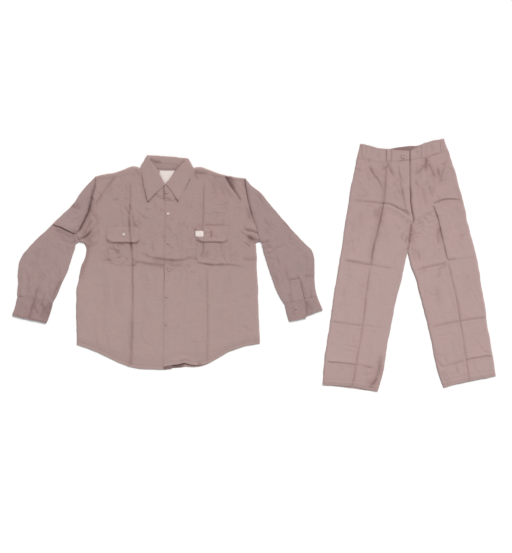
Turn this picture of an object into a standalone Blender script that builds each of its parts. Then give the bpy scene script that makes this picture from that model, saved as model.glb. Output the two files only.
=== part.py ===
"""Long-sleeved work shirt and pleated trousers, laid flat side by side.

World units are metres, +Z is up and z = 0 is the surface the cloth lies on.
+X runs to the right and +Y towards the collar, as seen from above.  The
tables below give plan places in laying-out steps of 4 mm, x to the right and
y down, from the corner of the laying table; heights are in millimetres.
Left and right in the names are the wearer's.
"""
import math
import bpy
import numpy as np

# ------------------------------------------------------------------ sizes
STEP_MM = 4.0             # one laying-out step
CENTRE = (253.5, 265.5)   # the step that becomes x = 0, y = 0
WALL = 1.1                # cloth wall
GAP = 0.3                 # between pieces
LEVEL = WALL + GAP        # one layer of cloth
LIFT = 0.6                # the upper layer's swell over the lower one
SEAM = 0.12               # plan gap at a seam, in steps
CREASE = 0.8              # pressed vertical crease of the shirt
BUTTON_R = 5.6            # shirt buttons, 18 line
BUTTON_H = 2.4
WAIST_BUTTON_R = 8.6
BUTTON_SIDES = 12

LOW = WALL / 2            # middle of the lowest layer
UP = LOW + LEVEL          # middle of the layer on it

COLOURS = {               # linear colour, roughness
    "shirt_cloth": ((0.410, 0.300, 0.282), 0.92),
    "trouser_cloth": ((0.465, 0.340, 0.322), 0.92),
    "label_white": ((0.72, 0.66, 0.64), 0.85),
    "button_tonal": ((0.46, 0.34, 0.33), 0.38),
    "button_pale": ((0.66, 0.54, 0.52), 0.34),
}


def table(columns, *rows):
    names = columns.split()
    return [dict(zip(names, row)) for row in rows]


# ------------------------------------------------------------- the tables
# armholes: shoulder point down to the underarm
ARMHOLE_RIGHT = table("x y",
    (95.5, 176.6), (95.0, 181.0), (93.4, 187.5), (91.7, 195.0), (89.6, 203.0), (87.3, 211.0),
    (84.4, 218.5), (80.7, 226.0), (78.5, 230.0), (76.9, 234.0), (77.6, 238.0), (80.0, 241.6))
ARMHOLE_LEFT = table("x y",
    (245.1, 178.2), (245.4, 181.0), (245.9, 187.5), (247.3, 195.0), (249.0, 203.0), (251.4, 211.0),
    (253.6, 218.5), (255.8, 226.0), (257.0, 230.0), (258.2, 234.0), (259.3, 238.0), (259.6, 241.6))
# side seams below the underarm
SIDE_RIGHT = table("x y", (83.8, 243.0), (87.0, 250.0), (84.6, 257.0), (81.4, 265.2), (79.4, 275.0),
    (77.0, 288.0), (76.2, 301.0), (76.2, 315.0), (76.3, 330.0), (76.4, 344.8))
SIDE_LEFT = table("x y", (255.4, 243.0), (256.2, 250.0), (257.0, 257.0), (256.8, 265.2), (257.2, 275.0),
    (258.0, 288.0), (258.3, 301.0), (258.6, 315.0), (259.2, 330.0), (259.9, 343.9))

# shirt front sections: the armhole or side row named, and the inner end of
# the section; plumb = how far its columns stand upright; swell of that row
FRONT_RIGHT = table("row in_x in_y plumb swell fold",
    ("A1", 143.9, 172.6, 0.0, 0.7, 0), ("A2", 145.4, 179.0, 0.0, 1, 0), ("A3", 149.6, 187.6, 0.0, 1, 0),
    ("A4", 156.8, 195.4, 0.0, 1, 0), ("A5", 164.4, 200.4, 0.3, 1, 0), ("A5b", 172.0, 201.8, 0.6, 1, 0),
    ("A6", 172.0, 213.0, 1, 1, 0), ("A7", 172.0, 226.0, 1, 1, 0), ("A8", 172.0, 230.0, 1, 1, 0),
    ("A9", 172.0, 234.0, 1, 1, 0), ("A10", 172.0, 238.0, 1, 1, 0), ("S0", 172.0, 243.0, 1, 1, 0),
    ("S1", 172.0, 250.0, 1, 1, 0), ("S2", 172.0, 257.0, 1, 1, 2.2), ("S3", 172.0, 265.2, 1, 1, 0),
    ("S4", 172.0, 275.0, 1, 1, 0), ("S5", 172.0, 288.0, 1, 1, 0), ("S6", 172.0, 301.0, 1, 1, 0),
    ("S7", 172.0, 315.0, 1, 1, 0), ("S8", 172.0, 337.0, 1, 1, 0), ("S9", 171.0, 367.4, 1, 0.4, 0))
FRONT_LEFT = table("row in_x in_y plumb swell fold",
    ("A1", 190.0, 172.4, 0.0, 0.7, 0), ("A2", 189.4, 180.8, 0.0, 1, 0), ("A3", 185.6, 189.0, 0.0, 1, 0),
    ("A4", 179.2, 196.2, 0.0, 1, 0), ("A5", 172.0, 201.0, 0.3, 1, 0), ("A5b", 165.1, 200.1, 0.6, 1, 0),
    ("A6", 165.3, 213.0, 1, 1, 0), ("A7", 165.1, 226.0, 1, 1, 0), ("A8", 165.0, 230.0, 1, 1, 0),
    ("A9", 165.0, 234.0, 1, 1, 0), ("A10", 164.9, 238.0, 1, 1, 0), ("S0", 164.8, 243.0, 1, 1, 0),
    ("S1", 164.7, 250.0, 1, 1, 0), ("S2", 164.6, 257.0, 1, 1, 2.2), ("S3", 164.5, 265.2, 1, 1, 0),
    ("S4", 164.4, 275.0, 1, 1, 0), ("S5", 164.2, 288.0, 1, 1, 0), ("S6", 164.1, 301.0, 1, 1, 0),
    ("S7", 163.9, 315.0, 1, 1, 0), ("S8", 163.6, 337.0, 1, 1, 0), ("S9", 163.2, 367.6, 1, 1, 0))
COLUMNS_RIGHT = (98, 107, 115, 123.5, 131, 137.5, 145, 152, 158.5, 165)
COLUMNS_LEFT = (244, 231, 222, 213, 204, 195.5, 188, 181, 173.5)
CREASE_X = {"right": 131.0, "left": 204.0}
TAIL_LIFT = 2.4           # the over front's tail stands off by the closure

# the hem's fall from the side seam (t = 0) to the middle (t = 1)
TAIL = {"right": table("t fall", (0.0, 0.0), (0.2, 0.27), (0.38, 0.62), (0.56, 0.91), (0.74, 1.0), (1.0, 1.0)),
        "left": table("t fall", (0.0, 0.0), (0.175, 0.13), (0.33, 0.36), (0.535, 0.81), (0.67, 0.9), (0.83, 0.97),
                      (1.0, 1.0))}

# shoulder fold and neck of the yoke, from one shoulder point to the other;
# seam_y is the front yoke seam, 0 where the neck is and no front strip hangs
YOKE = table("x edge_y seam_y",
    (95.5, 176.6, 180.8), (107.0, 173.9, 178.7), (118.0, 172.0, 176.8), (129.0, 167.3, 174.9),
    (134.0, 166.2, 174.0), (139.4, 167.7, 173.1), (145.0, 170.3, 0), (152.0, 169.9, 0), (160.0, 169.8, 0),
    (167.3, 170.0, 0), (175.0, 170.2, 0), (182.0, 170.7, 0), (188.8, 171.6, 0), (194.6, 167.5, 173.0),
    (201.7, 167.4, 174.1), (212.6, 171.2, 175.8), (225.6, 175.6, 178.0), (235.0, 176.9, 179.4),
    (245.1, 178.2, 181.0 - SEAM))

# sleeve sections: outer fold, knee (where the armhole turns), inner fold
SLEEVE_RIGHT = table("ox oy kx ky ix iy tuck",
    (85.3, 187.3, 76.4, 234.6, 78.6, 242.4, 0), (71.6, 205.6, 75.9, 235.3, 77.2, 243.0, 1.2),
    (54.0, 222.2, 75.3, 236.4, 76.0, 243.6, 2.6), (50.4, 225.9, 73.6, 239.6, 75.4, 245.4, 0.2),
    (40.0, 236.0, 69.8, 250.6, 73.0, 252.8, 0), (28.2, 248.2, 65.8, 263.2, 69.4, 264.5, 0),
    (20.0, 260.0, 61.8, 274.2, 65.8, 274.8, 0), (18.0, 273.0, 57.8, 281.4, 61.8, 282.2, 0),
    (18.0, 286.0, 53.5, 291.8, 57.4, 293.2, 0), (17.3, 297.3, 49.0, 302.3, 52.8, 302.9, 0))
SLEEVE_LEFT = table("ox oy kx ky ix iy tuck",
    (259.0, 193.6, 259.4, 235.6, 260.6, 242.4, 0), (272.5, 209.4, 260.4, 236.8, 261.6, 243.2, 0.8),
    (284.2, 222.0, 261.4, 240.0, 262.2, 246.0, 0), (296.0, 233.8, 263.4, 246.4, 263.2, 251.0, 0),
    (305.8, 243.8, 267.0, 254.4, 265.4, 257.0, 0), (313.0, 253.0, 271.0, 263.4, 267.7, 265.0, 0),
    (314.5, 264.0, 274.2, 271.8, 270.6, 273.4, 0), (314.5, 276.0, 277.8, 280.8, 274.0, 282.2, 0),
    (315.4, 288.0, 282.6, 292.6, 278.9, 294.0, 0), (317.4, 297.0, 288.0, 304.0, 284.8, 305.0, 0))
CUFF_RIGHT = table("ox oy ix iy", (17.2, 297.6, 52.7, 303.3), (15.0, 306.4, 49.8, 313.2), (12.3, 315.6, 46.4, 323.2))
CUFF_LEFT = table("ox oy ix iy", (317.6, 297.4, 284.9, 305.4), (320.0, 303.6, 286.8, 313.2), (322.5, 309.9, 288.9, 321.0))
# the left cuff's lap: over end's and under end's place on those sections
CUFF_LAP = table("over_x over_y under_x under_y", (304.4, 301.4, 299.6, 302.2), (305.4, 309.6, 300.8, 309.8),
                 (306.3, 317.6, 302.6, 316.9))
PLACKET_SLEEVE = table("x0 y0 x1 y1", (289.4, 281.0, 299.2, 279.4), (289.9, 289.0, 301.2, 287.4),
                       (291.0, 296.6, 303.0, 295.0), (292.2, 303.0, 304.3, 300.9))

# collar leaf: seam on the band, roll, outer edge; heights of each
COLLAR_LEAF = table("sx sy rx ry ex ey zs zi zo ze",
    (163.6, 185.6, 165.2, 183.9, 147.6, 201.2, 5.3, 5.4, 7.0, 4.8),
    (159.2, 178.8, 160.7, 176.4, 145.0, 190.2, 5.3, 5.4, 7.0, 4.7),
    (154.4, 171.0, 156.0, 168.6, 142.7, 178.8, 5.4, 5.5, 7.2, 4.7),
    (151.6, 166.0, 152.6, 163.2, 141.0, 172.0, 5.5, 5.6, 7.3, 4.9),
    (150.6, 162.6, 149.7, 158.6, 140.3, 168.2, 5.3, 5.5, 7.0, 5.0),
    (151.2, 161.4, 148.3, 156.2, 140.4, 166.2, 4.7, 4.8, 5.6, 3.2),
    (153.6, 161.2, 149.4, 155.5, 144.0, 166.6, 3.9, 4.1, 2.3, 0.6),
    (160.0, 161.5, 158.0, 155.9, 155.0, 167.0, 3.6, 4.0, 2.2, LOW),
    (167.6, 162.0, 167.6, 156.8, 167.6, 167.3, 3.6, 4.0, 2.2, LOW),
    (175.0, 162.8, 177.0, 157.6, 180.0, 167.8, 3.6, 4.0, 2.2, LOW),
    (181.4, 164.0, 185.4, 158.4, 189.4, 168.0, 3.9, 4.1, 2.3, 0.6),
    (183.4, 164.8, 187.4, 159.4, 193.2, 167.4, 4.7, 4.8, 5.6, 3.2),
    (183.2, 166.2, 185.6, 161.8, 193.8, 169.6, 5.3, 5.5, 7.0, 5.0),
    (180.8, 168.6, 181.0, 164.6, 193.0, 173.2, 5.5, 5.6, 7.3, 4.9),
    (177.2, 172.6, 176.0, 169.8, 190.2, 177.8, 5.4, 5.5, 7.2, 4.7),
    (172.6, 179.2, 171.0, 176.8, 186.2, 187.0, 5.3, 5.4, 7.0, 4.7),
    (167.8, 185.6, 166.2, 183.4, 178.0, 201.2, 5.3, 5.4, 7.0, 5.0))
# collar band, from its under end round the neck to its over end
COLLAR_STAND = table("bx by tx ty zb zt",
    (170.6, 200.2, 168.6, 190.0, 3.2, 3.7), (164.6, 199.3, 163.2, 187.6, 3.2, 4.0),
    (157.4, 194.6, 159.3, 180.8, 3.4, 4.2), (150.4, 187.0, 154.8, 172.6, 3.5, 4.3),
    (146.4, 178.6, 152.6, 167.6, 3.6, 4.1), (144.9, 172.6, 151.4, 164.4, 3.6, 4.0),
    (145.3, 169.6, 152.2, 162.4, 2.9, 3.8), (149.0, 169.3, 155.0, 161.9, UP, 3.6),
    (156.0, 169.2, 160.4, 162.2, UP, 3.5), (167.3, 169.4, 167.6, 162.7, UP, 3.5),
    (177.0, 169.8, 174.4, 163.4, UP, 3.5), (184.4, 170.4, 179.8, 164.4, UP, 3.6),
    (188.4, 171.2, 181.8, 165.6, 3.0, 4.0), (188.7, 174.2, 182.0, 167.4, 3.8, 4.4),
    (187.6, 180.6, 179.4, 171.4, 3.7, 4.4), (184.0, 188.6, 174.8, 177.6, 3.5, 4.4),
    (178.4, 195.4, 170.6, 183.2, 3.9, 4.6), (171.6, 199.9, 167.2, 187.2, 4.9, 5.3),
    (164.9, 199.0, 164.2, 188.8, 5.0, 5.4))

# patch pockets and flaps: column x of the panel, first and last rows
POCKET_RIGHT = {"xs": (107, 115, 123.5, 131, 137.5), "rows": ("A8", "S3"), "corner": (5.0, 2.4)}
POCKET_LEFT = {"xs": (231, 222, 213, 204, 195.5), "rows": ("A8", "S3"), "corner": (4.0, 2.4)}
FLAP_ROWS = table("y in_mitre", (226.0, 0), (230.0, 0), (238.4, 0), (242.4, 4.4))
FLAP_RIGHT_X = (106.0, 115.0, 123.5, 131.0, 139.4)
FLAP_LEFT_X = (228.2, 222.0, 213.0, 204.0, 195.4)
TAB = table("x y", (195.6, 231.0), (203.6, 236.6))
LABEL = table("x y", (159.4, 170.6), (176.0, 183.0))

SHIRT_BUTTONS = table("name x y pale",
    ("shirt_button_1", 168.0, 213.5, 1), ("shirt_button_2", 168.3, 243.2, 0), ("shirt_button_3", 169.4, 270.0, 0),
    ("shirt_button_4", 166.4, 297.0, 0), ("shirt_button_5", 166.0, 323.7, 0))

# trouser fronts: outer seam, pressed crease, inner edge; fold = height of a
# cross crease of the packing at that row, over = lap of the fly at that row
LEG_RIGHT = table("ax ay kx ky bx by fold over",
    (356.7, 158.6, 384.6, 163.4, 408.9, 160.8, 0, 1), (355.2, 168.0, 385.6, 170.0, 409.0, 168.8, 0, 1),
    (352.8, 178.0, 385.2, 180.0, 409.1, 178.6, 0, 1), (350.9, 188.0, 384.8, 189.6, 409.3, 188.8, 0, 1),
    (349.2, 199.4, 383.4, 203.2, 409.9, 202.6, 1.2, 1), (347.4, 210.4, 381.4, 212.0, 411.2, 211.0, 0, 1),
    (345.4, 221.2, 379.0, 221.8, 412.8, 221.3, 0, 1), (343.9, 232.0, 376.4, 232.0, 411.4, 231.5, 0, 0),
    (342.8, 241.4, 374.4, 241.6, 409.6, 241.0, 0, 0), (341.3, 251.8, 372.4, 252.4, 407.5, 252.3, 0, 0),
    (339.4, 260.8, 370.6, 264.6, 404.4, 265.4, 1.4, 0), (336.9, 276.6, 368.4, 278.8, 402.4, 279.4, 0, 0),
    (334.1, 293.6, 366.0, 295.0, 397.4, 295.4, 0, 0), (331.6, 310.6, 364.2, 312.0, 393.9, 312.6, 0, 0),
    (329.6, 323.0, 362.6, 325.4, 391.2, 327.0, 1.3, 0), (327.2, 341.0, 360.0, 342.6, 387.4, 343.0, 0, 0),
    (324.9, 356.0, 357.2, 359.0, 385.0, 360.4, 0.8, 0), (323.6, 370.0, 354.6, 372.4, 382.6, 374.4, 0, 0),
    (322.9, 384.9, 352.2, 386.7, 377.4, 391.7, 0.2, 0))
LEG_LEFT = table("ax ay kx ky bx by fold over",
    (449.2, 151.4, 427.6, 157.4, 402.0, 161.2, 0, 0), (451.9, 161.4, 428.4, 165.8, 402.2, 168.8, 0, 0),
    (455.4, 171.6, 430.4, 176.0, 402.5, 178.6, 0, 0), (458.2, 183.0, 432.4, 187.4, 402.9, 188.8, 0, 0),
    (462.1, 196.0, 434.0, 202.4, 403.4, 200.6, 1.2, 0), (465.0, 207.6, 436.0, 211.2, 404.4, 211.0, 0, 0),
    (466.6, 216.0, 437.8, 218.4, 405.2, 218.6, 0, 0), (466.9, 218.6, 438.4, 220.0, 413.02, 220.2, 0, 0),
    (470.3, 231.8, 441.4, 232.6, 411.55, 231.5, 0, 0), (472.7, 241.4, 443.8, 242.0, 409.75, 241.0, 0, 0),
    (475.2, 251.2, 446.0, 253.0, 407.65, 252.3, 0, 0), (477.6, 259.4, 448.0, 262.4, 411.4, 268.0, 1.4, 0),
    (480.0, 276.6, 451.4, 278.0, 415.8, 279.0, 0, 0), (482.4, 291.4, 454.8, 292.8, 419.6, 294.0, 0, 0),
    (484.9, 305.4, 457.4, 307.0, 423.4, 307.6, 0, 0), (486.6, 318.0, 459.4, 321.6, 428.2, 327.4, 1.3, 0),
    (489.7, 336.0, 462.2, 338.6, 431.4, 340.0, 0, 0), (492.2, 352.0, 464.6, 356.6, 434.6, 359.0, 0.8, 0),
    (494.4, 366.0, 467.0, 370.0, 438.8, 376.0, 0, 0), (495.9, 376.2, 469.3, 381.4, 443.4, 387.4, 0.2, 0))
BAND_RIGHT = table("tx ty bx by over",
    (360.4, 144.1, 357.0, 158.2, 0), (368.5, 145.3, 366.6, 160.0, 0), (379.4, 148.6, 378.0, 162.0, 0),
    (389.0, 149.6, 388.8, 162.6, 0), (396.0, 150.0, 396.0, 161.9, 0), (401.4, 150.4, 401.4, 161.3, 1),
    (408.9, 150.9, 408.8, 160.5, 1))
BAND_LEFT = table("tx ty bx by over",
    (402.2, 151.4, 402.2, 160.7, 0), (409.2, 150.9, 409.2, 160.0, 0), (415.4, 148.4, 415.8, 158.8, 0),
    (421.0, 145.6, 422.0, 157.8, 0), (427.0, 142.6, 428.2, 156.9, 0), (436.0, 140.2, 438.4, 154.0, 0),
    (443.9, 139.3, 449.0, 151.0, 0))
BAND_BACK = table("tx ty bx by",
    (360.6, 144.4, 357.1, 158.0), (379.4, 148.3, 378.0, 158.8), (391.0, 148.6, 391.0, 158.6),
    (402.0, 146.9, 402.0, 158.4), (410.6, 145.9, 410.6, 158.0), (415.4, 145.8, 416.0, 157.0),
    (427.0, 142.8, 429.0, 153.6), (443.7, 139.6, 448.8, 150.6))
LOOPS = table("name x0 x1 y_top0 y_top1 y_low0 y_low1",
    ("trousers_loop_right_front", 386.6, 390.8, 148.9, 149.1, 161.6, 161.4),
    ("trousers_loop_right_side", 361.8, 365.8, 143.6, 144.2, 156.4, 157.0),
    ("trousers_loop_left_front", 421.8, 425.8, 144.6, 142.6, 158.2, 157.4),
    ("trousers_loop_left_side", 440.6, 444.4, 139.2, 139.15, 151.6, 150.4))
WAIST_BUTTON = (403.4, 155.6)


# ---------------------------------------------------------------- helpers
def place(x, y, z):
    return ((x - CENTRE[0]) * STEP_MM / 1000, (CENTRE[1] - y) * STEP_MM / 1000, z / 1000)


def material(slot):
    mat = bpy.data.materials.get(slot)
    if mat is None:
        colour, rough = COLOURS[slot]
        mat = bpy.data.materials.new(slot)
        mat.use_nodes = True
        shader = mat.node_tree.nodes["Principled BSDF"]
        shader.inputs["Base Color"].default_value = (*colour, 1)
        shader.inputs["Roughness"].default_value = rough
        shader.inputs["Metallic"].default_value = 0.0
    return mat


def add_object(name, verts, faces, slot, smooth=False):
    mesh = bpy.data.meshes.new(name)
    mesh.from_pydata([tuple(v) for v in verts], [], faces)
    mesh.validate()
    mesh.materials.append(material(slot))
    if smooth:
        mesh.shade_smooth()
    obj = bpy.data.objects.new(name, mesh)
    bpy.context.scene.collection.objects.link(obj)
    obj.parent = bpy.data.objects["root"]
    return obj


def shell(name, points, faces, slot, wall=WALL):
    """A closed wall of the given thickness about a surface of quads."""
    pts = np.array([place(*p) for p in points])
    normal = np.zeros_like(pts)
    for f in faces:
        a, b, c, d = (pts[i] for i in (f if len(f) == 4 else (*f, f[-1])))
        n = np.cross(c - a, d - b)
        size = np.linalg.norm(n)
        if size > 0:
            n /= size
        for i in f:
            normal[i] += n
    count = np.zeros(len(pts))
    for f in faces:
        for i in f:
            count[i] += 1
    mean = normal / count[:, None]
    length = np.linalg.norm(mean, axis=1)
    unit = mean / np.maximum(length, 1e-6)[:, None]
    reach = wall / 2000 / np.clip(length, 0.78, 1.0)
    upper = pts + unit * reach[:, None]
    lower = pts - unit * reach[:, None]
    n = len(pts)
    edges = {}
    for f in faces:
        for i, a in enumerate(f):
            edges[(a, f[(i + 1) % len(f)])] = True
    out = [tuple(f) for f in faces] + [tuple(i + n for i in reversed(f)) for f in faces]
    out += [(b, a, a + n, b + n) for (a, b) in edges if (b, a) not in edges]
    verts = np.vstack([upper, lower])
    used = sorted({i for f in out for i in f})
    new = {old: k for k, old in enumerate(used)}
    return add_object(name, verts[used], [tuple(new[i] for i in f) for f in out], slot)


def sheet(name, grid, slot, wrap=False, flip=False, wall=WALL):
    """A wall over a grid of points, rows of equal length; None is a hole."""
    rows, cols = len(grid), len(grid[0])
    points, faces = [], []
    index = {}
    for i in range(rows):
        for j in range(cols):
            if grid[i][j] is not None:
                index[i, j] = len(points)
                points.append(grid[i][j])
    for i in range(rows - 1):
        for j in range(cols if wrap else cols - 1):
            k = (j + 1) % cols
            corner = [index.get(c) for c in ((i, j), (i + 1, j), (i + 1, k), (i, k))]
            if None not in corner:
                faces.append(corner[::-1] if flip else corner)
    return shell(name, points, faces, slot, wall)


def mix(a, b, t):
    return a + (b - a) * t


def tail(side, t):
    """Shirt tail: share of the hem's fall at a share of the way from the side
    seam to the middle."""
    rows = TAIL[side]
    for a, b in zip(rows, rows[1:]):
        if t <= b["t"]:
            return mix(a["fall"], b["fall"], (t - a["t"]) / (b["t"] - a["t"]))
    return rows[-1]["fall"]


# ------------------------------------------------------------ shirt fronts
def side_point(row, armhole, side, step):
    kind, number = row[0], row[1:]
    if number == "5b":
        a, b = armhole[5], armhole[6]
        return mix(a["x"], b["x"], 0.35) + step, mix(a["y"], b["y"], 0.35)
    p = (armhole if kind == "A" else side)[int(number)]
    return p["x"] + step, p["y"]


def front_panel(rows, columns, armhole, side, which, over):
    """Grid of (x, y, z) and the index of each named row."""
    grid, names = [], []
    crease = CREASE_X[which]
    ref_a, ref_b = side[0]["x"], rows[8]["in_x"]
    for r in rows:
        ax, ay = side_point(r["row"], armhole, side, 0.0)
        bx, by = r["in_x"], r["in_y"]
        line = []
        xs = [ax] + [mix(mix(ax, bx, (c - ref_a) / (ref_b - ref_a)), c, r["plumb"]) for c in columns] + [bx]
        for j, x in enumerate(xs):
            t = (x - ax) / (bx - ax)
            y = mix(ay, by, tail(which, t) if r["row"] in ("S8", "S9") else t)
            z = UP + (LIFT * r["swell"] if j else 0)
            if abs(x - crease) < 0.3 and r["plumb"] == 1:
                z += CREASE
            if 144 < x < 182:
                z += r["fold"]
            elif 182 < x < 190:
                z += 0.6 * r["fold"]
            if over:
                ramp = max(0.0, min(1.0, (181.0 - x) / 7.5)) if r["plumb"] > 0 else 0.0
                if r["row"] in ("A5", "A5b"):
                    ramp = max(0.0, min(1.0, (180.0 - x) / 7.5))
                z += LEVEL * ramp
                if r["row"] == "S9" and 172 < x < 200:
                    z += TAIL_LIFT * (1.0 if x < 190 else 0.4)
            line.append((x, y, z))
        grid.append(line)
        names.append(r["row"])
    return grid, names


def build_fronts():
    right, names = front_panel(FRONT_RIGHT, COLUMNS_RIGHT, ARMHOLE_RIGHT, SIDE_RIGHT, "right", False)
    left, _ = front_panel(FRONT_LEFT, COLUMNS_LEFT, ARMHOLE_LEFT, SIDE_LEFT, "left", True)
    sheet("shirt_front_right", right, "shirt_cloth")
    sheet("shirt_front_left", left, "shirt_cloth", flip=True)
    return {"right": (right, names), "left": (left, names)}


def panel_height(grid, x, y):
    """Height of a panel's middle at a plan point, read off its own facets."""
    best = None
    for i in range(len(grid) - 1):
        for j in range(len(grid[0]) - 1):
            a, b, c, d = grid[i][j], grid[i + 1][j], grid[i + 1][j + 1], grid[i][j + 1]
            for tri in ((a, b, c), (a, c, d)):
                (x0, y0, z0), (x1, y1, z1), (x2, y2, z2) = tri
                den = (y1 - y2) * (x0 - x2) + (x2 - x1) * (y0 - y2)
                if abs(den) < 1e-9:
                    continue
                u = ((y1 - y2) * (x - x2) + (x2 - x1) * (y - y2)) / den
                v = ((y2 - y0) * (x - x2) + (x0 - x2) * (y - y2)) / den
                if u > -1e-4 and v > -1e-4 and u + v < 1.0001:
                    z = u * z0 + v * z1 + (1 - u - v) * z2
                    best = z if best is None else max(best, z)
    return best


def on_panel(grid, x, y, levels):
    return (x, y, panel_height(grid, x, y) + levels * LEVEL)


def build_pocket(name, panel, spec, flip):
    grid, names = panel
    i0, i1 = names.index(spec["rows"][0]), names.index(spec["rows"][1])
    inset, rise = spec["corner"]
    lines = []
    for i in range(i0, i1 + 1):
        y = grid[i][4][1]
        line = []
        for k, x in enumerate(spec["xs"]):
            edge = k in (0, len(spec["xs"]) - 1)
            if i == i1 and edge:
                x += inset * (1 if (k == 0) != flip else -1)
            line.append(on_panel(grid, x, y, 1))
        lines.append(line)
    sheet(name, lines, "shirt_cloth", flip=flip)


def build_flap(name, panel, xs, flip):
    grid, _ = panel
    lines = []
    for n, r in enumerate(FLAP_ROWS):
        line = []
        for k, x in enumerate(xs):
            if k in (0, len(xs) - 1):
                x += r["in_mitre"] * (1 if (k == 0) != flip else -1)
            line.append(on_panel(grid, x, r["y"], 1.05 if n == 0 else 2))
        lines.append(line)
    sheet(name, lines, "shirt_cloth", flip=flip)


# --------------------------------------------------------- back and yoke
def build_back():
    arm, seam = (3, 6, 9, 11), (0, 1, 3, 5, 7, 8, 9)
    left = [(p["x"], p["y"]) for p in [ARMHOLE_RIGHT[i] for i in arm] + [SIDE_RIGHT[i] for i in seam]]
    right = [(p["x"], p["y"]) for p in [ARMHOLE_LEFT[i] for i in arm] + [SIDE_LEFT[i] for i in seam]]
    left[0], right[0] = (91.6, 195.4), (247.4, 195.4)
    left[3], right[3] = (left[3][0] + 0.8, left[3][1]), (right[3][0] - 0.4, right[3][1])
    grid = []
    for k, ((lx, ly), (rx, ry)) in enumerate(zip(left, right)):
        line = []
        for c in range(13):
            t = (0, 0.06, 0.13, 0.21, 0.29, 0.38, 0.5, 0.62, 0.71, 0.79, 0.87, 0.94, 1)[c]
            half = tail("right" if t < 0.5 else "left", min(t, 1 - t) * 2)
            y = mix(ly, ry, t)
            if k == len(left) - 1:
                y += 23.2 * half
            elif k == len(left) - 2:
                y += 9.0 * half
            line.append((mix(lx, rx, t), y, LOW))
        grid.append(line)
    sheet("shirt_back", grid, "shirt_cloth")


def build_yoke():
    fold = LEVEL + LIFT * 0.7
    grid = [[] for _ in range(6)]
    last = len(YOKE) - 1
    for k, p in enumerate(YOKE):
        t = k / last
        lo = (mix(91.7, 247.3, (p["x"] - 95.5) / 149.6), 195.0)
        mid = (mix(93.4, 245.9, (p["x"] - 95.5) / 149.6), 187.5)
        edge_x = p["x"]
        grid[0].append((lo[0], lo[1], LOW))
        grid[1].append((mid[0], mid[1], LOW))
        if p["seam_y"] == 0:
            grid[2].append((edge_x, p["edge_y"], LOW))
            for g in grid[3:]:
                g.append(None)
        else:
            pull = {0: -0.2, last: 0.1}.get(k, 0.0)
            grid[2].append((edge_x + pull, p["edge_y"] + 1.3, LOW))
            grid[3].append((edge_x, p["edge_y"] + 0.1, LOW + fold / 2))
            grid[4].append((edge_x + pull, p["edge_y"] + 1.3, LOW + fold))
            seam = p["seam_y"] - SEAM
            x = {0: 95.0, last: 245.4}.get(k, edge_x)
            grid[5].append((x, seam, UP + LIFT * (0.7 if 0 < k < last else 0)))
    sheet("shirt_yoke", grid, "shirt_cloth", flip=True)


# ----------------------------------------------------------------- sleeves
def build_sleeve(name, armhole, sections, sign, cols_knee=9):
    """Flattened tube: the top layer's columns out, the lower one's back."""
    run = [0.0]
    for a, b in zip(armhole[:cols_knee], armhole[1:cols_knee + 1]):
        run.append(run[-1] + math.hypot(b["x"] - a["x"], b["y"] - a["y"]))
    share = [r / run[-1] for r in run]
    tail_run = [math.hypot(armhole[10]["x"] - armhole[9]["x"], armhole[10]["y"] - armhole[9]["y"])]
    tail_run.append(tail_run[0] + math.hypot(armhole[11]["x"] - armhole[10]["x"], armhole[11]["y"] - armhole[10]["y"]))
    rows = [[(p["x"] - sign * 0.16, p["y"], 0.0) for p in armhole]]
    for s in sections:
        line = [(mix(s["ox"], s["kx"], t), mix(s["oy"], s["ky"], t), s["tuck"]) for t in share]
        line += [(mix(s["kx"], s["ix"], r / tail_run[-1]), mix(s["ky"], s["iy"], r / tail_run[-1]), s["tuck"])
                 for r in tail_run]
        rows.append(line)
    grid = []
    for i, line in enumerate(rows):
        n = len(line) - 1
        (ax, ay, _), (bx, by, _) = line[0], line[-1]
        dx, dy = (bx - ax), (by - ay)
        size = math.hypot(dx, dy)
        dx, dy = dx / size, dy / size
        swell = LIFT if i else LIFT * 0.4
        top = [(x + (dx * 0.35 if j == 0 else -dx * 0.35 if j == n else 0),
                y + (dy * 0.35 if j == 0 else -dy * 0.35 if j == n else 0),
                UP + (swell + tuck * (0.35 if j == 1 else 1) if 0 < j < n else 0.05)) for j, (x, y, tuck) in enumerate(line)]
        low = [(x, y, LOW) for x, y, _ in top][::-1]
        low = [low[0], low[2], low[5], low[8], low[-1]]
        ring = [(ax, ay, (LOW + UP) / 2)] + top + [(bx, by, (LOW + UP) / 2)] + low
        grid.append(ring)
    sheet(name, grid, "shirt_cloth", wrap=True, flip=sign < 0)
    return rows


def build_cuff_right():
    grid = []
    for s in CUFF_RIGHT:
        a, b = (s["ox"], s["oy"]), (s["ix"], s["iy"])
        at = lambda t, z: (mix(a[0], b[0], t), mix(a[1], b[1], t), z)
        grid.append([at(0, (LOW + UP) / 2), at(0.012, UP), at(0.1, UP + LIFT), at(0.36, UP + LIFT), at(0.64, UP + LIFT),
                     at(0.9, UP + LIFT), at(0.988, UP), at(1, (LOW + UP) / 2), at(0.988, LOW), at(0.5, LOW), at(0.012, LOW)])
    sheet("shirt_cuff_right", grid, "shirt_cloth", wrap=True)


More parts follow.
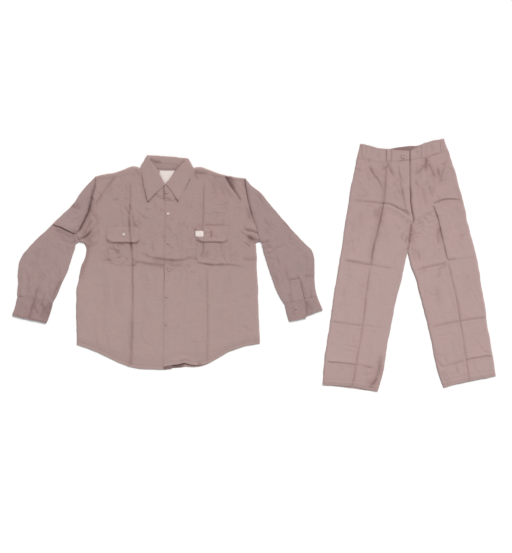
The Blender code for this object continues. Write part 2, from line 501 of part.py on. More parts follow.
def build_cuff_left():
    grid = []
    for s, lap in zip(CUFF_LEFT, CUFF_LAP):
        a, b = (s["ox"], s["oy"]), (s["ix"], s["iy"])
        over, under = (lap["over_x"], lap["over_y"]), (lap["under_x"], lap["under_y"])
        at = lambda p, q, t, z: (mix(p[0], q[0], t), mix(p[1], q[1], t), z)
        top, high = UP + LIFT, UP + LIFT + LEVEL
        line = [at(over, over, 0, high), at(over, b, 0.35, high), at(over, b, 0.7, high - 0.4), at(over, b, 0.985, UP + 0.1),
                at(b, b, 0, (LOW + UP) / 2), at(b, a, 0.012, LOW), at(b, a, 0.5, LOW), at(b, a, 0.988, LOW),
                at(a, a, 0, (LOW + UP) / 2), at(under, a, 0.985, UP), at(under, a, 0.6, top), at(under, a, 0.32, top),
                (under[0], under[1], top)]
        grid.append(line)
    sheet("shirt_cuff_left", grid, "shirt_cloth", flip=False)


def build_sleeve_placket():
    z = UP + LIFT + LEVEL
    grid = [[(s["x0"], s["y0"], z), (mix(s["x0"], s["x1"], 0.5), mix(s["y0"], s["y1"], 0.5), z), (s["x1"], s["y1"], z)]
            for s in PLACKET_SLEEVE]
    sheet("shirt_sleeve_placket_left", grid, "shirt_cloth")


# ------------------------------------------------------------------ collar
def build_collar():
    leaf = []
    for s in COLLAR_LEAF:
        seam, roll, edge = (s["sx"], s["sy"]), (s["rx"], s["ry"]), (s["ex"], s["ey"])
        at = lambda p, q, t, z: (mix(p[0], q[0], t), mix(p[1], q[1], t), z)
        leaf.append([(*seam, s["zs"]), at(seam, roll, 0.72, s["zi"]), (*roll, (s["zi"] + s["zo"]) / 2),
                     at(roll, edge, 0.06, s["zo"]), at(roll, edge, 0.5, mix(s["zo"], s["ze"], 0.42)), (*edge, s["ze"])])
    sheet("shirt_collar_leaf", leaf, "shirt_cloth", flip=True)
    stand = [[(s["bx"], s["by"], s["zb"]), (mix(s["bx"], s["tx"], 0.5), mix(s["by"], s["ty"], 0.5), mix(s["zb"], s["zt"], 0.5)),
              (s["tx"], s["ty"], s["zt"])] for s in COLLAR_STAND]
    sheet("shirt_collar_stand", stand, "shirt_cloth", flip=False)


def flat_patch(name, corners, z, slot, nx=2, ny=2):
    (x0, y0), (x1, y1) = corners
    grid = [[(mix(x0, x1, i / nx), mix(y0, y1, j / ny), z) for i in range(nx + 1)] for j in range(ny + 1)]
    sheet(name, grid, slot)


def button(name, x, y, base, radius, slot, height=BUTTON_H):
    """Low round button with a dished face, its back on the cloth."""
    profile = ((0.0, 0.0), (0.9, 0.0), (1.0, 0.3), (0.94, 1.0), (0.62, 1.0), (0.5, 0.74), (0.0, 0.74))
    cx, cy, _ = place(x, y, 0)
    verts = [(cx, cy, base / 1000)]
    for r, h in profile[1:-1]:
        for k in range(BUTTON_SIDES):
            a = 2 * math.pi * k / BUTTON_SIDES
            verts.append((cx + math.cos(a) * r * radius / 1000, cy + math.sin(a) * r * radius / 1000,
                          (base + h * height) / 1000))
    verts.append((cx, cy, (base + profile[-1][1] * height) / 1000))
    n = BUTTON_SIDES
    faces = [(0, 1 + (k + 1) % n, 1 + k) for k in range(n)]
    for ring in range(len(profile) - 3):
        for k in range(n):
            a, b = 1 + ring * n + k, 1 + ring * n + (k + 1) % n
            faces.append((a, b, b + n, a + n))
    last = 1 + (len(profile) - 3) * n
    faces += [(last + k, last + (k + 1) % n, len(verts) - 1) for k in range(n)]
    obj = add_object(name, verts, faces, slot, smooth=True)
    obj.data.set_sharp_from_angle(angle=math.radians(40))
    return obj


# ---------------------------------------------------------------- trousers
LEG_SPLIT_A = (0.0, 0.12, 0.4, 0.72, 1.0)
LEG_SPLIT_B = (0.3, 0.52, 0.72, 0.86, 1.0)


def leg_front(rows, over):
    grid = []
    last = len(rows) - 1
    for i, s in enumerate(rows):
        line = []
        a, k, b = (s["ax"], s["ay"]), (s["kx"], s["ky"]), (s["bx"], s["by"])
        stations = [(a, k, t, 0) for t in LEG_SPLIT_A] + [(k, b, t, 1) for t in LEG_SPLIT_B]
        for n, (p, q, t, half) in enumerate(stations):
            x, y = mix(p[0], q[0], t), mix(p[1], q[1], t)
            crossed = 9 > n > 0 and not (half and t > 0.6 and s["by"] < 225)
            inner_seam = n == 9 and s["by"] > 225
            z = UP + (0 if n == 0 or inner_seam or i == last else LIFT) + (s["fold"] if crossed else 0)
            if n == 4:
                z += 0.7 + 1.2 * min(1.0, max(0.0, (s["ky"] - 165) / 40))
            if over and half and t > 0.6:
                z += LEVEL * s["over"]
            line.append((x, y, z))
        grid.append(line)
    return grid


def build_trousers():
    right, left = leg_front(LEG_RIGHT, True), leg_front(LEG_LEFT, False)
    sheet("trousers_front_right", right, "trouser_cloth")
    sheet("trousers_front_left", left, "trouser_cloth", flip=True)
    crotch_right = [r for r in LEG_RIGHT if r["by"] < 250][::2] + [r for r in LEG_RIGHT if r["by"] > 250]
    crotch_left = [r for r in LEG_LEFT if r["by"] < 250][::2] + [r for r in LEG_LEFT if r["by"] > 250]
    for name, rows, split, flip in (("trousers_back_right", crotch_right, 407.5, False),
                                    ("trousers_back_left", crotch_left, 407.65, True)):
        grid = []
        for s in rows:
            a, k, b = (s["ax"], s["ay"]), (s["kx"], s["ky"]), (s["bx"], s["by"])
            if b[1] < 250:
                b = (split, b[1])
            grid.append([(mix(a[0], k[0], t), mix(a[1], k[1], t), LOW) for t in (0, 0.5, 1)]
                        + [(mix(k[0], b[0], t), mix(k[1], b[1], t), LOW) for t in (0.5, 1)])
        sheet(name, grid, "trouser_cloth", flip=flip)
    for name, rows in (("trousers_waistband_right", BAND_RIGHT), ("trousers_waistband_left", BAND_LEFT)):
        grid = []
        for k, s in enumerate(rows):
            side = (name.endswith("right") and k == 0) or (name.endswith("left") and k == len(rows) - 1)
            z = UP + (0 if side else LIFT) + LEVEL * s["over"]
            grid.append([(mix(s["tx"], s["bx"], t), mix(s["ty"], s["by"], t), z) for t in (0, 0.5, 1)])
        sheet(name, grid, "trouser_cloth", flip=True)
    back = [[(mix(s["tx"], s["bx"], t), mix(s["ty"], s["by"], t), LOW) for t in (0, 0.5, 1)] for s in BAND_BACK]
    sheet("trousers_waistband_back", back, "trouser_cloth", flip=True)
    for s in LOOPS:
        z = UP + LIFT + LEVEL
        grid = []
        for t, h in ((0, 0), (0.2, 0.7), (0.5, 1.0), (0.8, 0.7), (1, 0.1)):
            grid.append([(s["x0"], mix(s["y_top0"], s["y_low0"], t), z + h), (s["x1"], mix(s["y_top1"], s["y_low1"], t), z + h)])
        sheet(s["name"], grid, "trouser_cloth")
    base = UP + LIFT + LEVEL + WALL / 2 + GAP
    button("trousers_waist_button", *WAIST_BUTTON, base, WAIST_BUTTON_R, "button_tonal", 2.8)


# -------------------------------------------------------------------- main
def build():
    for obj in list(bpy.data.objects):
        bpy.data.objects.remove(obj, do_unlink=True)
    root = bpy.data.objects.new("root", None)
    bpy.context.scene.collection.objects.link(root)

    panels = build_fronts()
    build_back()
    build_yoke()
    build_sleeve("shirt_sleeve_right", ARMHOLE_RIGHT, SLEEVE_RIGHT, 1)
    build_sleeve("shirt_sleeve_left", ARMHOLE_LEFT, SLEEVE_LEFT, -1)
    build_cuff_right()
    build_cuff_left()
    build_sleeve_placket()
    build_collar()
    build_pocket("shirt_pocket_right", panels["right"], POCKET_RIGHT, False)
    build_pocket("shirt_pocket_left", panels["left"], POCKET_LEFT, True)
    build_flap("shirt_flap_right", panels["right"], FLAP_RIGHT_X, False)
    build_flap("shirt_flap_left", panels["left"], FLAP_LEFT_X, True)
    flat_patch("shirt_label_neck", [(p["x"], p["y"]) for p in LABEL], UP, "label_white")
    tab_z = UP + LIFT + CREASE + 3 * LEVEL
    flat_patch("shirt_tab_pocket", [(p["x"], p["y"]) for p in TAB], tab_z, "label_white")

    for b in SHIRT_BUTTONS:
        base = panel_height(panels["left"][0], b["x"], b["y"]) + WALL / 2 + GAP
        button(b["name"], b["x"], b["y"], base, BUTTON_R, "button_pale" if b["pale"] else "button_tonal")
    button("shirt_button_collar", 167.2, 193.4, 5.4 + WALL / 2 + GAP, BUTTON_R, "button_tonal")
    flap_top = panel_height(panels["right"][0], 123.6, 234.8) + 2 * LEVEL + WALL / 2 + GAP
    button("shirt_button_flap_right", 123.6, 234.8, flap_top, BUTTON_R, "button_pale")
    cuff_top = UP + LIFT + LEVEL + WALL / 2 + GAP
    button("shirt_button_cuff_left", 296.0, 308.4, cuff_top, BUTTON_R, "button_tonal")
    build_trousers()


build()
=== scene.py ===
"""Looks of the laid-out shirt and trousers.

Plan places are in laying-out steps of 4 mm (x to the right, y down, as seen
from above), heights in millimetres above the surface the cloth lies on.
Left and right in the names are the wearer's.
"""
import math
import bpy
import numpy as np
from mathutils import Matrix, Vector
from mathutils.bvhtree import BVHTree


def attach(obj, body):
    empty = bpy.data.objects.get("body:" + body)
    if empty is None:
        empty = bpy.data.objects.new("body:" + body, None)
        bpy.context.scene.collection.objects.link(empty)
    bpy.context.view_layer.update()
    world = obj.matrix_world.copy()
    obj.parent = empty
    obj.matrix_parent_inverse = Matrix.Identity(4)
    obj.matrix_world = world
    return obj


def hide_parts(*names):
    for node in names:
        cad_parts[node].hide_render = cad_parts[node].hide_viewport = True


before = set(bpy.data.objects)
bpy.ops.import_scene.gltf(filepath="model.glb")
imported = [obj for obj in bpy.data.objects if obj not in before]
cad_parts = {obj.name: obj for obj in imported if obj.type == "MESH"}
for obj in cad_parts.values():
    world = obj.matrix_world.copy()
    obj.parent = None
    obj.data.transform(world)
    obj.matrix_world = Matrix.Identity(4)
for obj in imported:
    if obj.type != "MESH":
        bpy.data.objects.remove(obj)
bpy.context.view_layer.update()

STEP = 0.004
CENTRE = (253.5, 265.5)
CLOTH = 0.7          # thickness of one layer of cloth, mm
BACK_Z = 0.95        # top of the cloth lying on the surface
SHIRT_Z = 5.0        # top of the shirt fronts over the back
TROUSER_Z = 5.0
FINE = 0.66          # spacing of the fine meshes, steps
SLEEVE_FINE = 0.74


# --------------------------------------------------------------- plain maths
AMBIENT = 0.50          # light of the room, and of the key light
KEY = 2.9
BROADER, GROOVE_GAIN, STEP_GAIN = 1.2, 1.15, 1.7    # of all creases


def table(columns, *rows):
    names = columns.split()
    return [dict(zip(names, row)) for row in rows]


def metres(p):
    """Places in steps and mm to metres, with the small unevenness of the lay."""
    p = np.asarray(p, float)
    out = np.empty_like(p)
    wx, wy = (sum(a * n(p[..., 0], p[..., 1]) for a, n in way) for way in LAY)
    out[..., 0] = (p[..., 0] + wx - CENTRE[0]) * STEP
    out[..., 1] = (CENTRE[1] - p[..., 1] - wy) * STEP
    out[..., 2] = p[..., 2] / 1000
    return out


def smooth(t):
    t = np.clip(t, 0.0, 1.0)
    return t * t * (3 - 2 * t)


def curve(points, u, corners=(), spatial=False):
    """Smooth curve through the points at the given places, in point numbers.
    Its third coordinate never passes its points'."""
    p = np.asarray(points, float)
    n = len(p)
    d = np.maximum(np.linalg.norm(np.diff(p if spatial else p[:, :2], axis=0), axis=1), 1e-6)
    left, right = np.zeros_like(p), np.zeros_like(p)
    for i in range(n):
        before = (p[i] - p[i - 1]) / d[i - 1] if i else None
        after = (p[i + 1] - p[i]) / d[i] if i < n - 1 else None
        if before is not None and after is not None and i not in corners:
            m = (before * d[i] + after * d[i - 1]) / (d[i] + d[i - 1])
            if p.shape[1] > 2:
                a, b = before[2], after[2]
                m[2] = 2 * a * b / (a + b) if a * b > 0 else 0.0
            left[i] = right[i] = m
        else:
            if before is not None:
                left[i] = before
            if after is not None:
                right[i] = after
    u = np.clip(np.asarray(u, float), 0, n - 1)
    i = np.minimum(u.astype(int), n - 2)
    t = (u - i)[:, None]
    h = d[i][:, None]
    p0, p1, m0, m1 = p[i], p[i + 1], right[i] * h, left[i + 1] * h
    return ((2 * t**3 - 3 * t**2 + 1) * p0 + (t**3 - 2 * t**2 + t) * m0
            + (-2 * t**3 + 3 * t**2) * p1 + (t**3 - t**2) * m1)


def stations(lists, spacing, finer=None):
    """Places along rows of points about `spacing` apart, an even number to each
    interval; finer = {interval: factor}."""
    out = []
    n = len(lists[0])
    for i in range(n - 1):
        length = max(math.dist(p[i][:2], p[i + 1][:2]) for p in lists)
        want = length / spacing * (finer or {}).get(i, 1)
        k = max(2, 2 * round(want / 2))
        out += [i + j / k for j in range(k)]
    return np.array(out + [n - 1.0])


def soft_floor(r, low):
    """r, held above low without a kink."""
    return np.where(r > 0.6 * low, r, 0.6 * low + 0.4 * low * np.tanh((r - 0.6 * low) / (0.4 * low)))


def xy(rows, a, b):
    return np.array([(r[a], r[b]) for r in rows], float)


class Noise:
    """Smooth seeded noise in the plan, about -1 to 1."""

    def __init__(self, seed, cell, stretch=(1.0, 1.0)):
        self.cell = (cell * stretch[0], cell * stretch[1])
        self.grid = np.random.default_rng(seed).uniform(-1, 1, (260, 260))

    def __call__(self, x, y):
        gx, gy = np.asarray(x) / self.cell[0] + 4.3, np.asarray(y) / self.cell[1] + 4.7
        ix, iy = np.floor(gx).astype(int), np.floor(gy).astype(int)
        fx, fy = gx - ix, gy - iy
        fx, fy = fx**3 * (fx * (6 * fx - 15) + 10), fy**3 * (fy * (6 * fy - 15) + 10)
        g = self.grid
        at = lambda a, b: g[np.mod(a, 260), np.mod(b, 260)]
        return ((at(ix, iy) * (1 - fx) + at(ix + 1, iy) * fx) * (1 - fy)
                + (at(ix, iy + 1) * (1 - fx) + at(ix + 1, iy + 1) * fx) * fy)


LAY = ([(0.30, Noise(1, 8.0)), (0.16, Noise(2, 3.4))], [(0.30, Noise(3, 8.0)), (0.16, Noise(4, 3.4))])


# ------------------------------------------------------------------- creases
class Crease:
    """A soft line in the cloth.  kind: groove, ridge, or step (one side lies
    over the other; high is that side's direction in the plan)."""

    def __init__(self, kind, points, width, depth, fade=(0.25, 0.25), high=None, reach=5.0, lip=0.0,
                 trough=0.5, sharp=0.5, dark=0.4, shoulder=0.25):
        p = np.array(points, float)
        u = np.linspace(0, len(p) - 1, max(8, int(np.sum(np.hypot(*np.diff(p, axis=0).T)) * 2.2)))
        self.q = curve(p, u)
        d = np.gradient(self.q, axis=0)
        d /= np.maximum(np.hypot(d[:, 0], d[:, 1]), 1e-9)[:, None]
        self.n = np.stack([-d[:, 1], d[:, 0]], 1)
        if high is not None:
            way = {"up": (0, -1), "down": (0, 1), "left": (-1, 0), "right": (1, 0)}[high]
            if np.sum(self.n @ np.array(way)) < 0:
                self.n = -self.n
        run = np.concatenate([[0], np.cumsum(np.hypot(*np.diff(self.q, axis=0).T))])
        self.length = run[-1]
        t = run / run[-1]
        wave = Noise(int(points[0][0] * 7 + points[0][1] * 13) % 9973, 7.0)(run, run * 0)
        a = smooth(t / max(fade[0], 1e-3)) * smooth((1 - t) / max(fade[1], 1e-3))
        self.amount = a * (0.86 + 0.22 * wave)
        self.kind, self.width, self.reach, self.lip = kind, width * BROADER, reach * 1.2, lip * 1.2
        self.depth = depth * (STEP_GAIN if kind == "step" else GROOVE_GAIN)
        self.trough, self.sharp, self.dark, self.shoulder = trough * STEP_GAIN, sharp, dark, shoulder

    def add(self, X, Y, out):
        """Adds height, plan shift and painted shade to out = [dz, dx, dy, shade]."""
        margin = max(4.5 * self.width, (3.2 * self.reach if self.kind == "step" else 0)) + 1
        lo, hi = self.q.min(0) - margin, self.q.max(0) + margin
        near = np.nonzero((X > lo[0]) & (X < hi[0]) & (Y > lo[1]) & (Y < hi[1]))[0]
        for part in np.array_split(near, max(1, len(near) * len(self.q) // 4_000_000)):
            if len(part) == 0:
                continue
            dx = X[part][:, None] - self.q[None, :, 0]
            dy = Y[part][:, None] - self.q[None, :, 1]
            k = np.argmin(dx * dx + dy * dy, axis=1)
            r = np.arange(len(part))
            dx, dy = dx[r, k], dy[r, k]
            n = self.n[k]
            s = dx * n[:, 0] + dy * n[:, 1]
            away = np.abs(dx * n[:, 1] - dy * n[:, 0])      # past an end
            a = self.amount[k] * np.exp(-(np.maximum(away - 0.6, 0) / 1.5) ** 2)
            w = self.width
            if self.kind in ("groove", "ridge"):
                r2 = np.sqrt(s * s + 0.05 * w * w)
                shape = (1 - self.sharp) * np.exp(-(s / w) ** 2) + self.sharp * np.exp(-r2 / (0.8 * w))
                side = self.shoulder * np.exp(-((np.abs(s) - 2.3 * w) / (1.3 * w)) ** 2)
                sign = -1.0 if self.kind == "groove" else 1.0
                out[0][part] += sign * self.depth * a * (shape - side)
                # painted shade in the groove, and softer around it
                out[3][part] += self.dark * a * (0.78 * np.exp(-(s / (0.7 * w)) ** 2) + 0.3 * np.exp(-(s / (2.2 * w)) ** 2))
            else:
                up = smooth(s / w + 0.5) * np.exp(-np.maximum(s, 0) / self.reach)
                low = self.trough * np.exp(-((s + 0.9 * w) / (1.1 * w)) ** 2)
                out[0][part] += a * (self.depth * up - low)
                if self.lip:
                    phi = s / w * np.exp(0.5 - 0.5 * (s / w) ** 2)
                    out[1][part] -= a * self.lip * phi * n[:, 0]
                    out[2][part] -= a * self.lip * phi * n[:, 1]
                # painted shade below the step, where its shadow falls
                out[3][part] += self.dark * a * (0.8 * np.exp(-((s + 0.45 * w) / (0.75 * w)) ** 2)
                                                 + 0.3 * np.exp(-((s + 1.6 * w) / (2.0 * w)) ** 2))


def groove(points, width=0.8, depth=1.0, **more):
    return Crease("groove", points, width, depth, **more)


def ridge(points, width=1.2, depth=0.8, **more):
    return Crease("ridge", points, width, depth, **{"dark": 0.0, **more})


def step(points, high, width=1.0, depth=1.6, **more):
    return Crease("step", points, width, depth, high=high, **more)


def small_creases(rows):
    """Short soft creases, seeded: each row of the table spreads `count` of them
    over a box, about `angle` degrees from the x way, uneven in every size."""
    out = []
    for k, r in enumerate(rows):
        rng = np.random.default_rng(4000 + 17 * k + int(r["x0"]))
        for _ in range(r["count"]):
            x, y = rng.uniform(r["x0"], r["x1"]), rng.uniform(r["y0"], r["y1"])
            a = math.radians(r["angle"] + rng.normal(0, r["spread"]))
            l = r["length"] * rng.uniform(0.7, 2.1)
            bend, amount = rng.normal(0, 0.13) * l, rng.uniform(0.35, 1.25)
            c, d = math.cos(a), math.sin(a)
            out.append(groove([(x - c * l / 2, y - d * l / 2), (x - d * bend, y + c * bend), (x + c * l / 2, y + d * l / 2)],
                              r["width"] * rng.uniform(0.55, 1.2), 0.9 * r["depth"] * amount, fade=(0.45, 0.45),
                              dark=0.68 * r["dark"] * amount, sharp=0.3))
    return out


def relief(creases, noises, X, Y):
    """[height, x shift, y shift, shade] of a list of creases and noises."""
    shape = X.shape
    x, y = X.ravel(), Y.ravel()
    out = [np.zeros_like(x) for _ in range(4)]
    for c in creases:
        c.add(x, y, out)
    for amount, noise in noises:
        out[0] += amount * noise(x, y)
    out[3] = np.clip(out[3], 0, 1.7)
    return [o.reshape(shape) for o in out]


# ----------------------------------------------------------------- materials
def node(nodes, kind, place, **values):
    n = nodes.new(kind)
    n.location = place
    for key, value in values.items():
        if key.startswith("in_"):
            name = key[3:]
            n.inputs[int(name) if name.isdigit() else name.replace("_", " ")].default_value = value
        else:
            setattr(n, key, value)
    return n


def cloth_material(name, colour, thread_mm, twill, mottle=0.022, dark_amount=0.48):
    mat = bpy.data.materials.new(name)
    mat.use_nodes = True
    nodes, links = mat.node_tree.nodes, mat.node_tree.links
    nodes.clear()
    out = node(nodes, "ShaderNodeOutputMaterial", (1400, 0))
    bsdf = node(nodes, "ShaderNodeBsdfPrincipled", (1100, 0))
    bsdf.inputs["Roughness"].default_value = 0.93
    bsdf.inputs["Specular IOR Level"].default_value = 0.22
    bsdf.inputs["Sheen Weight"].default_value = 0.12
    bsdf.inputs["Sheen Roughness"].default_value = 0.5
    links.new(bsdf.outputs[0], out.inputs[0])
    uv = node(nodes, "ShaderNodeUVMap", (-1300, 0), uv_map="cloth")
    geo = node(nodes, "ShaderNodeTexCoord", (-1300, -400))
    # patches of slightly pinker and greyer cloth
    big = node(nodes, "ShaderNodeTexNoise", (-900, -350), in_Scale=13.0, in_Detail=4.0, in_Roughness=0.6)
    links.new(geo.outputs["Object"], big.inputs["Vector"])
    ramp = node(nodes, "ShaderNodeValToRGB", (-700, -350))
    ramp.color_ramp.elements[0].position, ramp.color_ramp.elements[1].position = 0.36, 0.66
    c = np.array(colour)
    pink = c * np.array([1 + mottle * 0.55, 1 - mottle * 0.30, 1 - mottle * 0.35])
    grey = c * np.array([1 - mottle * 0.75, 1 - mottle * 0.05, 1 + mottle * 0.15])
    ramp.color_ramp.elements[0].color = (*grey, 1)
    ramp.color_ramp.elements[1].color = (*pink, 1)
    links.new(big.outputs["Fac"], ramp.inputs["Fac"])
    # uneven yarn: long thin streaks along warp and weft
    streaks = []
    for k, scale in enumerate(((420.0, 26.0, 1.0), (26.0, 420.0, 1.0))):
        m = node(nodes, "ShaderNodeMapping", (-1100, 250 - 260 * k), in_Scale=scale)
        links.new(uv.outputs[0], m.inputs["Vector"])
        t = node(nodes, "ShaderNodeTexNoise", (-900, 250 - 260 * k), in_Scale=1.0, in_Detail=2.0, in_Roughness=0.6)
        links.new(m.outputs[0], t.inputs["Vector"])
        streaks.append(t)
    yarn = node(nodes, "ShaderNodeMath", (-700, 150), operation="ADD")
    links.new(streaks[0].outputs["Fac"], yarn.inputs[0])
    links.new(streaks[1].outputs["Fac"], yarn.inputs[1])
    tone = node(nodes, "ShaderNodeMapRange", (-500, 150), in_1=0.55, in_2=1.45, in_3=0.93, in_4=1.07)
    links.new(yarn.outputs[0], tone.inputs[0])
    # the weave itself
    freq = 1000.0 / thread_mm
    warp = node(nodes, "ShaderNodeMapping", (-1100, 560), in_Scale=(freq, freq, 1.0))
    links.new(uv.outputs[0], warp.inputs["Vector"])
    if twill:
        waves = [node(nodes, "ShaderNodeTexWave", (-900, 560), wave_type="BANDS", bands_direction="DIAGONAL",
                      in_Scale=0.31, in_Distortion=0.6, in_Detail=1.0)]
        links.new(warp.outputs[0], waves[0].inputs["Vector"])
        weave = waves[0].outputs["Fac"]
    else:
        check = []
        for k, way in enumerate(("X", "Y")):
            w = node(nodes, "ShaderNodeTexWave", (-900, 760 - 200 * k), wave_type="BANDS", bands_direction=way,
                     in_Scale=0.31, in_Distortion=0.5, in_Detail=1.0)
            links.new(warp.outputs[0], w.inputs["Vector"])
            check.append(w)
        both = node(nodes, "ShaderNodeMath", (-700, 640), operation="MULTIPLY")
        links.new(check[0].outputs["Fac"], both.inputs[0])
        links.new(check[1].outputs["Fac"], both.inputs[1])
        weave = both.outputs[0]
    gap = node(nodes, "ShaderNodeMapRange", (-500, 480), in_1=0.0, in_2=0.35, in_3=0.90, in_4=1.0)
    links.new(weave, gap.inputs[0])
    # painted shade: the shade attribute darkens the colour along creases, folds, seams and edges
    crease = node(nodes, "ShaderNodeAttribute", (-900, -650), attribute_name="shade", attribute_type="GEOMETRY")
    crease_tone = node(nodes, "ShaderNodeMapRange", (-700, -650), in_1=0.0, in_2=1.0, in_3=1.0, in_4=1.0 - dark_amount,
                       clamp=False)
    links.new(crease.outputs["Fac"], crease_tone.inputs[0])
    f1 = node(nodes, "ShaderNodeMath", (-250, 250), operation="MULTIPLY")
    links.new(tone.outputs[0], f1.inputs[0])
    links.new(gap.outputs[0], f1.inputs[1])
    f2 = node(nodes, "ShaderNodeMath", (-60, 150), operation="MULTIPLY")
    links.new(f1.outputs[0], f2.inputs[0])
    links.new(crease_tone.outputs[0], f2.inputs[1])
    final = node(nodes, "ShaderNodeVectorMath", (500, 0), operation="SCALE")
    links.new(ramp.outputs["Color"], final.inputs[0])
    links.new(f2.outputs[0], final.inputs["Scale"])
    # light that reaches into a fold has come off the cloth, so it is warmer there
    warm = node(nodes, "ShaderNodeCombineXYZ", (500, -180))
    for k, (way, most) in enumerate((("X", 1.07), ("Y", 0.955), ("Z", 0.96))):
        m = node(nodes, "ShaderNodeMapRange", (250, -180 - 160 * k), in_1=0.0, in_2=1.0, in_3=1.0, in_4=most, clamp=False)
        links.new(crease.outputs["Fac"], m.inputs[0])
        links.new(m.outputs[0], warm.inputs[way])
    folded = node(nodes, "ShaderNodeVectorMath", (750, 0), operation="MULTIPLY")
    links.new(final.outputs[0], folded.inputs[0])
    links.new(warm.outputs[0], folded.inputs[1])
    links.new(folded.outputs[0], bsdf.inputs["Base Color"])
    # relief of the yarn and a finer rumple than the mesh holds
    rumple = node(nodes, "ShaderNodeTexNoise", (-300, -350), in_Scale=95.0, in_Detail=4.0, in_Roughness=0.62)
    links.new(geo.outputs["Object"], rumple.inputs["Vector"])
    b1 = node(nodes, "ShaderNodeBump", (500, -350), in_Strength=0.20, in_Distance=0.0012)
    links.new(rumple.outputs["Fac"], b1.inputs["Height"])
    b2 = node(nodes, "ShaderNodeBump", (800, -250), in_Strength=0.45, in_Distance=0.00016)
    links.new(weave, b2.inputs["Height"])
    links.new(b1.outputs[0], b2.inputs["Normal"])
    links.new(b2.outputs[0], bsdf.inputs["Normal"])
    return mat


def plain_material(name, colour, rough, spec=0.5, coat=0.0, grain=0.0):
    mat = bpy.data.materials.new(name)
    mat.use_nodes = True
    nodes, links = mat.node_tree.nodes, mat.node_tree.links
    nodes.clear()
    out = node(nodes, "ShaderNodeOutputMaterial", (700, 0))
    bsdf = node(nodes, "ShaderNodeBsdfPrincipled", (400, 0))
    bsdf.inputs["Roughness"].default_value = rough
    bsdf.inputs["Specular IOR Level"].default_value = spec
    bsdf.inputs["Coat Weight"].default_value = coat
    bsdf.inputs["Coat Roughness"].default_value = 0.15
    links.new(bsdf.outputs[0], out.inputs[0])
    geo = node(nodes, "ShaderNodeTexCoord", (-700, 0))
    n = node(nodes, "ShaderNodeTexNoise", (-500, 0), in_Scale=240.0 if grain == 0 else grain, in_Detail=3.0)
    links.new(geo.outputs["Object"], n.inputs["Vector"])
    ramp = node(nodes, "ShaderNodeValToRGB", (-250, 0))
    c = np.array(colour)
    ramp.color_ramp.elements[0].color = (*(c * 0.94), 1)
    ramp.color_ramp.elements[1].color = (*np.minimum(c * 1.06, 1), 1)
    links.new(n.outputs["Fac"], ramp.inputs["Fac"])
    links.new(ramp.outputs["Color"], bsdf.inputs["Base Color"])
    bump = node(nodes, "ShaderNodeBump", (100, -250), in_Strength=0.15, in_Distance=0.0002)
    links.new(n.outputs["Fac"], bump.inputs["Height"])
    links.new(bump.outputs[0], bsdf.inputs["Normal"])
    return mat


SHIRT = cloth_material("shirt_cloth_fine", (0.407, 0.290, 0.273), 0.42, twill=False)
# the shirt's cloth, made darker: painted shade on the sleeves, cuffs and placket
SLEEVE = cloth_material("sleeve_cloth_fine", (0.364, 0.259, 0.250), 0.42, twill=False)
TROUSER = cloth_material("trouser_cloth_fine", (0.445, 0.319, 0.305), 0.62, twill=True)
THREAD = plain_material("thread", (0.37, 0.27, 0.26), 0.8, 0.3, grain=900.0)
THREAD_T = plain_material("thread_trousers", (0.42, 0.31, 0.30), 0.8, 0.3, grain=900.0)
LABEL = cloth_material("label_tape", (0.79, 0.70, 0.67), 0.5, twill=False, mottle=0.01)
TONAL = plain_material("button_tonal_fine", (0.43, 0.31, 0.30), 0.5, 0.3, 0.0, grain=420.0)
PALE = plain_material("button_pale_fine", (0.72, 0.62, 0.59), 0.28, 0.6, 0.4, grain=420.0)


# -------------------------------------------------------------------- meshes
PIECES = []


def make_mesh(name, co, faces_list, uv_list, shade, mat, body=None):
    """co: (n, 3) in metres.  faces_list: arrays (m, 3) or (m, 4) of corners;
    uv_list: matching arrays (m, corners, 2)."""
    me = bpy.data.meshes.new(name)
    me.vertices.add(len(co))
    me.vertices.foreach_set("co", np.ascontiguousarray(co, np.float32).ravel())
    loops = np.concatenate([f.ravel() for f in faces_list]).astype(np.int32)
    sizes = np.concatenate([np.full(len(f), f.shape[1]) for f in faces_list])
    starts = np.concatenate([[0], np.cumsum(sizes)[:-1]]).astype(np.int32)
    me.loops.add(len(loops))
    me.loops.foreach_set("vertex_index", loops)
    me.polygons.add(len(starts))
    me.polygons.foreach_set("loop_start", starts)
    me.update(calc_edges=True)
    layer = me.uv_layers.new(name="cloth")
    layer.data.foreach_set("uv", np.concatenate([u.reshape(-1, 2) for u in uv_list]).astype(np.float32).ravel())
    att = me.attributes.new("shade", "FLOAT", "POINT")
    att.data.foreach_set("value", np.asarray(shade, np.float32))
    me.materials.append(mat)
    me.validate()
    me.shade_smooth()
    me.set_sharp_from_angle(angle=math.radians(48))
    obj = bpy.data.objects.new(name, me)
    bpy.context.scene.collection.objects.link(obj)
    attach(obj, "root")
    PIECES.append(obj)
    return obj


def grid_normals(M, wrap=False):
    """Unit normals of a grid of points in metres, (rows, cols, 3)."""
    du = np.gradient(M, axis=0)
    if wrap:
        dv = (np.roll(M, -1, 1) - np.roll(M, 1, 1)) / 2
    else:
        dv = np.gradient(M, axis=1)
    n = np.cross(du, dv)
    n /= np.maximum(np.linalg.norm(n, axis=2), 1e-12)[..., None]
    return n


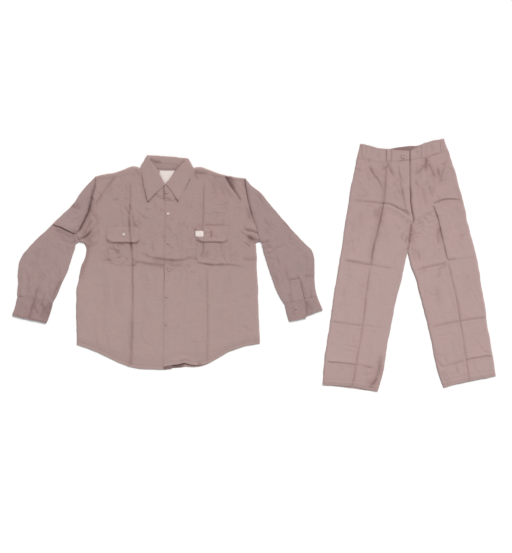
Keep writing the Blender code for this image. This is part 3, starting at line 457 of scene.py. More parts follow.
def panel(name, P, mat, uv=None, shade=None, thick=CLOTH, under=2, mask=None, by_normal=False, wrap=False, shade_under=None):
    """A closed thin piece of cloth over a grid P of (step, step, mm).  Its
    underside has every `under`-th row and column, no higher than the cloth."""
    P = np.array(P, float)
    nu, nv = P.shape[:2]
    if uv is None:
        uv = P[..., :2] * STEP
    if shade is None:
        shade = np.zeros((nu, nv))
    M = metres(P)
    k = under
    if mask is not None:
        k = 1
    if by_normal:
        n = grid_normals(M, wrap)
        tall = M[..., 2] > np.quantile(M[..., 2], 0.7)
        facing = 1.0 if n[..., 2][tall].mean() > 0 else -1.0
        half = n * facing * thick / 2000
        B = (M - half)[::k, ::k]
        M = M + half
    else:
        facing = 1.0 if grid_normals(M)[..., 2].mean() > 0 else -1.0
        z = M[..., 2]
        low = z.copy()
        for a in range(-(k - 1), k):
            for b in range(-(k - 1), k):
                moved = np.full_like(z, np.inf)
                moved[max(0, -a):nu - max(0, a), max(0, -b):nv - max(0, b)] = z[max(0, a):nu - max(0, -a), max(0, b):nv - max(0, -b)]
                low = np.minimum(low, moved)
        B = M.copy()
        B[..., 2] = low - thick / 1000
        B = B[::k, ::k]
    ku, kv = B.shape[:2]
    top = np.arange(nu * nv).reshape(nu, nv)
    bot = nu * nv + np.arange(ku * kv).reshape(ku, kv)
    co = np.concatenate([M.reshape(-1, 3), B.reshape(-1, 3)])
    sh = np.concatenate([shade.ravel(), (shade if shade_under is None else shade_under)[::k, ::k].ravel()])
    uvs = np.concatenate([uv.reshape(-1, 2), uv[::k, ::k].reshape(-1, 2)])
    if wrap:
        r = np.concatenate([top, top[:, :1]], 1)
        rb = np.concatenate([bot, bot[:, :1]], 1)
    else:
        r, rb = top, bot
    quads = np.stack([r[:-1, :-1], r[1:, :-1], r[1:, 1:], r[:-1, 1:]], -1)
    below = np.stack([rb[:-1, :-1], rb[:-1, 1:], rb[1:, 1:], rb[1:, :-1]], -1)
    ok = np.ones(quads.shape[:2], bool) if mask is None else mask
    q, b = quads[ok], below[ok] if k == 1 else below.reshape(-1, 4)
    tris = []
    rim = []
    if k == 1:
        edges = {}
        e = np.concatenate([q[:, [i, (i + 1) % 4]] for i in range(4)])
        code = e[:, 0].astype(np.int64) * 10**7 + e[:, 1]
        back = set((e[:, 1].astype(np.int64) * 10**7 + e[:, 0]).tolist())
        free = e[[c not in back for c in code.tolist()]]
        off = nu * nv
        rim = [np.stack([free[:, 1], free[:, 0], free[:, 0] + off, free[:, 1] + off], -1)]
    else:
        def side(line, under_line):
            """Rim between a fine edge and the coarse one below, running the
            way the top's faces do not."""
            for j in range(len(under_line) - 1):
                f = line[j * k:(j + 1) * k + 1]
                a, b2 = under_line[j], under_line[j + 1]
                half = k // 2
                for m in range(half):
                    tris.append((f[m + 1], f[m], a))
                tris.append((f[half], a, b2))
                for m in range(half, k):
                    tris.append((f[m + 1], f[m], b2))
        # walked so that each runs along the outline the way the top does
        if not wrap:
            side(r[:, 0], rb[:, 0])
            side(r[::-1, -1], rb[::-1, -1])
        side(r[-1, :], rb[-1, :])
        side(r[0, ::-1], rb[0, ::-1])
    faces = [q, b] + rim + ([np.array(tris)] if tris else [])
    used = np.unique(np.concatenate([f.ravel() for f in faces]))
    if facing < 0:
        faces = [f[:, ::-1] for f in faces]
    uv_list = []
    for f in faces:
        u = uvs[f]
        if wrap:   # the seam column's far side
            span = uv[:, :, 0].max() - uv[:, :, 0].min()
            jump = u[:, :, 0].max(1) - u[:, :, 0].min(1) > 0.5 * span
            u = u.copy()
            u[jump, :, 0] = np.where(u[jump, :, 0] < uv[:, :, 0].min() + 0.5 * span, u[jump, :, 0] + span, u[jump, :, 0])
        uv_list.append(u)
    if len(used) < len(co):
        new = np.full(len(co), -1)
        new[used] = np.arange(len(used))
        co, sh = co[used], sh[used]
        faces = [new[f] for f in faces]
    obj = make_mesh(name, co, faces, uv_list, sh, mat)
    return obj


# -------------------------------------------------------------- the shirt cut
ARMHOLE_RIGHT = np.array([(95.5, 176.6), (95.0, 181.0), (93.4, 187.5), (91.7, 195.0), (89.6, 203.0), (87.3, 211.0),
                          (84.4, 218.5), (80.7, 226.0), (78.5, 230.0), (76.9, 234.0), (77.6, 238.0), (80.0, 241.6)])
ARMHOLE_LEFT = np.array([(245.1, 178.2), (245.4, 181.0), (245.9, 187.5), (247.3, 195.0), (249.0, 203.0), (251.4, 211.0),
                         (253.6, 218.5), (255.8, 226.0), (257.0, 230.0), (258.2, 234.0), (259.3, 238.0), (259.6, 241.6)])
SIDE_RIGHT = np.array([(83.8, 242.4), (86.6, 249.0), (84.9, 257.0), (81.4, 266.2), (79.4, 275.0), (77.0, 286.0),
                       (76.2, 301.0), (76.2, 315.0)])
SIDE_LEFT = np.array([(255.6, 242.6), (256.2, 250.0), (257.0, 257.0), (256.8, 265.2), (257.2, 275.0), (258.0, 288.0),
                      (258.3, 301.0), (258.6, 315.0)])
# hem from the side seam to the front edge
HEM_RIGHT = [(76.4, 344.8), (85.5, 347.6), (95.4, 351.3), (104.0, 355.4), (112.8, 359.9), (121.5, 363.8),
             (130.2, 366.7), (138.5, 368.4), (147.5, 369.1), (155.0, 369.3), (164.0, 369.6), (172.0, 369.0)]
HEM_LEFT = [(259.9, 343.7), (251.5, 344.9), (243.0, 346.9), (235.5, 349.2), (227.8, 352.3), (218.5, 357.8),
            (208.2, 363.0), (200.0, 364.9), (194.0, 365.3), (188.5, 363.9), (184.0, 363.0), (179.0, 364.3),
            (172.0, 365.4), (166.5, 366.4), (163.2, 367.4)]
HEM_BACK = [(76.4, 344.8), (85.5, 347.4), (95.4, 350.9), (112.8, 359.3), (130.2, 366.0), (147.5, 368.2),
            (163.0, 368.6), (176.0, 368.0), (184.0, 366.9), (195.2, 367.3), (201.5, 366.0), (208.2, 363.2),
            (218.5, 357.6), (227.8, 352.1), (243.0, 346.8), (259.9, 343.7)]
# inner edge of each front: the neck, then the front edge down to the 315 row
NECK_RIGHT = table("outer x y", (1, 143.9, 172.6), (2, 145.4, 179.0), (3, 149.6, 187.6), (4, 156.8, 195.4),
                   (5, 164.4, 200.4), (5.4, 172.0, 201.8), (6, 172.0, 213.0), (7, 172.0, 226.0), (8, 172.0, 230.0),
                   (9, 172.0, 234.0), (10, 172.0, 238.0), (11, 172.0, 240.6), (12, 172.0, 243.0), (13, 172.0, 250.0),
                   (14, 172.0, 257.0), (15, 172.0, 265.8), (16, 172.0, 275.0), (17, 172.0, 287.0), (18, 172.0, 301.0),
                   (19, 172.0, 315.0))
NECK_LEFT = table("outer x y", (1, 190.0, 172.4), (2, 189.4, 180.8), (3, 185.6, 189.0), (4, 179.2, 196.2),
                  (5, 172.0, 201.0), (5.4, 165.3, 200.1), (6, 165.4, 213.0), (7, 165.2, 226.0), (8, 165.1, 230.0),
                  (9, 165.0, 234.0), (10, 165.0, 238.0), (11, 164.9, 240.6), (12, 164.9, 243.0), (13, 164.7, 250.0),
                  (14, 164.6, 257.0), (15, 164.6, 265.2), (16, 164.5, 275.0), (17, 164.3, 288.0), (18, 164.1, 301.0),
                  (19, 163.9, 315.0))

# creases of the shirt's front, both halves
BODY_CREASES = [
    # pressed upright folds
    groove([(130.0, 176.0), (130.0, 190.0), (130.0, 204.0), (129.4, 215.0), (129.6, 230.0), (130.6, 243.0),
            (132.0, 259.0), (132.2, 270.0), (132.4, 295.0), (131.9, 330.0), (131.0, 365.0)], 0.75, 1.2, fade=(0.1, 0.0), dark=0.5),
    groove([(127.8, 210.0), (128.6, 222.0), (129.6, 236.0), (130.8, 250.0), (132.0, 262.0)], 0.9, 1.1, fade=(0.3, 0.3), dark=0.5),
    groove([(128.4, 203.6), (130.0, 207.4), (132.4, 211.0)], 0.9, 0.9, fade=(0.3, 0.3), dark=0.4),
    groove([(131.6, 253.0), (132.4, 270.0), (132.8, 290.0), (132.4, 310.0)], 0.8, 0.5, fade=(0.2, 0.5), dark=0.3),
    groove([(132.4, 211.0), (133.3, 222.0), (133.5, 233.0), (133.2, 242.0)], 0.8, 0.8, fade=(0.2, 0.4), dark=0.38),
    groove([(131.6, 300.0), (130.8, 325.0), (130.0, 350.0), (129.6, 366.0)], 2.0, 0.9, fade=(0.5, 0.0), dark=0.25, sharp=0.2),
    groove([(203.9, 181.0), (203.4, 196.0), (203.0, 210.0), (202.8, 234.0), (203.3, 246.0)], 0.8, 1.0, fade=(0.15, 0.2), dark=0.45),
    groove([(203.2, 241.0), (203.3, 248.0), (201.6, 254.6), (198.6, 259.2)], 1.1, 1.3, fade=(0.2, 0.3), dark=0.5),
    groove([(205.6, 251.6), (204.6, 255.6), (202.4, 259.0)], 1.0, 0.7, fade=(0.3, 0.3), dark=0.25),
    groove([(206.8, 264.6), (206.4, 280.0), (207.2, 303.5), (207.4, 330.0), (207.0, 362.0)], 0.9, 0.95, fade=(0.15, 0.0), dark=0.35),
    # fold across the chest: upper lip, then the lower one
    step([(134.5, 249.4), (140.0, 252.0), (146.0, 254.6), (151.8, 256.7), (160.0, 258.5), (168.0, 259.6), (176.0, 259.7),
          (184.0, 258.6), (190.0, 257.5), (194.6, 257.8)], "up", 1.9, 1.15, fade=(0.42, 0.2), reach=4.5,
         lip=0.3, trough=0.8, dark=0.42),
    groove([(152.0, 255.4), (160.0, 257.6), (170.0, 259.4), (180.0, 258.9)], 1.3, 0.5, fade=(0.35, 0.3), dark=0.22),
    groove([(193.4, 258.4), (196.4, 259.4), (199.6, 259.0)], 1.0, 0.5, fade=(0.3, 0.3), dark=0.2),
    step([(131.4, 257.8), (135.6, 260.6), (143.4, 262.2), (151.3, 263.3), (159.1, 264.4), (164.6, 266.6)], "up", 1.7, 0.9,
         fade=(0.2, 0.1), reach=3.6, trough=0.5, dark=0.27),
    groove([(149.4, 259.2), (154.8, 261.6), (160.9, 263.8), (164.4, 266.4)], 1.3, 0.7, fade=(0.35, 0.1), dark=0.26),
    groove([(165.2, 268.4), (169.6, 270.3), (176.6, 269.4)], 1.3, 1.0, fade=(0.1, 0.4), dark=0.3),
    groove([(167.4, 263.8), (172.2, 265.9), (181.8, 265.2), (187.0, 265.2)], 1.4, 0.8, fade=(0.2, 0.5), dark=0.2, sharp=0.2),
    groove([(188.0, 271.0), (192.6, 272.6), (197.6, 272.4)], 0.9, 0.4, fade=(0.3, 0.4), dark=0.18),
    step([(191.6, 262.6), (200.1, 262.8), (207.1, 264.0), (216.7, 264.3), (225.0, 264.0), (233.2, 264.3), (241.1, 265.9),
          (250.4, 268.2)], "up", 1.4, 0.8, fade=(0.2, 0.35), reach=3.2, trough=0.5, dark=0.3),
    groove([(203.0, 263.6), (208.0, 264.4), (214.0, 264.4)], 0.9, 0.6, fade=(0.2, 0.35), dark=0.3),
    groove([(216.6, 264.6), (220.6, 264.3), (225.0, 264.4)], 0.9, 0.6, fade=(0.25, 0.25), dark=0.36),
    groove([(240.6, 259.0), (248.0, 259.8), (257.6, 259.4)], 1.7, 0.9, fade=(0.3, 0.1), dark=0.34, sharp=0.2),
    groove([(160.0, 263.4), (166.0, 264.2), (174.0, 264.0)], 1.6, 0.8, fade=(0.4, 0.4), dark=0.1, sharp=0.2),
    groove([(185.0, 257.4), (189.0, 257.8), (194.0, 258.2), (198.0, 260.0)], 1.0, 0.9, fade=(0.3, 0.3), dark=0.4),
    groove([(186.0, 264.0), (188.2, 265.8), (190.8, 268.0)], 0.9, 0.7, fade=(0.3, 0.4), dark=0.3),
    ridge([(136.0, 257.6), (150.0, 261.6), (166.0, 263.8), (182.0, 263.0), (198.0, 260.4)], 2.4, 0.9, fade=(0.3, 0.3)),
    # left side of the picture: shoulder and underarm
    groove([(116.3, 175.5), (112.0, 181.0), (108.0, 186.7), (103.6, 192.0), (100.0, 196.9), (97.1, 201.4), (93.0, 206.6)],
           0.9, 1.1, fade=(0.1, 0.25), dark=0.45),
    ridge([(119.5, 178.5), (113.0, 187.0), (106.0, 195.0)], 2.6, 0.7, fade=(0.3, 0.4)),
    groove([(91.0, 196.0), (92.6, 199.2), (94.6, 202.0)], 0.9, 1.0, fade=(0.2, 0.4), dark=0.4),
    groove([(113.4, 203.0), (116.0, 200.0), (119.0, 196.6)], 1.0, 0.5, fade=(0.4, 0.4), dark=0.2),
    groove([(88.6, 208.0), (92.0, 212.4), (95.0, 217.0), (96.4, 223.0)], 1.5, 1.0, fade=(0.2, 0.5), dark=0.25, sharp=0.2),
    groove([(82.4, 239.4), (86.0, 236.6), (90.0, 232.0), (92.6, 226.0)], 1.2, 1.6, fade=(0.1, 0.45), dark=0.5),
    groove([(84.0, 241.2), (90.0, 238.4), (95.6, 233.0), (98.4, 226.0)], 1.7, 1.0, fade=(0.1, 0.5), dark=0.25, sharp=0.3),
    ridge([(86.0, 240.6), (91.6, 235.4), (95.2, 228.0), (96.0, 220.0)], 1.6, 1.0, fade=(0.2, 0.5)),
    groove([(86.4, 247.6), (92.0, 244.2), (99.0, 240.6)], 1.8, 0.7, fade=(0.1, 0.5), dark=0.2, sharp=0.2),
    groove([(103.0, 212.6), (97.4, 222.0), (92.0, 231.6), (88.6, 242.0), (87.4, 250.0)], 2.2, 0.9, fade=(0.4, 0.2), dark=0.2, sharp=0.1),
    groove([(89.0, 243.0), (88.2, 252.0), (85.4, 262.0), (82.4, 272.0), (79.6, 284.0)], 1.6, 1.0, fade=(0.15, 0.3), dark=0.42, sharp=0.1),
    groove([(76.6, 242.2), (80.4, 242.8), (84.6, 243.0)], 0.9, 0.9, fade=(0.1, 0.2), dark=0.6),
    groove([(122.0, 204.0), (125.0, 208.0), (128.4, 212.6), (131.4, 216.8)], 1.0, 0.9, fade=(0.4, 0.3), dark=0.3),
    groove([(134.6, 219.0), (138.6, 222.6), (143.0, 226.6)], 0.9, 0.8, fade=(0.35, 0.4), dark=0.32),
    groove([(112.6, 179.0), (111.0, 190.0), (112.0, 200.0)], 2.0, 0.45, fade=(0.4, 0.5), dark=0.1, sharp=0.1),
    groove([(135.6, 168.6), (137.4, 173.0), (140.6, 178.0)], 1.1, 1.0, fade=(0.2, 0.5), dark=0.4),
    groove([(139.4, 182.0), (143.2, 193.0), (146.0, 202.6)], 1.6, 0.6, fade=(0.3, 0.3), dark=0.15, sharp=0.2),
    # right side of the picture: shoulder and underarm
    groove([(224.6, 175.6), (229.0, 182.6), (233.6, 189.8), (237.6, 195.8), (241.4, 201.8)], 0.85, 1.8, fade=(0.03, 0.12), dark=0.95),
    groove([(226.6, 176.2), (230.4, 182.0), (234.0, 187.6), (236.6, 192.0)], 1.5, 1.0, fade=(0.03, 0.4), dark=0.7, sharp=0.1),
    groove([(229.4, 176.4), (232.4, 181.0), (235.4, 186.4)], 1.6, 0.4, fade=(0.03, 0.6), dark=0.6, sharp=0.1),
    groove([(225.0, 176.2), (229.0, 176.8), (234.0, 177.4)], 0.8, 0.4, fade=(0.05, 0.4), dark=0.6, sharp=0.2),
    groove([(238.0, 204.4), (240.0, 202.6), (243.0, 202.0)], 1.2, 0.5, fade=(0.3, 0.4), dark=0.2, sharp=0.2),
    ridge([(221.6, 178.0), (226.2, 185.6), (231.0, 193.0), (235.4, 199.6)], 1.9, 1.1, fade=(0.2, 0.3)),
    ridge([(235.0, 179.0), (239.4, 186.4), (242.8, 194.0)], 1.7, 0.8, fade=(0.3, 0.35)),
    # beside the armholes
    groove([(244.9, 178.8), (245.6, 186.0), (246.8, 194.0), (248.6, 203.0), (250.8, 211.4), (253.0, 219.0), (255.2, 226.4)],
           0.8, 1.8, fade=(0.02, 0.3), dark=0.9),
    groove([(246.4, 206.0), (248.8, 214.0), (251.6, 222.0)], 1.8, 0.9, fade=(0.3, 0.4), dark=0.3, sharp=0.1),
    groove([(95.6, 182.0), (94.2, 188.0), (92.4, 196.0), (90.4, 204.0), (88.0, 212.0), (84.8, 219.6), (81.0, 227.4), (78.0, 233.4)],
           0.9, 2.0, fade=(0.1, 0.05), dark=0.95),
    groove([(92.8, 200.0), (90.4, 208.0), (86.8, 216.6), (82.6, 224.6), (79.4, 231.4)], 2.0, 1.5, fade=(0.25, 0.1), dark=0.6, sharp=0.1),
    ridge([(97.8, 194.0), (95.6, 204.0), (92.2, 214.0), (88.4, 222.6)], 1.8, 1.2, fade=(0.3, 0.3)),
    groove([(92.6, 218.0), (89.4, 225.0), (85.6, 231.0), (81.4, 236.0)], 1.3, 1.5, fade=(0.3, 0.1), dark=0.5),
    groove([(77.0, 239.8), (81.0, 238.6), (85.0, 236.6), (88.6, 233.6), (92.0, 229.0)], 1.0, 1.8, fade=(0.05, 0.4), dark=0.85),
    groove([(195.0, 170.6), (198.6, 173.0), (204.6, 173.2), (210.0, 173.6)], 1.2, 1.0, fade=(0.1, 0.4), dark=0.7),
    groove([(242.4, 227.6), (246.4, 230.0), (252.0, 231.4), (258.4, 234.0)], 1.0, 1.3, fade=(0.3, 0.05), dark=0.68),
    groove([(240.6, 231.4), (243.6, 234.0), (246.4, 235.6)], 1.0, 0.7, fade=(0.3, 0.4), dark=0.26),
    groove([(247.2, 235.0), (250.4, 237.8), (255.0, 239.8), (260.0, 240.8)], 1.2, 1.5, fade=(0.2, 0.0), dark=0.85),
    groove([(249.4, 236.4), (251.6, 239.4), (253.8, 241.8)], 1.3, 0.8, fade=(0.2, 0.1), dark=0.45),
    groove([(245.6, 233.4), (248.4, 238.4), (251.4, 244.6)], 1.6, 0.8, fade=(0.3, 0.4), dark=0.32, sharp=0.2),
    ridge([(243.0, 233.4), (249.0, 234.4), (255.0, 237.2)], 1.3, 0.8, fade=(0.3, 0.2)),
    groove([(211.0, 178.0), (213.0, 186.0), (215.6, 195.0), (217.4, 203.0)], 1.8, 0.55, fade=(0.3, 0.5), dark=0.14, sharp=0.1),
    groove([(219.0, 178.6), (221.4, 187.0), (224.0, 196.0), (225.0, 206.0)], 2.0, 0.5, fade=(0.3, 0.5), dark=0.12, sharp=0.1),
    groove([(194.6, 170.0), (195.8, 176.0), (199.0, 182.4)], 1.1, 0.9, fade=(0.2, 0.5), dark=0.35),
    groove([(209.0, 213.6), (217.0, 213.0), (226.0, 213.8)], 0.8, 0.4, fade=(0.3, 0.3), dark=0.2),
    groove([(196.0, 222.0), (199.6, 226.0), (201.8, 232.0)], 1.3, 0.8, fade=(0.4, 0.3), dark=0.25, sharp=0.3),
    groove([(196.2, 236.6), (198.8, 241.0), (203.2, 244.6)], 1.0, 0.9, fade=(0.2, 0.3), dark=0.3),
    groove([(208.6, 249.0), (206.8, 254.0), (206.6, 259.0)], 1.0, 0.7, fade=(0.4, 0.4), dark=0.25),
    # creases that run on below the chest fold
    groove([(105.0, 262.0), (104.0, 285.0), (104.6, 310.0), (103.6, 340.0)], 2.4, 0.55, fade=(0.35, 0.5), dark=0.1, sharp=0.1),
    groove([(117.0, 272.0), (115.6, 292.0), (116.4, 316.0)], 1.8, 0.35, fade=(0.4, 0.5), dark=0.08, sharp=0.1),
    groove([(226.0, 268.0), (229.4, 282.0), (229.0, 300.0)], 2.2, 0.4, fade=(0.4, 0.5), dark=0.08, sharp=0.1),
    groove([(240.0, 324.0), (247.0, 329.0), (255.0, 332.0)], 1.3, 0.45, fade=(0.4, 0.3), dark=0.12, sharp=0.2),
    groove([(213.0, 262.8), (214.6, 258.6), (218.6, 255.0)], 1.0, 0.45, fade=(0.3, 0.5), dark=0.18),
    groove([(168.6, 268.4), (171.0, 262.0), (170.4, 255.0)], 1.2, 0.5, fade=(0.3, 0.5), dark=0.12, sharp=0.2),
    groove([(148.0, 216.0), (149.4, 230.0), (148.4, 246.0)], 2.4, 0.35, fade=(0.4, 0.4), dark=0.06, sharp=0.1),
    groove([(178.0, 214.0), (180.4, 232.0), (178.4, 250.0)], 2.6, 0.35, fade=(0.4, 0.4), dark=0.06, sharp=0.1),
    groove([(141.0, 312.0), (148.0, 314.6), (156.0, 313.4)], 1.4, 0.3, fade=(0.5, 0.5), dark=0.08, sharp=0.2),
    groove([(139.0, 352.0), (147.0, 356.0), (158.0, 357.4)], 1.3, 0.35, fade=(0.5, 0.5), dark=0.1, sharp=0.2),
    groove([(178.0, 362.6), (182.0, 360.6), (187.0, 360.4), (192.0, 362.4)], 0.9, 0.7, fade=(0.3, 0.3), dark=0.35),
    groove([(197.6, 362.2), (199.4, 363.8), (202.0, 364.2)], 1.2, 0.9, fade=(0.2, 0.2), dark=0.5),
]
BODY_CREASES += [
    # painted shadow on the front beneath the collar leaf's outer edge and its front edges
    groove([(141.6, 170.0), (142.6, 178.6), (144.6, 188.0), (147.0, 199.6), (148.6, 203.0)], 0.8, 0.5, fade=(0.3, 0.05), dark=0.8, sharp=0.3),
    groove([(147.4, 202.6), (151.2, 199.2), (157.0, 193.8), (162.0, 188.6)], 0.7, 0.5, fade=(0.05, 0.2), dark=0.6, sharp=0.3),
    groove([(178.6, 202.6), (175.6, 198.8), (171.8, 193.6)], 0.7, 0.5, fade=(0.05, 0.3), dark=0.7, sharp=0.3),
    # the flaps have pressed a shallow trough into the pockets below their lower edges; painted shadow darkens it, and
    # the other edges of the flaps and pockets
    groove([(105.0, 237.6), (107.4, 241.2), (111.2, 243.1), (120.0, 243.5), (129.0, 243.7), (135.4, 243.5), (138.4, 242.0), (140.0, 239.4)],
           0.8, 0.6, fade=(0.12, 0.05), dark=0.72, sharp=0.3),
    groove([(130.0, 243.6), (134.7, 243.9), (138.4, 242.4)], 0.9, 0.6, fade=(0.3, 0.2), dark=0.5, sharp=0.3),
    groove([(194.6, 238.0), (198.0, 241.0), (202.4, 242.5), (208.0, 242.0), (216.0, 242.6), (223.8, 242.9), (227.0, 241.0), (229.2, 238.2)],
           0.8, 0.6, fade=(0.1, 0.1), dark=0.66, sharp=0.3),
    groove([(194.7, 227.0), (194.8, 233.0), (195.0, 239.0)], 0.8, 0.6, fade=(0.2, 0.2), dark=0.5, sharp=0.3),
    groove([(204.0, 224.8), (212.0, 225.0), (226.0, 225.2)], 0.6, 0.4, fade=(0.1, 0.2), dark=0.45, sharp=0.3),
    groove([(131.0, 265.6), (134.0, 265.2), (137.0, 263.0)], 0.7, 0.5, fade=(0.2, 0.2), dark=0.5, sharp=0.3),
]
BODY_NOISE = [(0.34, Noise(11, 17.0)), (0.20, Noise(12, 7.0)), (0.09, Noise(13, 3.0)), (0.16, Noise(14, 6.0, (0.6, 3.2))),
              (0.07, Noise(15, 3.0, (3.0, 0.6)))]
BODY_CREASES += small_creases(table("x0 y0 x1 y1 count angle spread length width depth dark",
    (96, 184, 128, 262, 44, 75, 40, 8.0, 0.8, 0.6, 0.26), (134, 204, 200, 258, 66, 80, 45, 7.0, 0.8, 0.55, 0.24),
    (132, 206, 150, 230, 12, 45, 18, 7.0, 0.8, 0.7, 0.30), (206, 182, 246, 262, 52, 80, 45, 8.0, 0.8, 0.6, 0.26),
    (190, 222, 236, 262, 24, 20, 30, 7.0, 0.8, 0.6, 0.28), (106, 242, 134, 262, 18, 15, 22, 9.0, 0.8, 0.7, 0.32),
    (84, 216, 100, 246, 12, 120, 18, 9.0, 1.0, 0.8, 0.22), (238, 216, 258, 246, 12, 60, 25, 8.0, 0.9, 0.7, 0.22),
    (96, 174, 134, 200, 14, 120, 25, 9.0, 1.0, 0.6, 0.16), (206, 176, 244, 200, 14, 70, 25, 9.0, 1.0, 0.6, 0.16),
    (84, 270, 252, 360, 30, 91, 6, 26.0, 1.5, 0.38, 0.09), (88, 276, 250, 356, 26, 5, 16, 11.0, 1.1, 0.34, 0.09),
    (134, 264, 200, 280, 14, 60, 40, 8.0, 0.9, 0.5, 0.14), (80, 300, 110, 350, 8, 85, 10, 20.0, 1.4, 0.5, 0.12)))


def body_relief(X, Y):
    r = relief(BODY_CREASES, BODY_NOISE, np.asarray(X, float), np.asarray(Y, float))
    r[3] = r[3] + np.interp(Y, [170, 200, 255, 272, 310], [0.13, 0.12, 0.12, 0.03, 0.0])     # painted shade: darker above, where the cloth is more rumpled
    return r


def front_height(X, Y, over, r=None):
    """Middle height of a front at plan places; over = the half that laps on top."""
    r = body_relief(X, Y)[0] if r is None else r
    z = SHIRT_Z + soft_floor(r, -3.3)
    lap_top = np.interp(Y, [196, 203], [0.2, 1.0])
    if over:
        z = z + np.interp(Y, [200, 255, 268], [0.3, 0.3, 0.75]) * smooth((176.0 - X) / 8.0) * lap_top
    else:
        z = z - 1.05 * smooth((X - 164.2) / 2.0) * lap_top
    return z


def build_front(name, armhole, side, neck, hem, over):
    outer = np.concatenate([armhole, side])
    rows = np.array([(o["x"], o["y"]) for o in neck])
    outer_at = np.array([o["outer"] for o in neck])
    out_pts = curve(outer, outer_at, corners={11, 12})
    s = stations([rows, out_pts], FINE)
    a_place = np.interp(s, np.arange(len(neck)), outer_at)
    A = curve(outer, a_place, corners={11, 12})
    B = curve(rows, s, corners={5})
    # from the 315 row to the hem
    below = np.arange(1, 2 * round(52 / FINE / 2) + 1) / (2 * round(52 / FINE / 2))
    nv = 2 * round(95 / FINE / 2) + 1
    t = np.linspace(0, 1, nv)
    X = A[:, None, 0] + (B[:, None, 0] - A[:, None, 0]) * t
    Y = A[:, None, 1] + (B[:, None, 1] - A[:, None, 1]) * t
    h = np.array(hem)
    hu = np.linspace(0, len(h) - 1, 400)
    line = curve(h, hu)
    hem_x = h[0, 0] + (h[-1, 0] - h[0, 0]) * t
    order = np.argsort(line[:, 0])
    hem_y = np.interp(hem_x, line[order, 0], line[order, 1])
    X2 = X[-1] + (hem_x - X[-1]) * below[:, None]
    Y2 = Y[-1] + (hem_y - Y[-1]) * below[:, None]
    n_top = len(X)
    X, Y = np.concatenate([X, X2]), np.concatenate([Y, Y2])
    dz, dx, dy, shade = body_relief(X, Y)
    z = front_height(X, Y, over, dz)
    # side seam: the cloth turns down to meet the back
    d = np.hypot(X - X[:, :1], Y - Y[:, :1])
    on_side = np.concatenate([np.interp(a_place, [10.2, 11.6], [0, 1]), np.ones(len(below))])[:, None]
    turn = np.sqrt(np.clip(1 - (1 - np.minimum(d / 2.4, 1)) ** 2, 0, 1))
    z = z * (1 - on_side) + (1.1 + (z - 1.1) * turn) * on_side
    # armhole seam
    arm = 1 - np.concatenate([np.interp(a_place, [9.8, 11.0], [0, 1]), np.ones(len(below))])[:, None]
    deep = 1.5
    z = z - deep * arm * np.exp(-(d / 1.0) ** 2)
    # painted shade in the armhole seam's dip
    shade = shade + 0.3 * arm * np.exp(-(d / 0.8) ** 2)
    # hem: rests lower, but the over front lifts beside its front edge
    v = np.concatenate([np.zeros(n_top), below])[:, None]
    drop = smooth((v - 0.72) / 0.28)
    z = z - drop * (z - 2.2) * (1.0 - 0.2 * smooth(np.abs(X - 120) / 30))
    if over:
        lift = np.exp(-(((X - 182.0) / 13.0) ** 2)) * smooth((v - 0.8) / 0.2)
        z = z + 3.6 * lift
        z = z + 0.9 * smooth((v - 0.5) / 0.5) * smooth((172 - X) / 6)
    # edges of the front and the hem: a turned, stitched edge
    e = np.hypot(X - X[:, -1:], Y - Y[:, -1:])
    he = np.abs(Y[-1] - Y)
    z = z + 0.35 * smooth((3.2 - he) / 1.0) - 0.22 * np.exp(-((he - 3.4) / 0.5) ** 2)
    # painted shade in the hem's stitch line
    shade = shade + 0.16 * np.exp(-((he - 3.4) / 0.6) ** 2)
    if not over:
        # painted shadow on the under front beside the over front's edge, and on its strip that shows below the over
        # front's lifted hem
        under = np.exp(-((X - 164.4) / 0.9) ** 2) * np.interp(Y, [203, 262, 272, 300, 340, 354, 370], [0.15, 0.15, 0.75, 0.45, 0.55, 1.2, 1.3])
        shade = shade + under * (X < 168) + 0.95 * smooth((X - 164.7) / 0.9) * smooth((Y - 365.4) / 1.4)
    if over:
        z = z + 0.3 * smooth((7.6 - e) / 0.8) * (Y > 200) - 0.2 * np.exp(-((e - 7.8) / 0.5) ** 2) * (Y > 203)
    z = z - 0.35 * (np.exp(-(e / 0.5) ** 2) * np.interp(Y, [200, 255, 268], [0.4, 0.4, 1.0]) + np.exp(-(he / 0.5) ** 2)) * (1 if over else 0.6)
    z = np.maximum(z, 0.95 + 0.35)
    keep = smooth(d / 3) * smooth(e / 2) * smooth(he / 3)
    X, Y = X + dx * keep, Y + dy * keep
    obj = panel(name, np.stack([X, Y, z], -1), SHIRT, shade=np.clip(shade, 0, 1.7))
    return obj


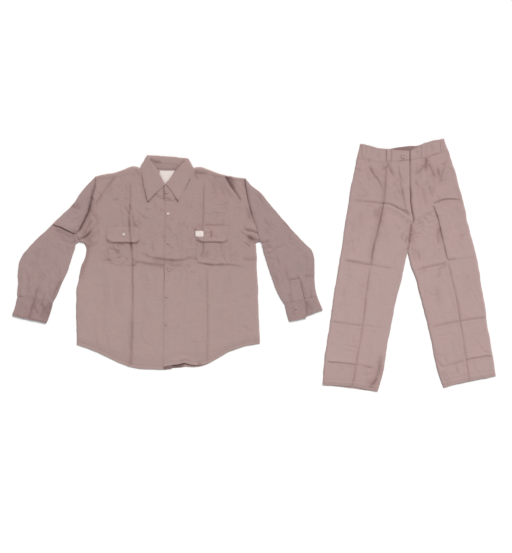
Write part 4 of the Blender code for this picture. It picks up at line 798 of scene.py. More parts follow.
# the hidden back: the lines where the shirt was folded go through every
# layer, shallow here because this cloth rests on the surface
BACK_CREASES = [
    groove([(130.6, 196.0), (131.8, 222.0), (131.0, 248.0), (132.8, 290.0), (131.6, 330.0), (132.2, 352.0)],
           1.5, 0.55, fade=(0.2, 0.15), dark=0.45),
    groove([(206.0, 198.0), (205.0, 226.0), (206.8, 256.0), (206.0, 300.0), (207.6, 346.0)], 1.4, 0.5, fade=(0.15, 0.25), dark=0.4),
    groove([(98.0, 255.0), (112.0, 258.4), (130.0, 261.0), (148.0, 260.2), (166.0, 263.6), (181.0, 262.0)],
           1.9, 0.6, fade=(0.3, 0.25), dark=0.42),
    groove([(174.0, 266.4), (196.0, 264.2), (218.0, 267.0), (241.0, 265.0)], 1.7, 0.5, fade=(0.2, 0.35), dark=0.36),
    groove([(104.0, 318.0), (126.0, 321.6), (150.0, 319.4), (171.0, 322.6)], 2.2, 0.45, fade=(0.4, 0.4), dark=0.24, sharp=0.2),
    groove([(188.0, 309.0), (206.0, 313.6), (229.0, 311.0)], 2.0, 0.4, fade=(0.3, 0.45), dark=0.22, sharp=0.2),
    groove([(101.0, 214.0), (107.6, 222.0), (112.8, 232.0), (114.6, 244.0)], 1.8, 0.55, fade=(0.2, 0.4), dark=0.34),
    groove([(241.0, 211.0), (233.0, 219.0), (227.4, 230.0)], 1.8, 0.5, fade=(0.2, 0.4), dark=0.32),
    groove([(104.0, 236.0), (113.0, 240.8), (124.0, 242.0)], 1.6, 0.4, fade=(0.2, 0.5), dark=0.26),
    groove([(150.0, 198.0), (155.6, 212.0), (153.4, 229.0)], 2.1, 0.4, fade=(0.35, 0.45), dark=0.22, sharp=0.2),
    groove([(181.0, 204.0), (176.8, 217.0), (179.4, 233.0), (177.0, 244.0)], 1.9, 0.4, fade=(0.4, 0.3), dark=0.22, sharp=0.2),
    groove([(160.0, 281.0), (165.4, 296.0), (162.2, 309.0)], 1.9, 0.35, fade=(0.4, 0.4), dark=0.18, sharp=0.2),
    groove([(223.0, 277.0), (229.0, 289.0), (227.4, 301.0)], 1.7, 0.35, fade=(0.3, 0.4), dark=0.18, sharp=0.2)]


def resting(creases, X, Y, above, clear):
    """[rise, shade] of the creases in cloth that rests on the surface: it rises
    off it along them, as far as the cloth above leaves room."""
    r = relief(creases, [], X, Y)
    return np.clip(-r[0], 0, 0.8) * np.clip(above - 2.4, 0, 0.8) / 0.8 * clear, r[3] * clear


def build_back():
    left = np.concatenate([ARMHOLE_RIGHT[3:], SIDE_RIGHT, [HEM_BACK[0]]]) + [(0.5, 0)]
    right = np.concatenate([ARMHOLE_LEFT[3:], SIDE_LEFT, [HEM_BACK[-1]]]) - [(0.5, 0)]
    s = stations([left, right], 1.5)
    A, B = curve(left, s, corners={8, 9}), curve(right, s, corners={8, 9})
    t = np.linspace(0, 1, 161)
    X = A[:, None, 0] + (B[:, None, 0] - A[:, None, 0]) * t
    Y = A[:, None, 1] + (B[:, None, 1] - A[:, None, 1]) * t
    h = curve(np.array(HEM_BACK), np.linspace(0, len(HEM_BACK) - 1, 400))
    hem_y = np.interp(X[-1], h[:, 0], h[:, 1])
    v = np.clip((Y - 300.0) / (Y[-1] - 300.0), 0, 1)
    Y = Y + smooth(v) * v * (hem_y - Y[-1])
    Y[-1] = hem_y
    more = np.linspace(0, 1, 7)[1:-1, None]                # finer rows at the hem
    X = np.concatenate([X[:-1], X[-2] + (X[-1] - X[-2]) * more, X[-1:]])
    Y = np.concatenate([Y[:-1], Y[-2] + (Y[-1] - Y[-2]) * more, Y[-1:]])
    if len(X) % 2 == 0:
        X, Y = np.concatenate([X[:1], (X[:1] + X[1:2]) / 2, X[1:]]), np.concatenate([Y[:1], (Y[:1] + Y[1:2]) / 2, Y[1:]])
    he = np.abs(Y[-1] - Y)
    z = BACK_Z + 0.10 * Noise(41, 9.0)(X, Y) + 0.25 * smooth((3.0 - he) / 1.5)
    # painted shadow on the back where it shows below the over front's lifted hem, and painted shade along the back's
    # hem
    line = np.array(HEM_LEFT)[::-1]
    below = Y - np.interp(X, line[:, 0], line[:, 1])
    reach = 2.2 + 3.0 * smooth((186.0 - X) / 6.0)
    gap = smooth((X - 163.0) / 2.0) * smooth((203.0 - X) / 4.0) * smooth((reach - below) / 1.4)
    shade = 0.12 * smooth((3 - he) / 1.0) + 1.1 * gap * (0.55 + 0.45 * smooth((192.0 - X) / 14.0))
    r = body_relief(X, Y)[0]
    above = np.minimum(front_height(X, Y, True, r), front_height(X, Y, False, r))
    clear = smooth(np.minimum(X - X[:, :1], X[:, -1:] - X) / 8.0) * smooth((he - 12.0) / 10.0)
    rise, dark = resting(BACK_CREASES, X, Y, above, clear)
    return panel("shirt_back_cloth", np.stack([X, Y, z + rise], -1), SHIRT, shade=shade + dark, under=1,
                 shade_under=dark + 0.12 * smooth((3 - he) / 1.0))


YOKE = table("x edge_y seam_y",
    (95.5, 176.5, 180.9), (107.0, 173.8, 178.8), (113.0, 173.0, 177.8), (118.0, 171.8, 176.9), (123.6, 169.4, 175.8),
    (129.0, 167.1, 174.9), (134.0, 166.1, 174.0), (142.8, 168.6, 172.9), (145.0, 170.3, 0), (152.0, 169.9, 0),
    (160.0, 169.8, 0), (167.3, 170.0, 0), (175.0, 170.2, 0), (182.0, 170.7, 0), (188.8, 171.6, 0),
    (192.0, 168.0, 172.8), (201.7, 167.2, 174.2), (207.0, 169.0, 175.0), (212.6, 171.1, 175.9), (225.6, 175.4, 178.1),
    (235.0, 176.8, 179.5), (245.1, 178.1, 181.0))


def build_yoke():
    n = len(YOKE)
    ctrl = np.array([(p["x"], p["edge_y"], p["seam_y"]) for p in YOKE])
    pick = stations([ctrl[:, :2]], 1.0)
    left_end, right_start = 7, 15
    edge = curve(ctrl[:, :2], pick, corners={left_end, right_start, 8, 14})
    seam = np.interp(pick, np.arange(n), ctrl[:, 2])
    x_share = (edge[:, 0] - 95.5) / 149.6
    rows = []
    for f in (0.0, 0.12, 0.25, 0.4, 0.55, 0.7, 0.85, 1.0):
        y0 = 195.0 + 0 * x_share
        x0 = 91.9 + x_share * (247.1 - 91.9)
        y1 = edge[:, 1] + np.where((pick > left_end) & (pick < right_start), -1.6, 1.0)
        rows.append(np.stack([x0 + (edge[:, 0] - x0) * f, y0 + (y1 - y0) * f, 0.6 + 0 * x_share], -1))
    low, high = 0.6, SHIRT_Z - 0.55
    for a in (20, 55, 90, 125, 160):
        r = math.radians(a)
        rows.append(np.stack([edge[:, 0], edge[:, 1] + 1.0 - 0.9 * math.sin(r),
                              (low + high) / 2 - (high - low) / 2 * math.cos(r) + 0 * x_share], -1))
    for f in (0.0, 0.2, 0.4, 0.6, 0.8, 1.0):
        y = edge[:, 1] + 1.0 + (seam + 0.35 - edge[:, 1] - 1.0) * f
        rows.append(np.stack([edge[:, 0], y, high + 1.05 - 0.72 * f**3 + 0 * x_share], -1))
    P = np.stack(rows)
    r = body_relief(P[14:, :, 0], P[14:, :, 1])
    P[14:, :, 2] += np.linspace(0.6, 1.0, 5)[:, None] * soft_floor(r[0], -3.3)
    shade = np.zeros(P.shape[:2])
    shade[14:] = r[3]
    mask = np.ones((P.shape[0] - 1, P.shape[1] - 1), bool)
    for j in range(P.shape[1] - 1):
        if pick[j] >= left_end - 1e-6 and pick[j + 1] <= right_start + 1e-6:
            mask[7:, j] = False
    return panel("shirt_yoke_cloth", P, SHIRT, shade=np.clip(shade, 0, 1.7), mask=mask, by_normal=True, thick=0.6)


# ------------------------------------------------------------------- sleeves
SLEEVE_RIGHT = table("ox oy kx ky ix iy",
    (90.2, 182.0, 76.6, 234.3, 79.2, 242.0), (85.3, 187.3, 76.3, 234.8, 78.4, 242.5),
    (71.6, 205.6, 75.9, 235.6, 77.2, 243.0), (60.0, 216.8, 75.4, 236.4, 76.4, 243.6), (54.0, 222.2, 74.9, 237.4, 76.0, 244.2),
    (51.0, 225.6, 74.0, 239.2, 75.6, 245.2), (46.6, 229.8, 72.4, 243.2, 74.8, 248.4), (40.0, 236.0, 69.8, 250.6, 73.0, 253.6),
    (28.2, 248.2, 65.8, 262.0, 69.6, 264.3), (21.4, 257.0, 63.0, 270.6, 67.2, 272.2), (18.6, 264.6, 60.0, 276.6, 64.4, 278.0),
    (18.0, 273.0, 57.0, 283.0, 61.2, 284.2), (18.0, 284.0, 54.0, 290.6, 58.2, 292.0), (17.4, 291.0, 51.0, 296.6, 55.2, 298.0),
    (17.2, 297.3, 48.6, 302.2, 52.7, 302.9))
SLEEVE_LEFT = table("ox oy kx ky ix iy",
    (251.6, 185.4, 259.0, 235.0, 260.2, 242.0), (259.0, 191.6, 259.5, 235.6, 260.8, 242.5),
    (272.5, 207.4, 260.4, 237.0, 261.8, 243.2), (284.2, 221.0, 261.4, 240.4, 262.6, 246.4), (296.0, 234.2, 263.2, 246.6, 263.4, 251.4),
    (305.8, 243.8, 266.4, 254.6, 265.2, 257.4), (311.8, 250.2, 269.0, 259.6, 266.6, 261.2), (314.2, 257.6, 271.6, 265.6, 268.4, 266.8),
    (314.6, 268.0, 275.0, 274.4, 271.2, 275.4), (314.6, 280.0, 278.6, 284.0, 274.8, 285.4), (315.6, 289.4, 283.0, 294.0, 279.4, 295.2),
    (317.4, 296.8, 288.0, 304.2, 284.8, 305.2))

SLEEVE_RIGHT_CREASES = [
    step([(49.0, 221.6), (52.5, 223.6), (57.0, 225.3), (62.8, 227.7), (67.4, 229.8), (71.6, 231.7), (76.4, 233.2), (80.0, 234.0)],
         "up", 1.1, 2.4, fade=(0.08, 0.12), reach=7.0, lip=1.2, trough=1.2, dark=0.56),
    groove([(52.0, 225.4), (57.0, 227.4), (63.0, 229.8), (69.0, 232.4), (76.0, 235.0)], 1.9, 1.0, fade=(0.1, 0.1), dark=0.32, sharp=0.1),
    groove([(53.6, 228.6), (58.6, 231.4), (64.6, 234.3), (69.0, 236.8), (73.0, 239.2)], 1.2, 1.2, fade=(0.2, 0.2), dark=0.42),
    groove([(58.0, 238.0), (64.0, 240.6), (70.4, 243.4)], 1.3, 0.6, fade=(0.4, 0.3), dark=0.18, sharp=0.2),
    groove([(70.4, 204.6), (74.0, 206.6), (78.4, 208.4), (83.0, 211.0)], 1.7, 1.0, fade=(0.1, 0.5), dark=0.35, sharp=0.3),
    groove([(92.6, 186.0), (90.6, 196.0), (88.4, 205.0), (85.8, 214.0), (81.8, 223.0), (77.6, 231.0)], 1.0, 0.9,
           fade=(0.15, 0.1), dark=0.35),
    groove([(84.6, 192.0), (81.6, 202.0), (77.6, 212.0)], 2.2, 0.5, fade=(0.3, 0.5), dark=0.08, sharp=0.1),
    groove([(76.0, 241.0), (72.6, 243.0), (68.0, 243.6)], 1.3, 1.1, fade=(0.1, 0.5), dark=0.4),
    groove([(72.2, 233.6), (74.0, 238.0), (76.0, 243.0)], 1.2, 1.0, fade=(0.2, 0.2), dark=0.4),
    groove([(37.6, 246.0), (36.8, 262.0), (36.4, 280.0)], 2.2, 0.6, fade=(0.4, 0.4), dark=0.12, sharp=0.1),
    groove([(48.6, 246.0), (46.0, 258.0), (44.6, 270.0)], 2.6, 0.5, fade=(0.4, 0.5), dark=0.08, sharp=0.1),
    groove([(57.6, 250.0), (54.6, 264.0), (50.6, 276.0)], 2.0, 0.5, fade=(0.4, 0.5), dark=0.1, sharp=0.1),
    groove([(62.0, 278.6), (58.0, 285.0), (54.6, 292.6), (52.6, 301.0)], 1.6, 1.1, fade=(0.25, 0.0), dark=0.42, sharp=0.3),
    groove([(40.6, 279.0), (39.6, 288.0), (40.6, 297.0)], 1.4, 0.6, fade=(0.4, 0.2), dark=0.18, sharp=0.3),
    groove([(36.6, 288.0), (36.0, 293.0), (34.6, 300.4)], 1.2, 1.0, fade=(0.35, 0.0), dark=0.45),
    groove([(28.0, 282.0), (27.6, 290.0), (26.6, 298.0)], 1.6, 0.6, fade=(0.5, 0.1), dark=0.15, sharp=0.3),
    groove([(44.6, 290.0), (44.0, 296.0), (43.0, 301.0)], 1.2, 0.6, fade=(0.5, 0.0), dark=0.2, sharp=0.3),
    groove([(17.6, 297.0), (20.0, 296.6), (23.0, 296.0)], 1.0, 0.8, fade=(0.0, 0.5), dark=0.4),
    groove([(24.0, 262.0), (32.0, 265.0), (41.0, 266.6)], 2.6, 0.4, fade=(0.3, 0.5), dark=0.06, sharp=0.1),
    groove([(30.0, 251.0), (38.0, 256.0), (47.0, 258.6)], 2.2, 0.4, fade=(0.3, 0.5), dark=0.08, sharp=0.1),
]
SLEEVE_LEFT_CREASES = [
    groove([(246.6, 186.0), (248.0, 196.0), (250.0, 206.0), (252.8, 215.0), (256.0, 224.0), (258.8, 232.0)], 1.0, 0.8,
           fade=(0.1, 0.1), dark=0.3),
    groove([(261.4, 243.4), (266.0, 242.0), (272.0, 241.0)], 1.1, 1.0, fade=(0.05, 0.5), dark=0.45),
    groove([(263.0, 249.0), (269.0, 247.6), (276.0, 246.0)], 1.6, 0.6, fade=(0.1, 0.5), dark=0.15, sharp=0.3),
    groove([(264.0, 238.0), (268.0, 230.0), (270.6, 220.0)], 1.9, 0.7, fade=(0.2, 0.5), dark=0.12, sharp=0.2),
    groove([(254.0, 192.0), (262.0, 204.0), (268.0, 216.0)], 2.2, 0.5, fade=(0.2, 0.5), dark=0.08, sharp=0.1),
    groove([(274.0, 214.0), (284.0, 228.0), (291.0, 244.0)], 2.8, 0.5, fade=(0.3, 0.5), dark=0.06, sharp=0.1),
    groove([(303.6, 276.6), (308.0, 276.2), (313.6, 276.4)], 0.9, 0.8, fade=(0.2, 0.05), dark=0.45),
    groove([(303.8, 292.0), (306.4, 294.6), (309.4, 295.2)], 0.9, 0.5, fade=(0.3, 0.3), dark=0.25),
    groove([(303.0, 286.0), (305.0, 290.4), (307.4, 294.0)], 0.9, 0.6, fade=(0.3, 0.3), dark=0.25),
    groove([(300.2, 278.6), (300.9, 284.0), (302.0, 289.6), (303.6, 295.6), (305.4, 301.6)], 0.85, 1.2, fade=(0.25, 0.0), dark=0.78),
    groove([(287.6, 280.8), (293.0, 279.6), (299.6, 278.0)], 0.8, 0.7, fade=(0.2, 0.0), dark=0.5),
    groove([(296.4, 258.0), (297.6, 268.0), (296.6, 278.0)], 2.0, 0.5, fade=(0.4, 0.4), dark=0.08, sharp=0.1),
    groove([(283.0, 262.0), (286.6, 276.0), (291.0, 288.0)], 2.2, 0.55, fade=(0.4, 0.4), dark=0.1, sharp=0.1),
    groove([(286.0, 292.0), (289.0, 297.0), (291.0, 303.0)], 1.2, 0.7, fade=(0.4, 0.0), dark=0.25, sharp=0.3),
    groove([(309.6, 286.0), (310.4, 292.0), (310.6, 299.0)], 1.1, 0.6, fade=(0.4, 0.0), dark=0.2, sharp=0.3),
]


SLEEVE_RIGHT_CREASES += small_creases(table("x0 y0 x1 y1 count angle spread length width depth dark",
    (70, 196, 94, 232, 14, 110, 25, 9.0, 1.0, 0.6, 0.16), (56, 204, 80, 226, 10, 130, 20, 8.0, 0.9, 0.6, 0.16),
    (24, 238, 72, 280, 26, 120, 30, 10.0, 1.1, 0.55, 0.16), (20, 264, 60, 298, 26, 100, 14, 13.0, 0.9, 0.8, 0.26),
    (54, 228, 78, 246, 10, 25, 12, 9.0, 0.9, 0.8, 0.26), (40, 276, 62, 300, 10, 75, 20, 8.0, 0.8, 0.8, 0.26)))
SLEEVE_LEFT_CREASES += small_creases(table("x0 y0 x1 y1 count angle spread length width depth dark",
    (250, 188, 274, 234, 14, 60, 25, 9.0, 1.0, 0.6, 0.16), (262, 216, 310, 262, 26, 60, 30, 10.0, 1.1, 0.55, 0.16),
    (270, 256, 314, 300, 30, 80, 16, 13.0, 0.9, 0.7, 0.22), (258, 236, 280, 256, 9, 170, 14, 8.0, 0.9, 0.7, 0.22)))


def sleeve_noise(seed):
    return [(0.30, Noise(seed, 14.0)), (0.20, Noise(seed + 1, 6.0)), (0.08, Noise(seed + 2, 2.6))]


def build_sleeve(name, armhole, sections, creases, sign, seed, finer=None):
    """A flattened tube whose first ring is the armhole."""
    run = np.concatenate([[0], np.cumsum(np.hypot(*np.diff(armhole, axis=0).T))])
    knee = 9
    share, tail = run[:knee + 1] / run[knee], (run[knee:] - run[knee]) / (run[-1] - run[knee])
    ctrl = [armhole - [(sign * 0.10, 0)]]
    for s in sections:
        o, k, i = (np.array((s[a], s[b])) for a, b in (("ox", "oy"), ("kx", "ky"), ("ix", "iy")))
        ctrl.append(np.concatenate([o + (k - o) * share[:, None], k + (i - k) * tail[1:, None]]))
    ctrl = np.array(ctrl)                               # sections, 12 columns, xy
    su = stations([ctrl[:, 0], ctrl[:, 5], ctrl[:, -1]], SLEEVE_FINE, finer)
    width = np.max(run[-1])
    nt = 2 * int(width / SLEEVE_FINE / 2)
    sv = np.interp(np.linspace(0, run[-1], nt), run, np.arange(12))
    cols = np.stack([curve(c, sv) for c in ctrl])       # sections, nt, 2
    T = np.stack([curve(cols[:, j], su, corners={0}) for j in range(nt)], 1)
    along = np.concatenate([[0], np.cumsum(np.linalg.norm(np.diff(T[:, nt // 2], axis=0), axis=1))])
    inside = smooth((1.9 - (along[-1] - along)) / 0.9)[:, None]           # the end sewn into the cuff
    mid = T.mean(1)[:, None]
    T = T + (mid - T) * 0.022 * inside[..., None]
    A, B = T[:, 0], T[:, -1]
    across = B - A
    W = np.linalg.norm(across, axis=1)
    d = across / W[:, None]
    low, high = 0.45, 4.3
    r = 0.42                                           # plan reach of the folds, steps
    dist_a = np.linalg.norm(T - A[:, None], axis=2)
    dist_b = np.linalg.norm(T - B[:, None], axis=2)
    inset = np.exp(-(dist_a / 2.0) ** 2)[..., None] * r * d[:, None] - np.exp(-(dist_b / 2.0) ** 2)[..., None] * r * d[:, None]
    T2 = T + inset
    rel = relief(creases, sleeve_noise(seed), T2[..., 0], T2[..., 1])
    swell = smooth(np.minimum(dist_a, dist_b) / 5.0)
    rows = np.arange(len(su))
    from_arm = np.linalg.norm(np.diff(T[:, nt // 2], axis=0), axis=1)
    from_arm = np.concatenate([[0], np.cumsum(from_arm)])[:, None]
    near_arm = np.exp(-(from_arm / 1.1) ** 2)
    edge = smooth(np.minimum(dist_a, dist_b) / 1.6)
    z = high + 0.75 * swell + soft_floor(rel[0], -3.0) * edge - 0.5 * near_arm * edge
    to_cuff = (from_arm[-1] - from_arm)
    z = z + 0.35 * np.exp(-((to_cuff - 4.0) / 2.0) ** 2) * edge - 0.9 * inside * edge - 0.5 * inside * (1 - edge)
    keep = edge * smooth(from_arm / 2) * smooth(to_cuff / 2)
    top = np.stack([T2[..., 0] + rel[1] * keep, T2[..., 1] + rel[2] * keep, z], -1)
    # painted shade at the armhole seam and at the end sewn into the cuff
    shade = np.clip(rel[3] + 0.25 * near_arm + 0.05 * np.exp(-(to_cuff / 1.0) ** 2), 0, 1)
    # the two folds and the lower layer
    def fold(C, way, z_top, to_low):
        out = []
        for a in (30, 65, 90, 115, 150):
            g = math.radians(a)
            floor_z = low + 1.1 * inside[:, 0]
            zc, hh = (z_top + floor_z) / 2, (z_top - floor_z) / 2
            f = math.cos(g) if to_low else -math.cos(g)
            out.append(np.stack([C[:, 0] - way[:, 0] * (r * math.sin(g) - r), C[:, 1] - way[:, 1] * (r * math.sin(g) - r),
                                 zc + hh * f], -1))
        return np.stack(out, 1)
    fa = fold(A, d, top[:, 0, 2], False)
    fb = fold(B, -d, top[:, -1, 2], True)
    nb = 14
    tb = np.linspace(0.0, 1.0, nb)[None, :, None]
    Bi, Ai = B - d * r, A + d * r
    lowp = Bi[:, None] + (Ai - Bi)[:, None] * tb
    lower = np.concatenate([lowp, low + 1.1 * inside[..., None] * np.ones((1, nb, 1))], -1)
    P = np.concatenate([fa, top, fb, lower], 1)
    sh = np.concatenate([np.repeat(shade[:, :1], 5, 1), shade, np.repeat(shade[:, -1:], 5, 1), np.zeros((len(su), nb))], 1)
    length = np.concatenate([[0], np.cumsum(np.linalg.norm(np.diff(T[:, nt // 3], axis=0), axis=1))]) * STEP
    girth = np.linspace(0, 1, P.shape[1]) * 2 * W.max() * STEP
    uv = np.stack(np.meshgrid(girth, length), -1)
    return panel(name, P, SLEEVE, uv=uv, shade=sh, wrap=True, by_normal=True, thick=0.5)


# --------------------------------------------------------------------- cuffs
CUFF_RIGHT = table("ox oy ix iy", (17.5, 296.6, 52.9, 302.2), (16.1, 301.8, 51.6, 308.0), (14.6, 308.0, 49.6, 315.2),
                   (12.3, 315.7, 46.4, 323.3))
CUFF_LEFT = table("ox oy ix iy", (317.3, 296.3, 284.6, 304.5), (319.2, 301.6, 286.0, 310.2), (320.8, 305.8, 287.3, 315.4),
                  (322.5, 310.0, 288.9, 321.2))
CUFF_LAP = table("over_x over_y under_x under_y", (304.5, 300.3, 299.5, 301.3), (305.2, 306.6, 300.3, 307.2),
                 (305.8, 312.2, 301.6, 312.4), (306.4, 317.7, 302.6, 316.9))
CUFF_RIGHT_CREASES = [
    groove([(34.6, 299.4), (32.8, 305.0), (30.6, 312.0), (28.6, 319.0)], 1.2, 1.3, fade=(0.0, 0.1), dark=0.6),
    groove([(51.4, 303.0), (50.2, 309.0), (48.0, 316.0), (46.0, 322.0)], 2.0, 0.9, fade=(0.0, 0.0), dark=0.4, sharp=0.1),
    groove([(40.6, 303.0), (43.6, 308.0), (44.4, 314.0), (42.4, 320.0)], 1.3, 1.0, fade=(0.2, 0.1), dark=0.34, sharp=0.3),
    groove([(47.6, 304.6), (46.4, 310.0), (47.6, 315.0)], 1.1, 0.8, fade=(0.2, 0.2), dark=0.3, sharp=0.3),
    groove([(33.5, 305.0), (36.0, 310.0), (38.6, 316.0)], 1.0, 0.8, fade=(0.3, 0.3), dark=0.3, sharp=0.3),
    groove([(43.6, 308.0), (42.0, 313.0), (40.0, 319.0)], 1.2, 0.8, fade=(0.3, 0.2), dark=0.3, sharp=0.3),
    groove([(22.0, 301.0), (21.0, 308.0), (20.0, 315.0)], 1.6, 0.5, fade=(0.2, 0.3), dark=0.12, sharp=0.2),
] + small_creases(table("x0 y0 x1 y1 count angle spread length width depth dark",
    (16, 299, 50, 320, 22, 105, 20, 8.0, 0.8, 0.7, 0.30), (36, 302, 50, 318, 8, 70, 20, 6.0, 0.7, 0.7, 0.30)))
CUFF_LEFT_CREASES = [
    groove([(305.3, 300.2), (306.1, 306.4), (306.8, 312.0), (307.4, 317.6)], 0.8, 0.7, fade=(0.0, 0.4), dark=0.6),
    groove([(306.6, 301.6), (308.0, 306.0), (308.6, 311.0)], 1.4, 0.8, fade=(0.1, 0.4), dark=0.4, sharp=0.3),
    groove([(292.0, 306.0), (293.0, 312.0), (294.0, 318.0)], 1.4, 0.5, fade=(0.3, 0.3), dark=0.12, sharp=0.2),
] + small_creases(table("x0 y0 x1 y1 count angle spread length width depth dark",
    (286, 302, 322, 318, 16, 80, 30, 6.0, 0.8, 0.55, 0.26)))


def build_cuff_right():
    o, i = xy(CUFF_RIGHT, "ox", "oy"), xy(CUFF_RIGHT, "ix", "iy")
    su = stations([o, i], 0.6)
    A, B = curve(o, su), curve(i, su)
    d = (B - A) / np.linalg.norm(B - A, axis=1)[:, None]
    r, low, high = 0.45, 0.6, 4.3
    nt = 58
    t = np.linspace(0, 1, nt)[None, :, None]
    Ai, Bi = A + d * r, B - d * r
    T = Ai[:, None] + (Bi - Ai)[:, None] * t
    rel = relief(CUFF_RIGHT_CREASES, [(0.3, Noise(71, 9.0)), (0.25, Noise(72, 4.0))], T[..., 0], T[..., 1])
    tt = t[..., 0]
    edge = smooth(np.minimum(tt, 1 - tt) / 0.05)
    v = np.linspace(0, 1, len(su))[:, None]
    stitch = np.exp(-((v - 0.08) / 0.02) ** 2) + np.exp(-((v - 0.92) / 0.02) ** 2)
    z = high + 0.85 * edge + rel[0] * edge - 0.18 * stitch * edge - 0.15 * np.exp(-(v / 0.035) ** 2) * edge
    top = np.concatenate([T, z[..., None]], -1)
    # painted shade: over the whole cuff, in its stitch lines, and most along its lower edge
    shade = np.clip(0.14 + rel[3] + 0.10 * stitch + 0.5 * smooth((v - 0.90) / 0.07) * (0.5 + 0.5 * smooth((tt - 0.3) / 0.3)), 0, 1.7)
    def fold(C, way, z_top, up):
        out = []
        for a in (30, 65, 90, 115, 150):
            g = math.radians(a)
            zc, hh = (z_top + low) / 2, (z_top - low) / 2
            f = math.cos(g) * (1 if up else -1)
            out.append(np.stack([C[:, 0] + way[:, 0] * (r - r * math.sin(g)), C[:, 1] + way[:, 1] * (r - r * math.sin(g)),
                                 zc + hh * f], -1))
        return np.stack(out, 1)
    fa, fb = fold(A, d, z[:, 0], False), fold(B, -d, z[:, -1], True)
    lowp = Bi[:, None] + (Ai - Bi)[:, None] * np.linspace(0, 1, 14)[None, :, None]
    lower = np.concatenate([lowp, np.full((*lowp.shape[:2], 1), low)], -1)
    P = np.concatenate([fa, top, fb, lower], 1)
    sh = np.concatenate([np.repeat(shade[:, :1], 5, 1), shade, np.repeat(shade[:, -1:], 5, 1), np.zeros((len(su), 14))], 1)
    length = np.linspace(0, 19 * STEP, len(su))
    uv = np.stack(np.meshgrid(np.linspace(0, 1, P.shape[1]) * 0.29, length), -1)
    return panel("shirt_cuff_right_cloth", P, SLEEVE, uv=uv, shade=sh, wrap=True, by_normal=True, thick=0.9)


def build_cuff_left():
    rows = []
    low, mid, top, high = 0.6, 2.5, 4.6, 5.8
    for s, lap in zip(CUFF_LEFT, CUFF_LAP):
        a, b = np.array((s["ox"], s["oy"])), np.array((s["ix"], s["iy"]))
        over, under = np.array((lap["over_x"], lap["over_y"])), np.array((lap["under_x"], lap["under_y"]))
        d = (a - b) / np.linalg.norm(a - b)
        at = lambda p, q, t, z: (*(p + (q - p) * t), z)
        rows.append([at(over, over, 0, high), at(over, b, 0.3, high), at(over, b, 0.6, high - 0.15), at(over, b, 0.85, high - 0.8),
                     (*(b + d * 0.45), 4.1), (*b, mid), (*(b + d * 0.45), low), at(b, a, 0.35, low), at(b, a, 0.7, low),
                     (*(a - d * 0.45), low), (*a, mid), (*(a - d * 0.45), 4.0), at(under, a, 0.82, top), at(under, a, 0.5, top),
                     at(under, a, 0.25, top - 0.1), (*under, top - 0.25)])
    C = np.array(rows)
    C[..., 2] /= 4.0
    su = stations([C[:, 0], C[:, 5], C[:, 10]], 0.6)
    fine = [0.0]
    for j in range(C.shape[1] - 1):
        gap = np.linalg.norm(C[0, j + 1] - C[0, j])
        k = max(3, int(gap / 0.62))
        fine += [j + (m + 1) / k for m in range(k)]
    sv = np.array(fine)
    cols = np.stack([curve(c, sv, spatial=True) for c in C])
    P = np.stack([curve(cols[:, j], su) for j in range(len(sv))], 1)
    P[..., 2] *= 4.0
    rel = relief(CUFF_LEFT_CREASES, [(0.2, Noise(81, 9.0)), (0.12, Noise(82, 4.0))], P[..., 0], P[..., 1])
    upper = smooth((P[..., 2] - 3.6) / 0.6)
    v = np.linspace(0, 1, len(su))[:, None]
    stitch = np.exp(-((v - 0.08) / 0.02) ** 2) + np.exp(-((v - 0.92) / 0.02) ** 2)
    P[..., 2] += upper * (rel[0] - 0.16 * stitch - 0.15 * np.exp(-(v / 0.035) ** 2))
    # painted shade over the upper layer and in its stitch lines
    shade = np.clip(upper * (0.08 + rel[3] + 0.10 * stitch), 0, 1.7)
    length = np.linspace(0, 16 * STEP, len(su))
    uv = np.stack(np.meshgrid(np.linspace(0, 1, P.shape[1]) * 0.29, length), -1)
    return panel("shirt_cuff_left_cloth", P, SLEEVE, uv=uv, shade=shade, under=1, by_normal=True, thick=0.9)


def sleeve_left_height(X, Y):
    rel = relief(SLEEVE_LEFT_CREASES, sleeve_noise(61), np.asarray(X, float), np.asarray(Y, float))
    return 4.3 + 0.75 + soft_floor(rel[0], -3.0)


def build_sleeve_placket():
    rows = table("x0 y0 x1 y1", (289.4, 281.2, 299.3, 279.6), (289.7, 284.6, 300.0, 283.0), (289.9, 288.6, 300.8, 287.2),
                 (290.6, 295.4, 302.6, 293.8), (291.2, 300.0, 303.6, 298.2), (291.8, 303.0, 304.4, 301.0))
    a, b = xy(rows, "x0", "y0"), xy(rows, "x1", "y1")
    su = stations([a, b], 0.55)
    A, B = curve(a, su), curve(b, su)
    t = np.linspace(0, 1, 25)[None, :, None]
    T = A[:, None] + (B - A)[:, None] * t
    z = sleeve_left_height(T[..., 0], T[..., 1])
    tt, v = t[..., 0], np.linspace(0, 1, len(su))[:, None]
    edge = np.minimum(np.minimum(tt * 12, (1 - tt) * 12), v * 22)
    z = np.maximum(z, 4.4) + 1.0 - 0.25 * np.exp(-((edge - 1.3) / 0.35) ** 2) - 0.4 * np.exp(-(edge / 0.4) ** 2)
    z = z - 1.1 * smooth((v - 0.90) / 0.06)
    # painted shade in the stitch line near the edges
    shade = 0.3 * np.exp(-((edge - 1.3) / 0.4) ** 2)
    return panel("shirt_sleeve_placket_left_cloth", np.concatenate([T, z[..., None]], -1), SLEEVE, shade=shade, thick=0.7)


